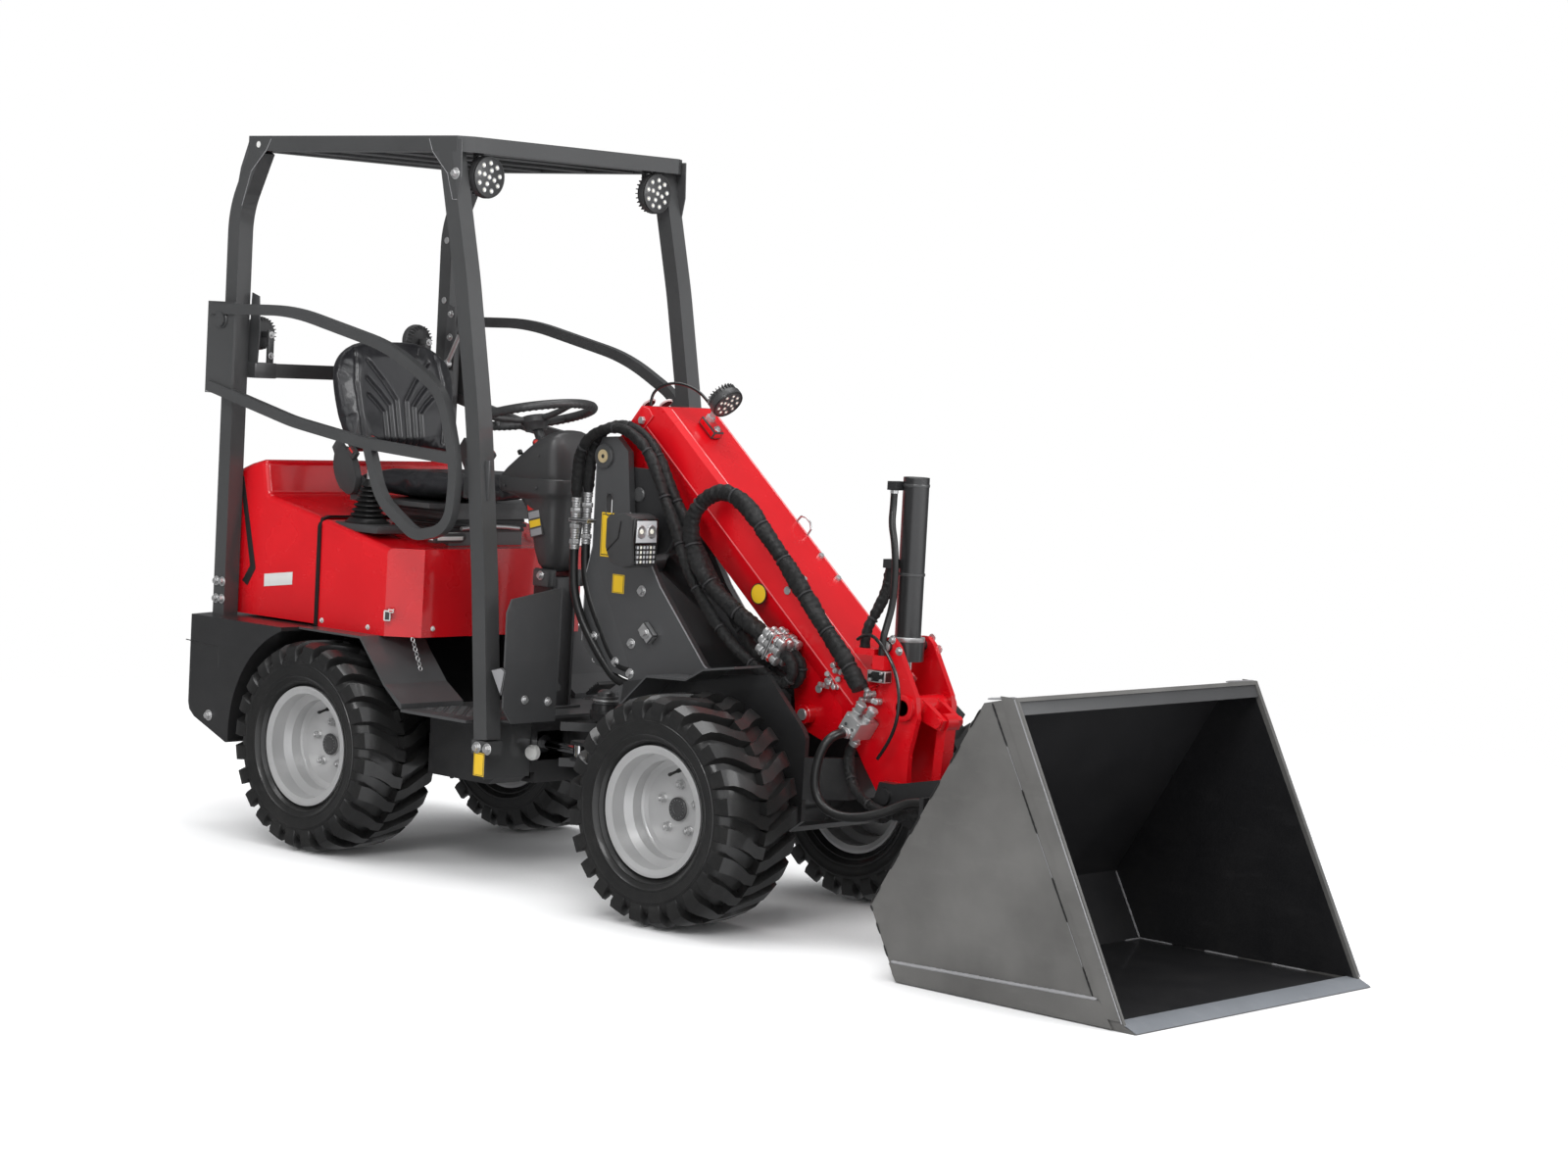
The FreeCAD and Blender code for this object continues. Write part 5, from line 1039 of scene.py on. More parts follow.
@dataclass
class Hydraulics:
    """Hoses, couplings, port fittings and the valve block."""

    coupling_radius: float = 0.013
    random_seed: int = 7

    def hoses(self) -> None:
        """Build every hose along its route."""
        runs = [Hose("hose_tower_near", 0.015, Cover.SLEEVE, [(-458, -155, 1028), (-458, -155, 1086),
            (-452, -160, 1144), (-414, -161, 1194), (-352, -160, 1221), (-286, -160, 1221),
            (-228, -158, 1193), (-184, -154, 1146), (-156, -149, 1088), (-130, -146, 1030),
            (-94, -147, 970), (-60, -151, 910), (-18, -160, 850), (36, -166, 792), (94, -168, 737),
            (152, -167, 688), (212, -163, 650), (262, -155, 625), (301.1, -149, 606.4),
            (329.6, -147, 615.6), (343.1, -146, 642.2), (333.9, -145, 670.4), (308.1, -145, 683.6)], 1.294,
            "front_frame", "boom", *TOWER_BEND), Hose("hose_tower_far", 0.015, Cover.SLEEVE,
            [(-438, -132, 1043), (-438, -132, 1098), (-434, -130, 1154), (-404, -128, 1206),
            (-352, -126, 1230), (-290, -123, 1226), (-234, -120, 1196), (-192, -118, 1150),
            (-160, -116, 1094), (-122, -116, 1036), (-80, -117, 982), (-36, -120, 924), (14, -122, 866),
            (68, -124, 808), (118, -125, 752), (162, -124, 698), (212, -118, 652), (262, -113, 626),
            (301.1, -112, 606.4), (329.6, -112, 615.6), (343.1, -112, 642.2), (333.9, -112, 670.4),
            (308.1, -112, 683.6)], 1.268, "front_frame", "boom", *TOWER_BEND), Hose("hose_boom", 0.022,
            Cover.SLEEVE, [(243.4, -140, 716.6), (202, -140, 737.7), (150, -150, 770), (96, -158, 805),
            (44, -162, 846), (2, -162, 896), (-26, -160, 952), (-28, -155, 1012), (6, -147, 1060),
            (64, -138, 1082), (124, -131, 1060), (176, -127, 1012), (228, -124, 960), (280, -122, 906),
            (328, -121, 856), (374, -121, 806), (420, -121, 758), (466, -121, 712), (512, -121, 664),
            (546, -122, 622)], 1.215, "boom", "telescope", *SLIDE_BEND, strap_gap=0.115),
            Hose("hose_tilt_top", 0.009, Cover.RUBBER, [(557, -46, 1116.4), (557, -46, 1080),
            (564, -58, 1036), (582, -64, 990), (590, -65, 936), (590, -64, 880), (588, -66, 830),
            (586, -80, 784), (586, -94, 746), (586, -94, 708.3)], 0.417, "telescope"),
            Hose("hose_tilt_low", 0.014, Cover.SLEEVE, [(557, -46, 922.6), (557, -46, 890), (552, -56, 850),
            (540, -72, 806), (528, -93, 762), (528, -93, 722.4)], 0.21, "telescope"),
            Hose("hose_hitch_near", 0.012, Cover.RUBBER, [(538.5, -171, 511), (538.5, -198, 511),
            (528, -224, 488), (518, -236, 446), (514, -240, 400), (522, -240, 358), (550, -238, 328),
            (594, -230, 314), (646, -212, 317), (694, -188, 333), (734, -164, 356), (766, -153, 368),
            (795.7, -153, 368)], 0.508, "telescope", "attachment", *TILT_BEND),
            Hose("hose_hitch_far", 0.013, Cover.SLEEVE, [(531.7, -121, 478.5), (518.6, -121, 458.4),
            (527, -127, 430), (542, -136, 398), (568, -144, 368), (608, -147, 344), (656, -147, 328),
            (706, -148, 325), (752, -149, 334), (795.7, -149, 334)], 0.366, "telescope", "attachment",
            *TILT_BEND, strap_gap=0.09), Hose("hose_drop_near", 0.012, Cover.RUBBER,
            [(-458, -155, 888), (-458, -155, 832), (-452, -152, 766), (-426, -147, 702), (-386, -141, 644),
            (-342, -134, 590), (-296, -129, 545), (-249.2, -129, 545)], 0.441, "front_frame"),
            Hose("hose_drop_far", 0.012, Cover.RUBBER, [(-438, -132, 903), (-438, -132, 850),
            (-428, -130, 794), (-402, -129, 738), (-368, -128, 684), (-334, -128, 630), (-292, -128, 584),
            (-249.2, -128, 584)], 0.402, "front_frame"), Hose("lamp_cable", 0.004, Cover.CABLE,
            [(-272, -80, 1283.3), (-272, -80, 1304), (-262, -76, 1326), (-240, -66, 1341),
            (-212, -54, 1348), (-182, -42, 1344), (-154, -33, 1333), (-131.4, -28, 1318.2),
            (-113.1, -28, 1302.7)], 0.219, "boom", facets=10)]
        for run in runs:
            run.build()

    def stack(self, work: Shaper, centre: Point, axis: Point, height: float, steps: int) -> None:
        """Add a screw coupling: a stack of nuts, ferrules and grooved rings.

        Args:
            work: the mesh to add to.
            centre: its lower end.
            axis: its direction.
            height: its length.
            steps: how many rings it has.
        """
        way = Vector(axis).normalized()
        rise = height / steps
        radius = self.coupling_radius
        for step in range(steps):
            foot = Vector(centre) + way * rise * step
            if step % 3 == 1:
                work.lathe([(radius * 1.08, rise * 0.06), (radius * 1.15, rise * 0.2),
                    (radius * 1.15, rise * 0.8), (radius * 1.08, rise * 0.94)], foot, axis, Shade.STEEL, 6,
                    smooth=False)
            else:
                size = radius * (0.98 if step % 3 == 0 else 0.86)
                work.lathe([(size * 0.86, 0), (size, rise * 0.12), (size, rise * 0.42),
                    (size * 0.84, rise * 0.5), (size, rise * 0.58), (size, rise * 0.9),
                    (size * 0.86, rise)], foot, axis, Shade.STEEL, 24)

    def tower_stacks(self) -> None:
        """Dress the two coupling stacks behind the tower."""
        work = Shaper("tower_coupling_rings")
        for centre, low in (((-0.458, -0.155), 0.888), ((-0.438, -0.132), 0.903)):
            self.stack(work, (*centre, low), UP, 0.14, 10)
        work.box((-0.434, -0.146, 0.967), (0.072, 0.05, 0.009), Shade.CAGE)
        work.done("front_frame", "plain_steel", ["tower_couplings"])

    def port_group(self) -> None:
        """Dress the group of screw fittings on the boom's side."""
        work = Shaper("boom_port_fittings")
        rng = random.Random(self.random_seed)
        slope = radians(27)
        way = Vector((cos(slope), 0, -sin(slope)))
        upright = Vector((sin(slope), 0, cos(slope)))
        middle = Vector((0.276, -0.133, 0.7))
        for across in (-0.027, 0, 0.027):
            for up in (-0.024, 0, 0.024):
                back = middle + Vector((0, across, 0)) + upright * up - way * (0.036 + rng.uniform(0, 0.006))
                self.stack(work, back, way, 0.072 + rng.uniform(0, 0.006), 7)
                ring = middle + Vector((0, across, 0)) + upright * up + way * rng.uniform(-0.012, 0.02)
                work.disc(ring, way, 0.0138, 0.006, rng.choice((Shade.SIGNAL, Shade.PALE, Shade.STEEL)))
        turn = tilt(slope)
        work.box((0.276, -0.137, 0.7), (0.008, 0.08, 0.072), Shade.CAGE, turn)
        work.done("boom", "plain_steel", ["boom_couplings"])

    def valve(self) -> None:
        """Dress the valve block and the elbow fittings round it."""
        work = Shaper("valve_block_fittings")
        turn = tilt(radians(33))
        middle = Vector((0.54, -0.125, 0.528))
        size = Vector((0.056, 0.072, 0.052))
        work.box(middle + Vector((0, 0.012, 0)), size, Shade.STEEL, turn, edge=0.003)
        for along in (-0.012, 0.013):
            hole = middle + turn @ Vector((along, -0.0245, -0.002))
            work.disc(hole, (0, -1, 0), 0.0045, 0.001, Shade.CAGE, sides=20)
        for along, across, tall in ((-0.014, -0.004, 0.036), (0.016, 0.008, 0.042)):
            foot = middle + turn @ Vector((along, across, 0.024))
            self.stack(work, foot, turn @ Vector(UP), tall, 5)
        foot = middle + turn @ Vector((0.008, -0.022, -0.015))
        self.stack(work, foot, (0, -1, 0), 0.024, 3)
        foot = middle + turn @ Vector((0.02, 0.004, -0.046))
        self.stack(work, foot, turn @ Vector(UP), 0.022, 3)
        for along in (-0.02, 0.02):
            for up in (-0.018, 0.018):
                work.bolt(middle + turn @ Vector((along, -0.024, up)), (0, -1, 0), 0.006, washer=False)
        work.done("telescope", "plain_steel", ["valve_block"])

    def build(self) -> None:
        """Build the whole of the hydraulics."""
        self.hoses()
        self.tower_stacks()
        self.port_group()
        self.valve()


# ---- wheels


@dataclass
class Wheel:
    """A rim with its nuts and a tyre with its tread."""

    corner: str
    lugs: int = 24
    nuts: int = 5
    nut_circle: float = 0.062
    radius: float = 0.292
    turn: int = 96
    centre: Vector = field(init=False)
    outward: int = field(init=False)

    def __post_init__(self) -> None:
        """Read where the wheel stands."""
        low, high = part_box(f"tyre_{self.corner}")
        self.centre = (Vector(low) + Vector(high)) / 2
        self.outward = -1 if self.centre.y < 0 else 1

    def spot(self, radius: float, across: float, angle: float) -> Vector:
        """Give a point of the wheel from its radius, its place across and its angle."""
        return self.centre + Vector((radius * cos(angle), across * self.outward, radius * sin(angle)))

    def carcass(self, work: Shaper) -> None:
        """Add the tyre's body, with the rings on its side walls.

        Args:
            work: the mesh to add to.
        """
        half = [(0.1545, 0.09), (0.16, 0.0995), (0.1655, 0.1005), (0.1695, 0.0985), (0.172, 0.104),
            (0.1775, 0.114), (0.179, 0.1165), (0.182, 0.1165), (0.184, 0.118), (0.192, 0.1235),
            (0.1935, 0.1262), (0.197, 0.1268), (0.199, 0.1255), (0.21, 0.129), (0.222, 0.1305),
            (0.224, 0.1318), (0.2275, 0.1318), (0.229, 0.13), (0.24, 0.128), (0.25, 0.122), (0.259, 0.112),
            (0.2655, 0.095), (0.2685, 0.06), (0.27, 0.025)]
        profile = [(radius, across) for radius, across in half]
        profile += [(radius, -across) for radius, across in reversed(half)]
        rings = [[self.spot(radius, across, TURN * k / self.turn) for k in range(self.turn)] for radius,
            across in profile]
        work.rings(rings, Shade.TYRE, closed=True)

    def lug(self, work: Shaper, angle: float, side: int) -> None:
        """Add one tread block, bent from the tread's middle over the shoulder.

        Args:
            work: the mesh to add to.
            angle: where it starts.
            side: which half of the tread it is on.
        """
        stations = [(-0.006, 0.262, -0.004, 0.2915, 0.000, 0.016), (0.028, 0.262, 0.028, 0.2915, 0.026,
            0.016), (0.05, 0.262, 0.05, 0.2915, 0.075, 0.0165), (0.078, 0.26, 0.08, 0.2905, 0.13, 0.0185),
            (0.102, 0.252, 0.106, 0.287, 0.165, 0.0205), (0.115, 0.243, 0.1265, 0.2765, 0.178, 0.0205),
            (0.119, 0.232, 0.1328, 0.258, 0.182, 0.019), (0.122, 0.222, 0.1318, 0.236, 0.184, 0.016)]
        rings = []
        for low_y, low_r, top_y, top_r, shift, half in stations:
            ring = []
            for across, radius, spread in ((low_y, low_r, -half - 0.004), (top_y, top_r, -half),
                    (top_y, top_r, half), (low_y, low_r, half + 0.004)):
                place = angle + shift + spread / radius
                ring.append(self.spot(radius, side * across, place))
            rings.append(ring)
        count = len(work.mesh.faces)
        work.rings(rings, Shade.TYRE, smooth=False)
        work.mesh.faces.ensure_lookup_table()
        made = work.mesh.faces[count:]
        edges = [edge for face in made for edge in face.edges if len(edge.link_faces) == 2
            and edge.calc_face_angle(0) > 0.6]
        bmesh.ops.bevel(work.mesh, geom=list(set(edges)), offset=0.0022, segments=1, affect="EDGES",
            clamp_overlap=True)

    def tyre(self) -> None:
        """Build the tyre."""
        work = Shaper(f"treaded_tyre_{self.corner}")
        self.carcass(work)
        for place in range(self.lugs):
            start = TURN * place / self.lugs
            self.lug(work, start, 1)
            self.lug(work, start + pi / self.lugs, -1)
        work.done(f"wheel_{self.corner}", "tyre_rubber", [f"tyre_{self.corner}"], sharp=32)

    def nut(self, work: Shaper, centre: Vector, axis: Point) -> None:
        """Add a wheel nut with its stud, on a flat cone seat.

        Args:
            work: the mesh to add to.
            centre: the middle of its foot.
            axis: the way that it points.
        """
        work.disc(centre, axis, 0.0135, 0.0015, Shade.STEEL, 0.0005, 24)
        work.lathe([(0.0112, 0.001), (0.0112, 0.011), (0.0096, 0.0135)], centre, axis, Shade.STEEL, 6,
            smooth=False)
        work.disc(centre + Vector(axis) * 0.012, axis, 0.0058, 0.008, Shade.STEEL, 0.001, 16)

    def rim_parts(self) -> None:
        """Build the nuts, the hub cap, the weld ring and the valve on the rim."""
        dress(f"rim_{self.corner}", Shade.RIM)
        work = Shaper(f"wheel_nuts_{self.corner}")
        axis = (0, self.outward, 0)
        face = self.centre + Vector(axis) * 0.0092
        for place in range(self.nuts):
            angle = TURN * place / self.nuts + 0.3
            spread = Vector((cos(angle), 0, sin(angle))) * self.nut_circle
            self.nut(work, face + spread, axis)
        cap = self.centre + Vector(axis) * 0.0143
        work.lathe([(0.03, -0.004), (0.03, 0.003), (0.027, 0.0055), (0.013, 0.0065), (0.012, 0.0055),
            (0.004, 0.0055)], cap, axis, Shade.PLASTIC, 40)
        for place in range(16):
            angle = TURN * place / 16
            spread = Vector((cos(angle), 0, sin(angle))) * 0.0225
            work.box(cap + spread + Vector(axis) * 0.006, (0.0022, 0.0012, 0.0022), Shade.PLASTIC,
                tilt(-angle), edge=0.0003)
        weld = self.centre + Vector(axis) * 0.0165
        work.lathe([(0.1262, -0.006), (0.1218, -0.0045), (0.1195, -0.0005), (0.1215, 0.0015),
            (0.1262, 0.004)], weld, axis, Shade.RIM, 96, closed=True)
        valve = self.centre + Vector((0, 0.06 * self.outward, 0)) + Vector((0.045, 0, 0.108))
        work.lathe([(0.0055, 0), (0.0055, 0.012), (0.0036, 0.015), (0.0036, 0.034), (0.0044, 0.035),
            (0.0044, 0.042), (0.003, 0.044)], valve, (0, float(self.outward), -0.25), Shade.HOSE, 16)
        work.done(f"wheel_{self.corner}", "rim_silver")

    def build(self) -> None:
        """Build the wheel's pieces."""
        self.tyre()
        self.rim_parts()


# ---- small hardware


def label(work: Shaper, centre: Point, size: Flat, axis: Point, shade: Shade = Shade.YELLOW) -> None:
    """Add a blank label with a dark border line and a plain field.

    Args:
        work: the mesh to add to.
        centre: its middle, on the surface.
        size: its width and height.
        axis: the way that it faces.
        shade: its colour.
    """
    way = Vector(axis).normalized()
    up = Vector(UP) if abs(way.z) < 0.9 else Vector((1, 0, 0))
    across = up.cross(way).normalized()
    up = way.cross(across)
    plane = Matrix((across, up, way)).transposed()
    for lift, wide, tall, tint in ((0.0004, 1, 1, shade), (0.0006, 0.88, 0.93, Shade.STRIPE),
            (0.0008, 0.82, 0.89, shade)):
        work.box(Vector(centre) + way * lift, (size[0] * wide, size[1] * tall, 0.0008), tint, plane, 0.0002)


def bead(work: Shaper, start: Point, end: Point, radius: float, shade: Shade, seed: int = 3,
        gap: float = 0.0) -> None:
    """Add a weld bead, whole or in stitches.

    Args:
        work: the mesh to add to.
        start: its first point.
        end: its last point.
        radius: its radius.
        shade: its finish.
        seed: chooses the ripple.
        gap: the length of each stitch and of the gap after it; 0 makes it whole.
    """
    rng = random.Random(seed)
    first, last = Vector(start), Vector(end)
    length = (last - first).length
    spans = [(0, length)]
    if gap:
        spans = [(place, min(place + gap, length)) for place in (2 * gap * step
            for step in range(int(length / (2 * gap)) + 1)) if place < length]
    for low, high in spans:
        count = max(3, int((high - low) / 0.006))
        points = [first.lerp(last, (low + (high - low) * step / count) / length) for step in range(count + 1)]
        sizes = [radius * rng.uniform(0.78, 1.1) for _ in points]
        sizes[0] = sizes[-1] = radius * 0.5
        work.rings(tube_rings(points, lambda share: sizes[round(share * count)], 8), shade)


def place_boom(along: float, across: float, above: float) -> Vector:
    """Give a point from its place along the boom, across it and above the boom pin's line.

    Args:
        along: metres along the boom from its pin.
        across: its y.
        above: metres above the pin's line, square to it.

    Returns:
        The point.
    """
    rise, run = sin(BOOM_SLOPE), cos(BOOM_SLOPE)
    ahead, up = along * run + above * rise, above * run - along * rise
    return Vector((BOOM_PIN[0] + ahead, across, BOOM_PIN[1] + up))


BOOM_TURN = tilt(BOOM_SLOPE)
BOOM_UP: Point = (0.6468, 0, 0.7627)
BOOM_AHEAD: Point = (0.7627, 0, -0.6468)
OUT_RIGHT: Point = (0, -1.0, 0)


# ---- soft work


@dataclass
class Pad:
    """A foam pad: a shaped form that is inflated, then gets its sewn channels."""

    name: str
    stations: list[tuple[float, float, float, float, float]]
    channels: list[list[Flat]]
    ahead: bool
    cap: float = 0.012
    voxel: float = 0.0055
    depth: float = 0.0065
    count: int = 48

    def form(self) -> bpy.types.Object:
        """Make the closed start shape from its stations.

        Each station is a centre x, a centre z, a half width, a half depth and how far its flanks
        stand forward.

        Returns:
            The start shape.
        """
        rings = []
        for x, z, wide, deep, wrap in self.stations:
            ring = []
            for angle in angles(self.count):
                y = wide * squared(cos(angle), 0.55)
                out = deep * squared(sin(angle), 0.6)
                out += wrap * (abs(y) / max(wide, 0.001)) ** 3
                ring.append(Vector((x + out, y, z)) if self.ahead else Vector((x, y, z + out)))
            rings.append(ring)
        work = Shaper(self.name)
        work.rings(rings, Shade.VINYL)
        bmesh.ops.recalc_face_normals(work.mesh, faces=work.mesh.faces)
        data = bpy.data.meshes.new(self.name + "_form")
        work.mesh.to_mesh(data)
        work.mesh.free()
        return link(self.name, data)

    def settle(self, piece: bpy.types.Object) -> None:
        """Replace the piece's mesh with its modifiers' result.

        Args:
            piece: the pad.
        """
        bpy.context.view_layer.update()
        graph = bpy.context.evaluated_depsgraph_get()
        result = bpy.data.meshes.new_from_object(piece.evaluated_get(graph))
        piece.modifiers.clear()
        piece.data = result

    def inflate(self, piece: bpy.types.Object) -> None:
        """Blow the pad up with cloth, and hold every point within the cap.

        Args:
            piece: the pad.
        """
        remesh = piece.modifiers.new("skin", "REMESH")
        remesh.mode = "VOXEL"
        remesh.voxel_size = self.voxel
        self.settle(piece)
        rest = [vertex.co.copy() for vertex in piece.data.vertices]
        cloth = piece.modifiers.new("foam", "CLOTH")
        cloth.settings.use_pressure = True
        cloth.settings.uniform_pressure_force = 2.6
        cloth.settings.bending_stiffness = 6.0
        cloth.settings.effector_weights.gravity = 0.0
        scene = bpy.context.scene
        for step in range(1, 16):
            scene.frame_set(step)
        self.settle(piece)
        scene.frame_set(1)
        for vertex, start in zip(piece.data.vertices, rest):
            shift = vertex.co - start
            if shift.length > self.cap:
                vertex.co = start + shift.normalized() * self.cap

    def sew(self, piece: bpy.types.Object) -> None:
        """Press the sewn channels into the pad's face.

        Args:
            piece: the pad.
        """
        relax = piece.modifiers.new("relax", "SMOOTH")
        relax.iterations = 3
        smooth = piece.modifiers.new("fine", "SUBSURF")
        smooth.levels = smooth.render_levels = 1
        self.settle(piece)
        lows = min(vertex.co.z if self.ahead else vertex.co.x for vertex in piece.data.vertices)
        normals = [vertex.normal.copy() for vertex in piece.data.vertices]
        for vertex, normal in zip(piece.data.vertices, normals):
            face = normal.x if self.ahead else normal.z
            if face < 0.25:
                continue
            spot = Vector((abs(vertex.co.y), (vertex.co.z if self.ahead else vertex.co.x) - lows))
            press = 0.0
            for line in self.channels:
                for first, second in zip(line, line[1:]):
                    start, run = Vector(first), Vector(second) - Vector(first)
                    share = max(0, min(1.0, (spot - start).dot(run) / run.length_squared))
                    gap = (spot - start - run * share).length
                    press = max(press, exp(-((gap / 0.0055) ** 2)))
            vertex.co -= normal * press * self.depth * min(1.0, (face - 0.25) * 3)

    def build(self) -> bpy.types.Object:
        """Build the pad.

        Returns:
            The piece.
        """
        piece = self.form()
        self.inflate(piece)
        self.sew(piece)
        piece.data.materials.clear()
        piece.data.materials.append(PALETTE.get(Shade.VINYL))
        for face in piece.data.polygons:
            face.use_smooth = True
        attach(piece, "rear_frame")
        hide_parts("seat_pads")
        LOG.info("%s: %d faces", self.name, len(piece.data.polygons))
        return piece


@dataclass
class Seat:
    """Suspension seat: backrest, cushion, side plates, suspension bellows."""

    rear_axle: float = REAR_AXLE

    def backrest(self) -> None:
        """Build the tall backrest with its forked channels."""
        stations = []
        for step in range(25):
            share = step / 24
            x = self.rear_axle - 0.235 - 0.062 * share
            z = 1.092 + 0.32 * share
            wide = 0.178 + 0.045 * sin(min(1.0, share / 0.62) * pi / 2)
            if share > 0.62:
                wide *= sqrt(max(0, 1 - ((share - 0.62) / 0.405) ** 2.6))
            ends = min(1.0, 0.3 + share / 0.06, 0.25 + (1 - share) / 0.06)
            stations.append((x, z, max(wide, 0.05), 0.03 * ends, 0.022))
        flutes = [[(0.016, 0.02), (0.018, 0.15), (0.06, 0.205), (0.115, 0.262)],
            [(0.042, 0.02), (0.044, 0.135), (0.078, 0.172), (0.122, 0.212)], [(0.066, 0.02), (0.068, 0.115),
            (0.092, 0.14), (0.122, 0.164)], [(0.15, 0.03), (0.16, 0.12), (0.166, 0.2), (0.15, 0.3)]]
        Pad("seat_backrest", stations, flutes, ahead=True).build()

    def cushion(self) -> None:
        """Build the seat cushion with its cross channels."""
        stations = []
        for step in range(23):
            share = step / 22
            x = self.rear_axle - 0.15 + 0.375 * share
            wide = 0.214 - 0.02 * share ** 3
            ends = min(1.0, 0.35 + share / 0.08, 0.3 + (1 - share) / 0.1)
            stations.append((x, 1.013 + 0.006 * share, wide, 0.027 * ends, 0.012))
        channels = [[(0, where), (0.13, where)] for where in (0.08, 0.135, 0.19, 0.245)]
        channels.append([(0.15, 0.03), (0.155, 0.2), (0.145, 0.34)])
        Pad("seat_cushion", stations, channels, ahead=False).build()

    def fittings(self) -> None:
        """Build the belt housings, the buckle, the suspension bellows and the slide bar."""
        work = Shaper("seat_fittings")
        x = self.rear_axle
        for side in SIDES:
            outline = [(x - 0.148 + 0.046 * cos(angle) - 0.02 * sin(angle), side * 0.2445,
                1.045 + 0.068 * sin(angle)) for angle in angles(28)]
            work.prism(outline, (0, side * 0.022, 0), Shade.PLASTIC, edge=0.006)
            work.box((x - 0.118, side * 0.262, 1.098), (0.038, 0.016, 0.024), Shade.PLASTIC, tilt(0.7),
                0.004)
            work.box((x - 0.116, side * 0.264, 1.103), (0.026, 0.018, 0.012), Shade.SIGNAL, tilt(0.7),
                0.003)
        for step in range(5):
            level = 0.898 + step * 0.0125
            grow = 0.006 if step % 2 else 0.0
            work.box((x + 0.05, 0, level), (0.228 + grow, 0.292 + 2 * grow, 0.0115), Shade.HOSE, edge=0.005)
        work.box((x + 0.052, 0, 0.946), (0.262, 0.332, 0.012), Shade.PLASTIC, edge=0.005)
        work.tube([(x + 0.178, y, 0.906 + 0.004 * cos(y * 20)) for y in (-0.11, -0.06, 0, 0.06, 0.11)],
            0.006, Shade.STEEL)
        work.box((x + 0.2, -0.185, 0.88), (0.034, 0.112, 0.028), Shade.PALE, edge=0.009)
        work.box((x + 0.186, -0.12, 0.882), (0.03, 0.02, 0.016), Shade.PLASTIC, edge=0.004)
        work.done("rear_frame", "black_plastic")

    def build(self) -> None:
        """Build the seat."""
        self.backrest()
        self.cushion()
        self.fittings()


# ---- controls


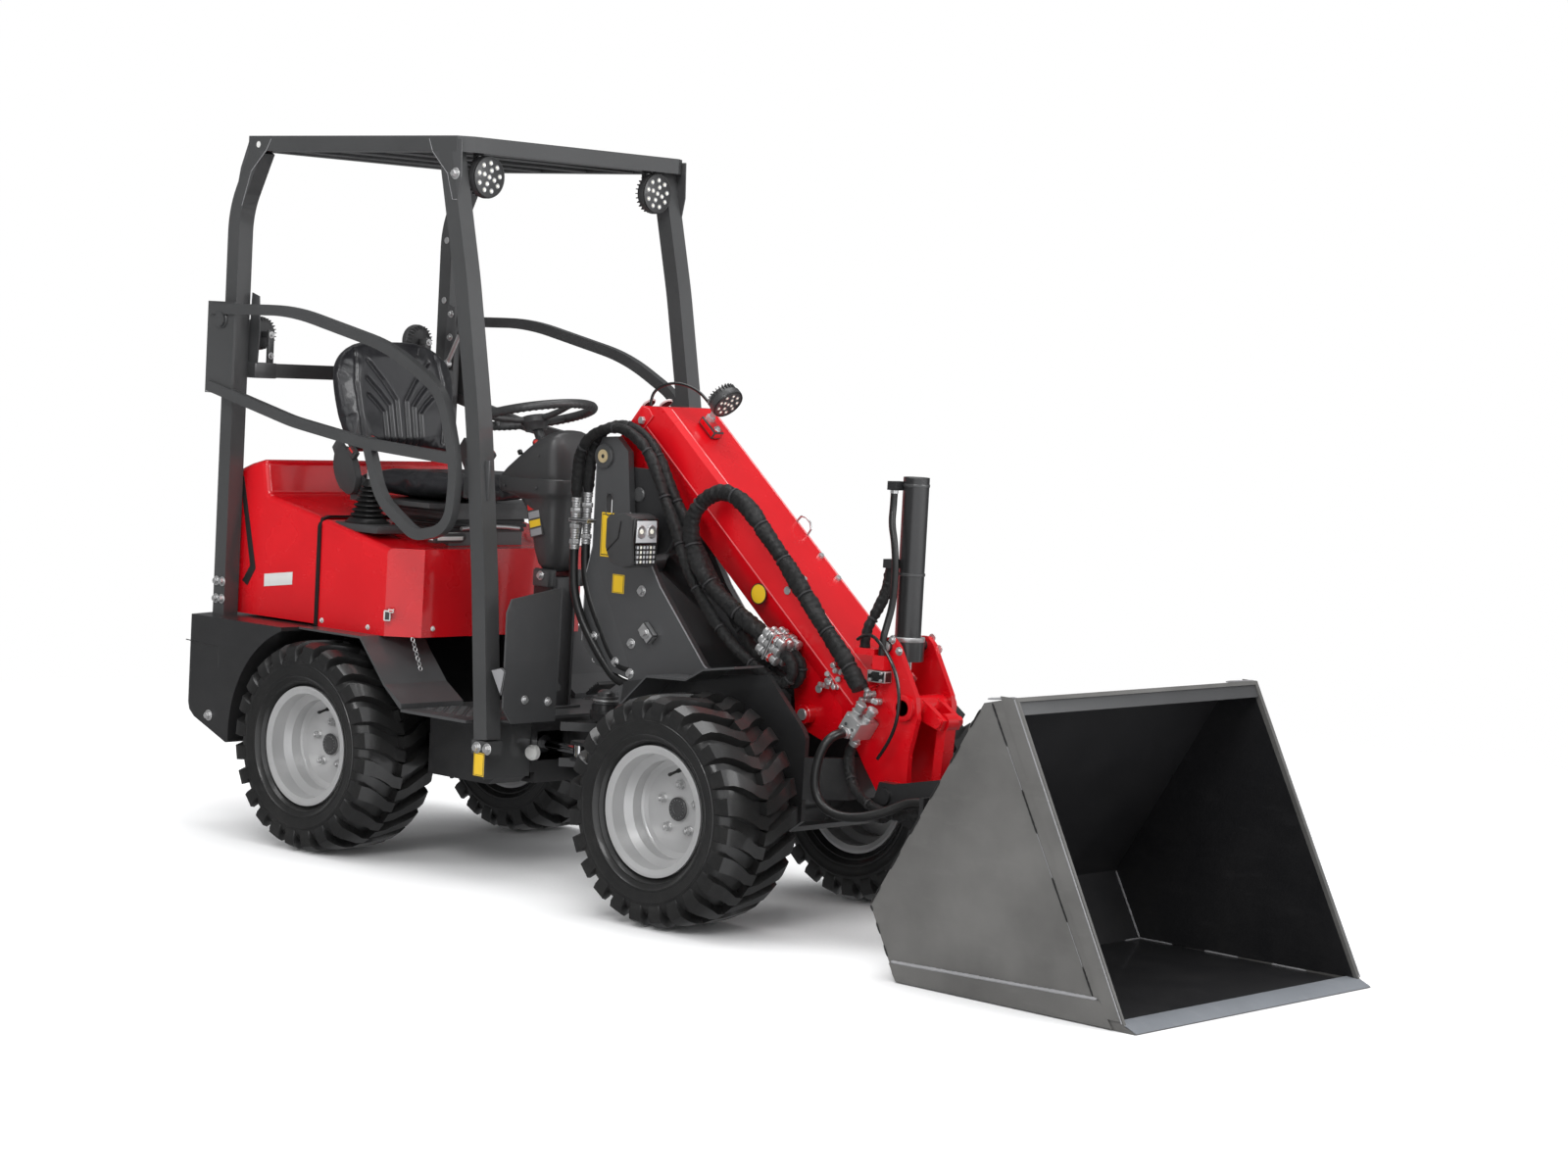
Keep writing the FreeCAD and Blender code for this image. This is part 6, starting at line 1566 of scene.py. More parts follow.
@dataclass
class Controls:
    """Joystick on its bellows, the steering wheel and the column's trim."""

    rear_axle: float = REAR_AXLE
    wheel_radius: float = 0.178
    grip_radius: float = 0.0135
    rake: float = -14.0

    def joystick(self) -> None:
        """Build the lever pod, the square bellows and the grip."""
        work = Shaper("joystick_boot")
        x, y = self.rear_axle + 0.005, -0.305
        work.box((self.rear_axle + 0.015, y, 0.896), (0.186, 0.106, 0.024), Shade.PLASTIC, edge=0.008)
        folds = [(0.056, 0.906), (0.058, 0.911), (0.05, 0.916), (0.047, 0.921)]
        for step in range(7):
            size, level = 0.045 - 0.0042 * step, 0.924 + 0.0135 * step
            folds += [(size - 0.008, level), (size, level + 0.005), (size - 0.0005, level + 0.008)]
        folds += [(0.012, 1.022), (0.009, 1.03)]
        rings = []
        for size, level in folds:
            rings.append([Vector((x + size * squared(cos(angle), 0.62), y + size * 0.92
                * squared(sin(angle), 0.62), level)) for angle in angles(40)])
        work.rings(rings, Shade.HOSE)
        work.lathe([(0.0065, 0), (0.0065, 0.062)], (x, y, 1.024), UP, Shade.STEEL, 16)
        work.lathe([(0.01, 0), (0.014, 0.006), (0.0145, 0.022), (0.0175, 0.038), (0.0205, 0.052),
            (0.0195, 0.062), (0.013, 0.069), (0.004, 0.0705)], (x, y, 1.078), UP, Shade.PLASTIC, 28)
        work.disc((x, y + 0.006, 1.1455), UP, 0.005, 0.004, Shade.SIGNAL, sides=16)
        work.done("rear_frame", "black_plastic", ["joystick"])

    def steering_wheel(self) -> None:
        """Build the wheel with its finger ridges, spokes, hub and spinner knob."""
        work = Shaper("steering_wheel_grip")
        turn = tilt(radians(self.rake))
        centre = Vector((self.rear_axle + 0.335, 0, 1.232))

        def put(x: float, y: float, z: float) -> Vector:
            """Give a row point from the wheel's own axes."""
            return centre + turn @ Vector((x, y, z))

        rings = []
        middle = self.wheel_radius - self.grip_radius - 0.0005
        for angle in angles(180):
            ridge = 0.0011 * cos(angle * 60)
            ring = []
            for around in angles(14):
                size = self.grip_radius + (ridge if sin(around) < 0.2 else 0) - 0.0008
                radius = middle + size * cos(around)
                ring.append(put(radius * cos(angle), radius * sin(angle), size * sin(around)))
            rings.append(ring)
        work.rings(rings, Shade.PLASTIC, closed=True)
        for angle in (pi / 2 + 0.25, -pi / 2 - 0.25, 0):
            points = [put(radius * cos(angle), radius * sin(angle), level) for radius,
                level in ((0.026, -0.014), (0.06, -0.013), (0.1, -0.009), (0.135, -0.003), (0.158, 0))]
            work.rings(tube_rings(points, lambda share: 0.0095 - 0.002 * share, 12), Shade.PLASTIC)
        axis = turn @ Vector(UP)
        work.lathe([(0.03, -0.044), (0.034, -0.03), (0.04, -0.022), (0.04, -0.008), (0.034, -0.003),
            (0.018, -0.0015), (0.016, -0.003), (0.004, -0.003)], centre, axis, Shade.PLASTIC, 40)
        knob = put(-0.15, 0, 0)
        work.lathe([(0.0085, -0.004), (0.0085, 0.013), (0.014, 0.016), (0.021, 0.024), (0.0215, 0.034),
            (0.019, 0.043), (0.012, 0.0485), (0.004, 0.0495)], knob, axis, Shade.PLASTIC, 32)
        work.done("steering_wheel", "black_plastic", ["steering_wheel"])

    def column(self) -> None:
        """Build the column: its pod, the screws, the foot, the switches and the bars on its side."""
        work = Shaper("column_pod")
        x = self.rear_axle
        levels = [(0.806, 0.434, 0.466, 0.02), (0.811, 0.424, 0.477, 0.036), (0.828, 0.414, 0.488, 0.05),
            (0.862, 0.405, 0.495, 0.06), (0.92, 0.393, 0.499, 0.067), (0.975, 0.37, 0.503, 0.072),
            (1.004, 0.345, 0.506, 0.077), (1.012, 0.312, 0.508, 0.085), (1.019, 0.276, 0.512, 0.0935),
            (1.026, 0.266, 0.514, 0.0955), (1.05, 0.263, 0.517, 0.0955), (1.06, 0.266, 0.517, 0.095),
            (1.063, 0.27, 0.515, 0.0925), (1.066, 0.274, 0.516, 0.094), (1.085, 0.296, 0.516, 0.0935),
            (1.115, 0.34, 0.515, 0.092), (1.145, 0.385, 0.512, 0.088), (1.17, 0.425, 0.508, 0.08),
            (1.186, 0.452, 0.502, 0.064), (1.195, 0.468, 0.494, 0.036), (1.1975, 0.476, 0.488, 0.012)]
        rings = []
        for level, low, high, wide in levels:
            middle, deep = x + (low + high) / 2, (high - low) / 2
            rings.append([Vector((middle + deep * squared(cos(angle), 0.62), wide * squared(sin(angle),
                0.62), level)) for angle in angles(64)])
        work.rings(rings, Shade.PLASTIC)
        for side in SIDES:
            for u, z, y in ((0.33, 1.036, 0.095), (0.455, 1.036, 0.0945), (0.455, 1.125, 0.0905)):
                work.bolt((x + u, side * y, z), (0, side, 0), 0.006, Shade.CAGE, washer=False)
            work.box((x + 0.45, side * 0.04, 0.622), (0.078, 0.008, 0.384), Shade.CHASSIS, edge=0.002)
            work.box((x + 0.462, side * 0.056, 0.79), (0.062, 0.026, 0.046), Shade.CAGE, edge=0.004)
            for z in (0.797, 0.52):
                work.bolt((x + 0.462, side * (0.069 if z > 0.6 else 0.044), z), (0, side, 0), 0.014)
        work.box((x + 0.452, 0, 0.612), (0.056, 0.076, 0.362), Shade.CHASSIS, edge=0.006)
        work.box((x + 0.442, 0, 0.434), (0.11, 0.15, 0.007), Shade.CHASSIS, edge=0.002)
        work.lathe([(0.026, -0.01), (0.026, 0.012), (0.022, 0.018), (0.015, 0.02)], (x + 0.372, 0, 1.15),
            (-0.24, 0, 0.97), Shade.PLASTIC, 32)
        work.tube([(x + 0.375, 0, 1.15), (x + 0.347, 0, 1.2)], 0.014, Shade.PLASTIC, 20)
        for k, (u, y) in enumerate(((0.405, -0.055), (0.405, 0.055), (0.355, -0.066))):
            work.lathe([(0.007, -0.004), (0.007, 0.006), (0.0045, 0.008)],
                (x + u, y, 1.158 - 0.03 * (k == 2)), (-0.57, 0, 0.82), Shade.GLOSSY if k else Shade.SIGNAL,
                16)
        turn = tilt(radians(-14))
        work.box((x + 0.43, -0.0692, 0.95), (0.05, 0.005, 0.096), Shade.CAGE, turn, 0.0015)
        for row, shade in enumerate((Shade.SIGNAL, Shade.FOLD, Shade.YELLOW, Shade.FOLD)):
            spot = Vector((x + 0.43, -0.0716, 0.95)) + turn @ Vector((0, 0, 0.036 - 0.024 * row))
            work.box(spot, (0.042, 0.0012, 0.019), shade, turn, 0)
        work.done("rear_frame", "black_plastic", ["steering_column"])

    def build(self) -> None:
        """Build the controls."""
        self.joystick()
        self.steering_wheel()
        self.column()


# ---- lamps


@dataclass
class Lamps:
    """Work lamps, headlamps and the lamp on the boom."""

    chips: int = 12

    def round_lamp(self, work: Shaper, face: Vector, axis: Vector, radius: float, depth: float) -> None:
        """Add a round lamp: finned back, rim, lens and its chips.

        Args:
            work: the mesh to add to.
            face: the middle of its front.
            axis: the way that it shines.
            radius: its radius.
            depth: its depth without the fins.
        """
        way = axis.normalized()
        work.lathe([(radius - 0.004, 0), (radius - 0.001, -0.002), (radius, -0.005), (radius, -depth * 0.5),
            (radius - 0.006, -depth * 0.62), (radius - 0.01, -depth)], face, way, Shade.PLASTIC, 56)
        work.lathe([(radius - 0.0055, -0.003), (radius - 0.0045, 0.0006), (radius - 0.002, 0.001),
            (radius - 0.0012, -0.001)], face, way, Shade.GLOSSY, 56, closed=True)
        work.disc(face - way * 0.003, way, radius - 0.006, 0.0022, Shade.DISH, 0.0006, 56)
        side = way.orthogonal().normalized()
        third = way.cross(side)
        spots = [(0, 0)] + [(0.38, TURN * k / 4 + 0.4) for k in range(4)]
        spots += [(0.74, TURN * k / 9) for k in range(9)]
        for share, angle in spots[:self.chips + 2]:
            middle = face + (side * cos(angle) + third * sin(angle)) * share * (radius - 0.006)
            work.lathe([(radius * 0.125, 0), (radius * 0.118, 0.0014), (radius * 0.072, 0.0008)],
                middle - way * 0.0008, way, Shade.STEEL, 16)
            work.disc(middle - way * 0.0006, way, radius * 0.062, 0.0018, Shade.LED, 0.0005, 12)
        for angle in angles(26):
            out = side * cos(angle) + third * sin(angle)
            across = way.cross(out)
            turn = Matrix((out, across, way)).transposed()
            middle = face + out * (radius - 0.009) - way * (depth * 0.78)
            work.box(middle, (0.012, 0.0026, depth * 0.55), Shade.PLASTIC, turn, 0.0006)

    def work_lamps(self) -> None:
        """Build the four round lamps with their brackets."""
        work = Shaper("work_lamp_set")
        for side in SIDES:
            for ahead, y, z, axis, radius in ((0.454, 0.321, 1.866, 1, 0.057), (-0.518, 0.3, 1.415, -1,
                    0.048)):
                face = Vector((REAR_AXLE + ahead, side * y, z))
                self.round_lamp(work, face, Vector((axis, 0, 0)), radius, 0.032)
            for ahead, y, z, size, edge in ((0.408, 0.321, 1.899, (0.01, 0.032, 0.056), 0.003),
                    (0.415, 0.321, 1.868, (0.016, 0.05, 0.02), 0.003),
                    (-0.455, 0.3, 1.376, (0.008, 0.022, 0.1), 0.002),
                    (-0.468, 0.3, 1.412, (0.032, 0.018, 0.018), 0.003)):
                work.box((REAR_AXLE + ahead, side * y, z), size, Shade.CAGE, edge=edge)
            for ahead, y, z, across in ((0.4135, 0.321, 1.912, 0.012), (-0.4505, 0.3, 1.412, 0.011),
                    (-0.4505, 0.3, 1.352, 0.011)):
                work.bolt((REAR_AXLE + ahead, side * y, z), (1, 0, 0), across)
        work.done("rear_frame", "black_plastic", ["work_lights"])

    def headlamps(self) -> None:
        """Build the two headlamp units: housing, clear upper lens, ribbed lower lens, arm."""
        work = Shaper("headlamp_units")
        front = 0.206
        for side in SIDES:
            near, far = side * 0.162, side * 0.256
            shell = at(near, ((0.448, 0.912), (0.448, 0.988), (0.436, 0.999), (0.382, 1.006), (0.358, 1.0),
                (0.352, 0.986), (0.347, 0.872), (0.38, 0.863), (0.428, 0.872)), front, -1)
            work.prism(shell, (0, far - near, 0), Shade.PLASTIC, 0.006)
            groove = at(side * 0.2566, ((0.44, 0.905), (0.4, 0.94), (0.392, 0.985)), front, -1)
            work.tube(groove, 0.0022, Shade.STRIPE, 8)
            lean = tilt(radians(3.0))
            middle = side * 0.209
            frame = [(front - 0.3505, middle + y, z) for y, z in ((-0.044, 0.995), (0.044, 0.995),
                (0.046, 0.94), (0.041, 0.872), (-0.041, 0.872), (-0.046, 0.94))]
            work.prism(frame, (0.0045, 0, 0), Shade.GLOSSY, 0.002)
            upper = [(front - 0.3475, middle + y, z) for y, z in ((-0.038, 0.99), (0.038, 0.99),
                (0.04, 0.93), (-0.04, 0.93))]
            work.prism(upper, (0.0035, 0, 0), Shade.LENS, 0.0025)
            for y, size in ((-0.019, 0.018), (0.019, 0.018)):
                work.lathe([(size, 0), (size * 0.85, 0.0022), (size * 0.4, 0.0004)],
                    (front - 0.3442, middle + y, 0.96), (1, 0, 0.05), Shade.STEEL, 28)
                work.disc((front - 0.344, middle + y, 0.96), (1, 0, 0.05), 0.006, 0.0022, Shade.LED, sides=20)
            for row in range(4):
                for column in range(6):
                    work.box((front - 0.3466, middle - 0.03 + 0.012 * column, 0.919 - 0.0125 * row),
                        (0.006, 0.011, 0.0112), Shade.LED if column in (1, 4) else Shade.LENS, lean, 0.002)
            work.box((front - 0.42, side * 0.15, 0.935), (0.038, 0.024, 0.038), Shade.CAGE, edge=0.004)
            work.bolt((front - 0.42, side * 0.1622, 0.995), UP, 0.01, Shade.CAGE)
        work.done("front_frame", "black_plastic", ["headlights"])

    def boom_lamp(self) -> None:
        """Build the lamp on its clamp on the boom, with its nut."""
        work = Shaper("boom_lamp_unit")
        face = place_boom(0.1335, 0, 0.318)
        self.round_lamp(work, face, Vector(BOOM_AHEAD), 0.0455, 0.036)
        foot = place_boom(0.112, 0, 0.2205)
        work.box(place_boom(0.131, 0, 0.2325), (0.066, 0.036, 0.022), Shade.RED, BOOM_TURN, 0.004)
        work.lathe([(0.0085, 0.02), (0.0085, 0.052), (0.012, 0.056), (0.012, 0.064), (0.007, 0.067)], foot,
            BOOM_UP, Shade.STEEL, 24)
        work.lathe([(0.013, 0.0235), (0.013, 0.034)], foot, BOOM_UP, Shade.STEEL, 6, smooth=False)
        work.bolt(place_boom(0.15, 0, 0.2438), BOOM_UP, 0.011)
        work.done("boom", "black_plastic", ["boom_lamp"])

    def build(self) -> None:
        """Build every lamp."""
        self.work_lamps()
        self.headlamps()
        self.boom_lamp()


# ---- boom and tower


@dataclass
class BoomTrim:
    """Bolts, raised fold beads in a lighter red that paint the folds' highlights, openings and the round
    label on the boom.
    """

    half: float = 0.095
    top: float = 0.22
    fold: float = 0.133
    length: float = 1.045

    def build(self) -> None:
        """Build the boom's trim."""
        work = Shaper("boom_trim")
        for side in SIDES:
            # raised beads along the side fold and the top edge; their lighter red is a painted highlight
            line = [place_boom(along, side * (self.half - 0.0024), self.fold) for along in (0, 0.5, 1.035)]
            work.tube(line, 0.0034, Shade.EDGE, 10)
            line = [place_boom(along, side * (self.half - 0.0155), self.top - 0.0028) for along in (0.05,
                0.5, 1.035)]
            work.tube(line, 0.0036, Shade.EDGE, 10)
            work.bolt(place_boom(0.006, side * self.half, 0.138), (0, side, 0), 0.019)
            for along, above in ((0.681, 0.181), (0.93, 0.08)):
                work.disc(place_boom(along, side * self.half, above), (0, side, 0), 0.0105, 0.004,
                    Shade.STEEL, sides=24)
            plate = [place_boom(along, side * self.half, above) for along, above in ((-0.02, 0.118),
                (-0.022, 0.164), (0.000, 0.176), (0.026, 0.172), (0.024, 0.12))]
            work.prism(plate, (0, side * 0.005, 0), Shade.RED, 0.0015)
            for along in (0.6, 0.682):
                work.bolt(place_boom(along, side * 0.066, self.top), BOOM_UP, 0.014, washer=False)
        for across in (-0.045, 0.02):
            middle = Vector((-0.33, across, 1.2665)) + Vector((0.018, 0, 0.021))
            work.lathe([(0.0165, -0.002), (0.0195, 0.001), (0.0195, 0.003), (0.0165, 0.004)], middle,
                (-0.65, 0, 0.76), Shade.PALE, 32, closed=True)
            work.disc(middle, (-0.65, 0, 0.76), 0.0165, 0.0012, Shade.STRIPE, sides=32)
        spot = (0.163, -self.half, 0.823)
        work.disc(spot, OUT_RIGHT, 0.0275, 0.0008, Shade.STRIPE, 0.0002, 48)
        work.disc((spot[0], spot[1] - 0.0003, spot[2]), OUT_RIGHT, 0.0245, 0.0008, Shade.YELLOW, 0.0002, 48)
        loop = [place_boom(along, 0.078, above) for along, above in ((0.47, 0.218), (0.472, 0.24),
            (0.486, 0.25), (0.506, 0.25), (0.52, 0.24), (0.522, 0.218))]
        work.tube(loop, 0.0028, Shade.STEEL, 10)
        lug = Vector((0.346, -0.101, 0.533))
        work.lathe([(0.0245, 0), (0.0245, 0.004), (0.0225, 0.006), (0.0155, 0.006)], lug, OUT_RIGHT,
            Shade.RED, 40)
        work.disc(lug + Vector((0, -0.004, 0)), OUT_RIGHT, 0.015, 0.007, Shade.STEEL, sides=36)
        for side in SIDES:
            work.box(place_boom(self.length - 0.004, side * 0.062, self.top + 0.002), (0.02, 0.03, 0.004),
                Shade.RED, BOOM_TURN, 0.001)
        work.done("boom", "red_paint")


@dataclass
class HeadTrim:
    """Screw fittings, port block, pins and cap rings on the boom head and the tilt cylinder."""

    plate: float = 0.077
    random_seed: int = 11

    def fitting(self, work: Shaper, centre: Point, axis: Point, length: float, size: float) -> None:
        """Add a small screw fitting: hexagon, collar and ferrule.

        Args:
            work: the mesh to add to.
            centre: the middle of its foot.
            axis: the way that it points.
            length: its length.
            size: its radius.
        """
        way = Vector(axis).normalized()
        work.lathe([(size * 1.15, 0), (size * 1.15, length * 0.3)], centre, axis, Shade.STEEL, 6,
            smooth=False)
        foot = Vector(centre) + way * length * 0.3
        work.lathe([(size * 0.8, 0), (size, length * 0.1), (size, length * 0.25),
            (size * 0.78, length * 0.3), (size * 0.95, length * 0.4), (size * 0.95, length * 0.65),
            (size * 0.7, length * 0.7)], foot, axis, Shade.STEEL, 18)

    def clusters(self, work: Shaper) -> None:
        """Add the two groups of fittings on the boom's flank by the head.

        Args:
            work: the mesh to add to.
        """
        rng = random.Random(self.random_seed)
        for middle, count in (((0.452, 0.66), 6), ((0.425, 0.622), 6), ((0.56, 0.6), 5)):
            for step in range(count):
                x = middle[0] + 0.019 * (step % 3 - 1) + rng.uniform(-0.003, 0.003)
                z = middle[1] + 0.02 * (step // 3) - 0.01 + rng.uniform(-0.003, 0.003)
                axis = (rng.uniform(-0.5, 0.5), -1.0, rng.uniform(-0.2, 0.6))
                self.fitting(work, (x, -self.plate - 0.001, z), axis, 0.03, 0.0075)

    def build(self) -> None:
        """Build the head's trim, the tilt cylinder's trim and the looping thin cable."""
        work = Shaper("head_trim")
        self.clusters(work)
        for side in SIDES:
            for x, z, reach in ((0.656, 0.583, 0.0855), (0.641, 0.363, 0.0835)):
                work.lathe([(0.0335, 0), (0.0335, 0.0015), (0.03, 0.003), (0.0225, 0.003)],
                    (x, side * reach, z), (0, side, 0), Shade.RED, 40)
            work.lathe([(0.013, 0), (0.013, 0.004), (0.009, 0.006)], (0.589, side * 0.0818, 0.73),
                (0, side, 0), Shade.STEEL, 28)
            for x, z in ((0.604, 0.748), (0.628, 0.722)):
                work.bolt((x, side * self.plate, z), (0, side, 0), 0.012)
        work.box((0.581, -0.092, 0.655), (0.058, 0.028, 0.03), Shade.GLOSSY, edge=0.003)
        for x in (0.563, 0.599):
            for z in (0.646, 0.664):
                work.bolt((x, -0.106, z), OUT_RIGHT, 0.008, washer=False)
        cable = Hose("head_cable", 0.0045, Cover.CABLE, [(520, -112, 742), (560, -122, 768),
            (617, -126, 735), (660, -124, 678), (676, -122, 612), (668, -120, 548), (640, -116, 492),
            (606, -112, 452)], 0, "telescope", facets=10)
        work.rings(tube_rings(cable.line(), lambda _: cable.radius, cable.facets), Shade.GLOSSY)
        work.done("telescope", "plain_steel")
        rings = Shaper("tilt_cylinder_trim")
        for profile, shade, closed in (([(0.0335, 1.15), (0.0305, 1.1525), (0.01, 1.1525)], Shade.GLOSSY,
                False), ([(0.0338, 1.128), (0.0345, 1.13), (0.0345, 1.134), (0.0338, 1.136)], Shade.CAGE,
                True), ([(0.0335, 0.752), (0.042, 0.7525), (0.0436, 0.7505), (0.0436, 0.742),
                (0.0425, 0.74)], Shade.STEEL, False), ([(0.0335, 0.905), (0.035, 0.906), (0.035, 0.912),
                (0.0335, 0.913)], Shade.CAGE, True)):
            rings.lathe(profile, (0.589, 0, 0), UP, shade, 48, closed=closed)
        for low in (1.118, 0.923):
            rings.lathe([(0.0105, 0), (0.0105, 0.012), (0.0125, 0.013), (0.0125, 0.024)],
                (0.557, -0.046, low - 0.008), UP, Shade.STEEL, 6, smooth=False)
        rings.done("telescope", "black_paint")

    def __post_init__(self) -> None:
        """Keep the plates' outer face where the CAD has it."""
        self.plate = min(self.plate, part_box("boom_head")[1][1])


@dataclass
class TowerTrim:
    """Pin washers, slots, labels and bolts on the tower and the front frame."""

    face: float = 0.138

    def build(self) -> None:
        """Build the tower's trim."""
        work = Shaper("tower_trim")
        for side in SIDES:
            out = (0, side, 0)
            pin = Vector((BOOM_PIN[0], side * 0.146, BOOM_PIN[1]))
            work.lathe([(0.0315, -0.006), (0.0325, -0.002), (0.03, 0.0012), (0.018, 0.0016)], pin, out,
                Shade.CAGE, 40)
            work.lathe([(0.018, 0), (0.0175, 0.0034), (0.012, 0.0042), (0.006, 0.0022)], pin, out,
                Shade.BRASS, 36)
            work.disc(pin + Vector((0, side * 0.0006, 0)), out, 0.0058, 0.0022, Shade.STRIPE, sides=20)
            slot = [Vector((-0.35 + 0.0125 * cos(angle), side * self.face, 1.015 + 0.0125 * sin(angle)
                + (0.0175 if sin(angle) > 0 else -0.0175))) for angle in angles(28)]
            work.tube([*slot, slot[0]], 0.0018, Shade.CAGE, 8)
            for x, z, across in ((-0.214, 0.797, 0.016), (-0.243, 0.655, 0.015), (-0.1, 0.575, 0.015),
                    (0.01, 0.575, 0.015), (-0.242, 0.575, 0.015)):
                work.bolt((x, side * self.face, z), out, across)
            # thin pale grey line along a fold of the plate: a painted highlight
            work.tube(at(side * (self.face - 0.0012), ((-0.272, 1.0), (-0.149, 0.815), (0.024, 0.623),
                (0.056, 0.608))), 0.0022, Shade.FOLD, 8)
            web = at(side * 0.1185, ((-0.4055, 0.9), (-0.428, 0.82), (-0.43, 0.64), (-0.372, 0.585),
                (-0.2492, 0.56), (-0.2492, 0.6005)))
            work.prism(web, (0, side * 0.019, 0), Shade.GRAPHITE, 0.0015)
            # thin pale grey line along the plate's rear edge: a painted highlight
            work.tube(at(side * (self.face - 0.0012), ((-0.43, 0.645), (-0.428, 0.82), (-0.406, 0.9),
                (-0.406, 1.15))), 0.0018, Shade.FOLD, 8)
            for x, z in ((-0.385, 0.66), (-0.3, 0.6)):
                work.bolt((x, side * (self.face - 0.0006), z), out, 0.014)
            work.lathe([(0.018, 0), (0.018, 0.006), (0.012, 0.008)], (-0.264, side * 0.144, 0.877), out,
                Shade.STEEL, 32)
            arm = at(side * 0.107, ((-0.33, 1.12), (-0.222, 1.118), (-0.186, 1.08), (-0.15, 1.01),
                (-0.12, 0.95), (-0.15, 0.905), (-0.205, 0.89), (-0.3, 0.98)))
            work.prism(arm, (0, side * 0.009, 0), Shade.CHASSIS, 0.0015)
            for x, z in ((-0.262, 1.048), (-0.205, 0.945)):
                work.lathe([(0.02, -0.01), (0.02, 0.003), (0.017, 0.006), (0.01, 0.006)],
                    (x, side * 0.115, z), out, Shade.CAGE, 32)
        label(work, (-0.353, -self.face, 0.935), (0.046, 0.118), OUT_RIGHT)
        label(work, (-0.302, -self.face, 0.808), (0.044, 0.05), OUT_RIGHT)
        work.box((-0.176, -0.148, 0.69), (0.052, 0.02, 0.034), Shade.STEEL, tilt(0.75), 0.003)
        work.bolt((-0.176, -0.158, 0.69), OUT_RIGHT, 0.017)
        for level in (0.462, 0.47, 0.478):
            work.lathe([(0.034, 0), (0.036, 0.002), (0.036, 0.005), (0.034, 0.007)], (-0.464, 0, level),
                (0, 0, 1), Shade.STEEL if level == 0.47 else Shade.CAGE, 40)
        work.lathe([(0.025, 0.484), (0.024, 0.494), (0.015, 0.501), (0.004, 0.502)], (-0.464, 0, 0),
            (0, 0, 1), Shade.CAGE, 36)
        work.done("front_frame", "black_paint")
        pipes = Shaper("front_frame_pipes")
        for across, level in ((-0.06, 0.3), (-0.03, 0.296), (0.02, 0.302), (0.06, 0.297)):
            pipes.tube([(-0.24, across, level), (-0.05, across, level + 0.004),
                (0.08, across, level + 0.03), (0.13, across, level + 0.02)], 0.009, Shade.HOSE, 12)
        pipes.done("front_frame", "hose_sleeve")


# ---- cage, hood and chassis


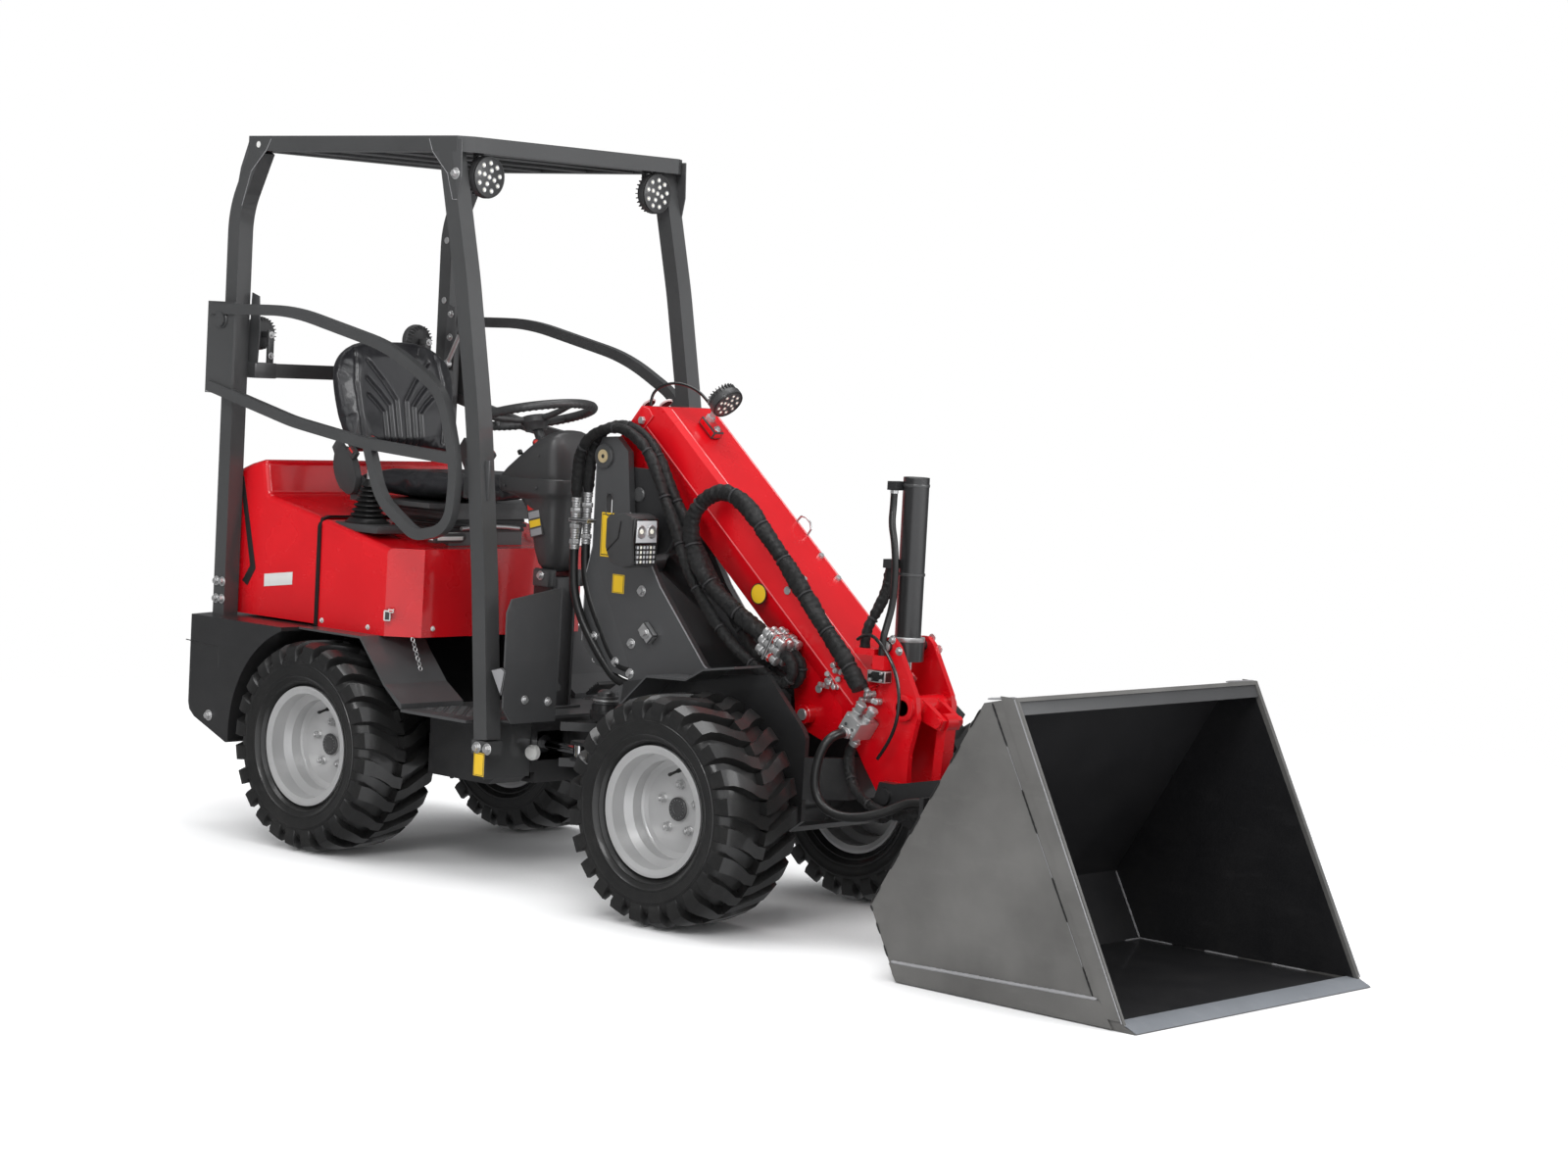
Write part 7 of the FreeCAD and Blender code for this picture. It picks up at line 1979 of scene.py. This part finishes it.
@dataclass
class CageTrim:
    """Corner gussets, bolts, guard hinges, latch plates and gas struts on the cage."""

    rear_axle: float = REAR_AXLE
    half: float = CAGE_HALF
    tube: float = 0.05

    def gussets(self, work: Shaper) -> None:
        """Add the folded corner plates between the posts and the roof.

        Args:
            work: the mesh to add to.
        """
        x = self.rear_axle
        face = self.half + self.tube / 2 - 0.004
        for side in SIDES:
            front = ((0.33, 1.96), (0.458, 1.96), (0.462, 1.86), (0.45, 1.8), (0.432, 1.8), (0.408, 1.868),
                (0.345, 1.926))
            rear = ((-0.425, 1.96), (-0.33, 1.96), (-0.35, 1.928), (-0.412, 1.87), (-0.448, 1.772),
                (-0.482, 1.78), (-0.46, 1.88))
            for outline in (front, rear):
                points = at(side * face, outline, x)
                work.prism(points, (0, side * 0.0038, 0), Shade.GRAPHITE, 0.0012)
                # thin pale grey line along the gusset's free edge: a painted highlight
                rim = [Vector(point) + Vector((0, side * 0.0036, 0)) for point in points]
                line = [*rim[3:], rim[0]] if outline is front else rim[1:5]
                work.tube(line, 0.0012, Shade.FOLD, 6)
            out = (0, side, 0)
            work.bolt((x + 0.44, side * (face + 0.0036), 1.868), out, 0.017)
            work.disc((x - 0.385, side * (face + 0.0034), 1.944), out, 0.009, 0.0008, Shade.PALE, sides=20)
            seam = side * (face + 0.002)
            for way, low in ((-1, 1.93), (1, 1.928)):
                bead(work, (x + way * 0.333, seam, 1.958), (x + way * 0.346, seam, low), 0.0022, Shade.WELD)

    def post_bolts(self, work: Shaper) -> None:
        """Add the bolts and plugs along the posts and at their feet.

        Args:
            work: the mesh to add to.
        """
        x = self.rear_axle
        face = self.half + self.tube / 2
        for side in SIDES:
            out = (0, side, 0)
            for u, z in ((-0.492, 0.705), (-0.466, 0.705), (-0.492, 0.655), (-0.466, 0.655)):
                work.bolt((x + u, side * face, z), out, 0.015)
            for z in (1.54, 1.72):
                work.disc((x - 0.478, side * (self.half - self.tube / 2), z), (0, -side, 0), 0.01, 0.002,
                    Shade.STEEL, sides=24)
            for u in (0.628, 0.668):
                work.bolt((x + u, side * (self.half + 0.0265), 0.362), out, 0.017)
            label(work, (x + 0.638, side * (self.half + 0.0262), 0.318), (0.04, 0.062), out)
            work.box((x - 0.442, side * 0.34, 1.31), (0.044, 0.08, 0.044), Shade.CAGE, edge=0.004)

    def hinges(self, work: Shaper) -> None:
        """Add the guards' hinge plates, the latch plates on the posts and the gas struts.

        Args:
            work: the mesh to add to.
        """
        x = self.rear_axle
        for side in SIDES:
            inner = side * (self.half - self.tube / 2 - 0.003)
            plate = ((0.462, 1.33), (0.418, 1.33), (0.412, 1.42), (0.42, 1.52), (0.452, 1.53))
            work.prism(at(inner, plate, x, -1),  (0, side * -0.004, 0), Shade.GRAPHITE, 0.001)
            for z in (1.36, 1.43, 1.5):
                work.bolt((x - 0.437, inner - side * 0.004, z), (0, -side, 0), 0.012)
            latch = side * (self.half + 0.004)
            work.box((x + 0.556, latch, 1.066), (0.096, 0.008, 0.104), Shade.GRAPHITE, edge=0.002)
            work.box((x + 0.532, latch + side * 0.006, 1.046), (0.03, 0.012, 0.052), Shade.CAGE, edge=0.003)
            work.bolt((x + 0.578, latch + side * 0.004, 1.096), (0, side, 0), 0.011)
            work.bolt((x + 0.578, latch + side * 0.004, 1.036), (0, side, 0), 0.011)
            if side > 0:
                work.tube([(x - 0.426, 0.356, 1.352), (x - 0.374, 0.356, 1.445)], 0.007, Shade.STEEL, 14)
                work.tube([(x - 0.376, 0.356, 1.441), (x - 0.338, 0.356, 1.509)], 0.0115, Shade.PLASTIC, 16)
                work.disc((x - 0.428, 0.366, 1.35), (0, -1.0, 0), 0.011, 0.018, Shade.STEEL, sides=20)

    def build(self) -> None:
        """Build the cage's trim and the guards' pivots."""
        work = Shaper("cage_trim")
        self.gussets(work)
        self.post_bolts(work)
        self.hinges(work)
        x = self.rear_axle
        for step in range(4):
            work.box((x - 0.28 + 0.19 * step, 0, 1.9295), (0.03, 0.74, 0.007), Shade.CAGE, edge=0.002)
        work.done("rear_frame", "black_paint")
        for side in Side:
            sign = side.value
            pivot = Shaper(f"guard_pivot_{side.name.lower()}")
            spot = Vector((x - 0.483, sign * 0.4535, 1.449))
            out = (0, sign, 0)
            pivot.lathe([(0.024, 0), (0.024, 0.004), (0.022, 0.006), (0.014, 0.006)], spot, out, Shade.CAGE,
                36)
            pivot.lathe([(0.0135, 0.005), (0.0135, 0.009), (0.011, 0.0115), (0.005, 0.0095)], spot, out,
                Shade.STEEL, 28)
            edge = [(x - 0.545, sign * 0.4545, 1.244), (x - 0.434, sign * 0.4545, 1.244)]
            bead(pivot, edge[0], edge[1], 0.0026, Shade.WELD)
            pivot.done(f"guard_{side.name.lower()}", "black_paint")


@dataclass
class HousingTrim:
    """The rubber seam, stripe, latch and screws on the hood and the console."""

    rear_axle: float = REAR_AXLE
    half: float = 0.372

    def seam(self) -> None:
        """Build the rubber strip between hood and console."""
        work = Shaper("hood_seam_strip")
        x = self.rear_axle - 0.1145
        side = self.half + 0.0015
        half = [(-side, 0.612), (-side, 0.89), (-side + 0.01, 0.9105), (-side + 0.03, 0.9165)]
        line = [Vector((x, y, z)) for y, z in (*half, (0, 0.9165), *((-y, z) for y, z in reversed(half)))]
        rings = []
        for before, middle, after in zip([line[0], *line], line, [*line[1:], line[-1]]):
            lift = Vector((1, 0, 0)).cross((after - before).normalized()) * 0.0032
            ahead = Vector((0.0065, 0, 0))
            rings.append([middle - ahead - lift, middle + ahead - lift, middle + ahead + lift,
                middle - ahead + lift])
        work.rings(rings, Shade.HOSE, smooth=False)
        work.done("rear_frame", "black_plastic")

    def hood(self) -> None:
        """Build the stripe and the blank plate on the hood's flanks."""
        work = Shaper("hood_trim")
        for side in SIDES:
            face = side * self.half
            points = [(-1.61, 1.004), (-1.592, 1.007), (-1.524, 0.748), (-1.558, 0.696), (-1.582, 0.709),
                (-1.549, 0.754)]
            work.prism(at(face, points), (0, side * 0.0008, 0), Shade.STRIPE, 0.0002)
            plate = [(-1.484, 0.7), (-1.36, 0.716), (-1.36, 0.752), (-1.484, 0.736)]
            work.prism(at(face, plate), (0, side * 0.0007, 0), Shade.PALE, 0.0002)
        work.done("hood", "red_paint")

    def console(self) -> None:
        """Build the latch, the screws and the grab strap on the console."""
        work = Shaper("console_trim")
        for side in SIDES:
            for x in (-1.225, -1.03):
                work.bolt((x, side * self.half, 0.628), (0, side, 0), 0.008, Shade.PALE)
            work.bolt((-0.8898, side * 0.26, 0.634), (1, 0, 0), 0.008, Shade.PALE)
        work.box((-0.958, -0.3655, 0.668), (0.046, 0.02, 0.03), Shade.GLOSSY, tilt(-0.78, "Z"), 0.004)
        work.box((-0.945, -0.364, 0.682), (0.05, 0.016, 0.01), Shade.SIGNAL, tilt(-0.78, "Z"), 0.003)
        for side in SIDES:
            strap = [(-1.15, side * 0.33, 0.9195), (-1.125, side * 0.318, 0.924), (-1.1, side * 0.312, 0.918)]
            work.tube(strap, 0.004, Shade.YELLOW if side < 0 else Shade.STRAP, 10)
        work.done("rear_frame", "red_paint")

    def build(self) -> None:
        """Build the housings' trim."""
        self.seam()
        self.hood()
        self.console()


@dataclass
class ChassisTrim:
    """Tail weight lines, step tread, pedals, chains and bolts on the rear frame."""

    rear_axle: float = REAR_AXLE
    floor: float = 0.43

    def treads(self, work: Shaper) -> None:
        """Add the raised lozenges of the step plate.

        Args:
            work: the mesh to add to.
        """
        for side in SIDES:
            for row in range(15):
                for column in range(7):
                    x = self.rear_axle + 0.262 + 0.02 * row
                    y = side * (0.235 + 0.022 * column)
                    lean = 0.785 if (row + column) % 2 else -0.785
                    work.box((x, y, self.floor + 0.0006), (0.017, 0.0042, 0.0026), Shade.CAGE,
                        tilt(lean, "Z"), 0.001)

    def tail(self, work: Shaper) -> None:
        """Add the panel line and the bolts of the tail weight.

        Args:
            work: the mesh to add to.
        """
        low, high = (Vector(corner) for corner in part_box("counterweight"))
        for side in SIDES:
            face = side * (high.y - 0.0006)
            line = at(face, ((low.x + 0.035, 0.535), (low.x + 0.18, 0.528), (low.x + 0.185, 0.47)))
            work.tube(line, 0.0015, Shade.STRIPE, 8)
            work.bolt((low.x + 0.15, face, 0.33), (0, side, 0), 0.017)

    def front(self, work: Shaper) -> None:
        """Add the foot guards' bolts, the sight glass, the pedals and the white plug.

        Args:
            work: the mesh to add to.
        """
        x = self.rear_axle
        for side in SIDES:
            for y, z in ((0.25, 0.484), (0.335, 0.492)):
                work.bolt((-0.4338, side * y, z), (1, 0, 0), 0.013)
            work.box((x + 0.5, side * 0.15, 0.48), (0.06, 0.07, 0.008), Shade.PLASTIC, tilt(-0.6), 0.002)
            work.tube([(x + 0.515, side * 0.15, 0.478), (x + 0.528, side * 0.15, 0.436)], 0.006, Shade.CAGE)
            for step in range(5):
                work.box((x + 0.485 + 0.0075 * step, side * 0.15, 0.4755 + 0.0052 * step),
                    (0.003, 0.062, 0.01), Shade.HOSE, tilt(-0.6), 0.001)
            links = [Vector((x + 0.246 + 0.006 * k, side * 0.332, 0.606 - 0.0125 * k)) for k in range(7)]
            for k, middle in enumerate(links):
                turn = (0, 1.0, 0.2) if k % 2 else (1.0, 0, 0.4)
                work.lathe([(0.006, -0.001), (0.0078, 0), (0.006, 0.001), (0.0045, 0)], middle, turn,
                    Shade.STEEL, 14, closed=True)
        pane = [(-0.48, -0.4125, 0.57), (-0.442, -0.4125, 0.58), (-0.427, -0.4125, 0.572),
            (-0.44, -0.4125, 0.506)]
        work.prism(pane, (0, -0.006, 0), Shade.FOLD, 0.002)
        work.lathe([(0.012, 0), (0.02, 0.004), (0.021, 0.018), (0.016, 0.026), (0.004, 0.028)],
            (-0.5, -0.2195, 0.338), OUT_RIGHT, Shade.PALE, 28)

    def build(self) -> None:
        """Build the rear frame's trim."""
        work = Shaper("rear_frame_trim")
        self.treads(work)
        self.tail(work)
        self.front(work)
        work.done("rear_frame", "black_paint")


# ---- bucket


@dataclass
class BucketTrim:
    """Near-black inside sheets that paint the shade of the hollow, folded top rim, weld beads, stitches and
    cutting edge.
    """

    lip: float = 1.699
    top: float = 0.701
    half: float = 0.48
    wall: float = 0.008

    def shade_liner(self) -> None:
        """Build near-black sheets a hair inside the plates, which paint the shade in the bucket's hollow."""
        work = Shaper("bucket_inside")
        inside = [(self.lip - 0.6835, 0.0086), (self.lip - 0.769, 0.1724), (self.lip - 0.4705, 0.6684)]
        edge = self.half - self.wall - 0.0006
        for first, second in zip(inside, inside[1:]):
            points = [(first[0], -edge, first[1]), (second[0], -edge, second[1]),
                (second[0], edge, second[1]), (first[0], edge, first[1])]
            work.prism(points, (0.0006, 0, 0), Shade.INSIDE, 0)
        floor = [(self.lip - back, y, 0.0088) for back, y in ((0.683, -edge), (0.052, -edge), (0.052, edge),
            (0.683, edge))]
        work.prism(floor, (0, 0, 0.0005), Shade.INSIDE, 0)
        for side in SIDES:
            cheek = at(side * edge, (*inside, (self.lip - 0.392, 0.688), (self.lip - 0.045, 0.016)))
            work.prism(cheek, (0, -side * 0.0005, 0), Shade.INSIDE, 0)
        work.done("attachment", "grey_paint")

    def rims(self, work: Shaper) -> None:
        """Add the folded rim under the top edge, the cutting edge's cap and a painted highlight line along
        each side's front edge.

        Args:
            work: the mesh to add to.
        """
        inner = self.half - self.wall
        slope = atan2(0.689, 0.353)
        lean = tilt(-(pi / 2 - slope))
        fold = (self.lip - 0.3805, 0, self.top - 0.0215)
        work.box(fold, (0.004, 2 * inner, 0.04), Shade.GRAPHITE, lean, 0.0012)
        edge = at(-self.half + 0.002, ((0.066, 0.0152), (0.03, 0.0128), (0.001, 0.0008), (0.001, 0.0022),
            (0.03, 0.0146), (0.066, 0.0172)), self.lip, -1)
        work.prism(edge, (0, 2 * self.half - 0.004, 0), Shade.LIP, 0)
        # thin pale grey line along each side plate's front edge: a painted highlight
        for side in SIDES:
            out = side * (self.half + 0.0052)
            work.tube([(self.lip - 0.386, out, self.top - 0.004), (self.lip - 0.036, out, 0.018)], 0.0016,
                Shade.FOLD, 8)

    def welds(self, work: Shaper) -> None:
        """Add the beads and stitches along the seams.

        Args:
            work: the mesh to add to.
        """
        lip, top, inner = self.lip, self.top, self.half - self.wall
        for side in SIDES:
            out, seam, fold = side * (self.half + 0.0008), side * (inner - 0.002), side * (inner + 0.003)
            for y, x0, z0, x1, z1, radius, shade, seed, gap in ((out, 0.452, top - 0.02, 0.122, 0.064,
                    0.0008, Shade.FOLD, 4, 0), (out, 0.452, top - 0.02, 0.122, 0.064, 0.0021, Shade.STRIPE,
                    5, 0.105), (out, 0.706, 0.045, 0.11, 0.0605, 0.0046, Shade.WELD, 6, 0),
                    (out, 0.692, 0.006, 0.778, 0.168, 0.0024, Shade.STRIPE, 7, 0.028),
                    (out, 0.778, 0.172, 0.48, 0.672, 0.0024, Shade.STRIPE, 8, 0.052),
                    (seam, 0.68, 0.0105, 0.06, 0.0105, 0.0026, Shade.WELD, 9, 0.1),
                    (seam, 0.681, 0.012, 0.766, 0.17, 0.003, Shade.WELD, 10, 0), (fold, 0.388, top - 0.001,
                    0.47, top - 0.012, 0.0028, Shade.WELD, 12, 0)):
                bead(work, (lip - x0, y, z0), (lip - x1, y, z1), radius, shade, seed, gap)
        for back, end, z, radius, seed, gap in ((0.679, inner, 0.0105, 0.0024, 13, 0.11),
                (0.059, self.half - 0.01, 0.015, 0.0018, 14, 0.09)):
            bead(work, (lip - back, -end, z), (lip - back, end, z), radius, Shade.WELD, seed, gap)

    def hooks(self, work: Shaper) -> None:
        """Add the red lock button and the bolts on the hook plates.

        Args:
            work: the mesh to add to.
        """
        for side in SIDES:
            work.disc((0.976, side * 0.1662, 0.562), (0, side, 0), 0.0205, 0.01, Shade.SIGNAL, 0.004, 28)
            work.lathe([(0.03, 0), (0.041, 0.001), (0.0415, 0.004), (0.038, 0.006), (0.03, 0.006)],
                (0.976, side * 0.1662, 0.562), (0, side, 0), Shade.BUCKET, 44)
            for x, z in ((1.03, 0.585), (1.052, 0.56)):
                work.bolt((x, side * 0.166, z), (0, side, 0), 0.01)

    def build(self) -> None:
        """Build the bucket's trim."""
        self.shade_liner()
        work = Shaper("bucket_trim")
        self.rims(work)
        self.welds(work)
        self.hooks(work)
        work.done("attachment", "grey_paint")


PARTS: tuple[type, ...] = (Seat, Controls, Lamps, BoomTrim, HeadTrim, TowerTrim, CageTrim, HousingTrim,
    ChassisTrim, BucketTrim)


# ---- the whole machine


NODE_SHADES = {Shade.RED: ("boom_head", "boom_inner", "boom_outer", "engine_hood", "seat_console",
    "tilt_lever", "tilt_link"), Shade.GRAPHITE: ("boom_tower", "floor_plate", "front_fenders",
    "rear_fenders"), Shade.CHASSIS: ("counterweight", "front_chassis", "hitch_frame", "rear_chassis",
    "side_tanks", "front_axle", "rear_axle", "lift_barrel", "steering_barrel", "tilt_barrel",
    "engine_block"), Shade.CAGE: ("cage_front_posts", "cage_rear_posts", "cage_roof", "side_guard_left",
    "side_guard_right", "seat_base"), Shade.CHROME: ("lift_rod", "steering_rod", "tilt_rod"),
    Shade.PLASTIC: ("boom_lamp", "headlights", "joystick", "steering_column", "steering_wheel",
    "work_lights"), Shade.BUCKET: ("bucket",)}


def main() -> None:
    """Build every piece in order and report it."""
    logging.basicConfig(level=logging.INFO, format="%(message)s")
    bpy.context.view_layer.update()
    Studio().build()
    for shade, nodes in NODE_SHADES.items():
        for node in nodes:
            dress(node, shade)
    Hydraulics().build()
    for corner in ("front_right", "front_left", "rear_right", "rear_left"):
        Wheel(corner).build()
    for part in PARTS:
        part().build()
    LOG.info("all pieces built")


if __name__ == "__main__":
    main()
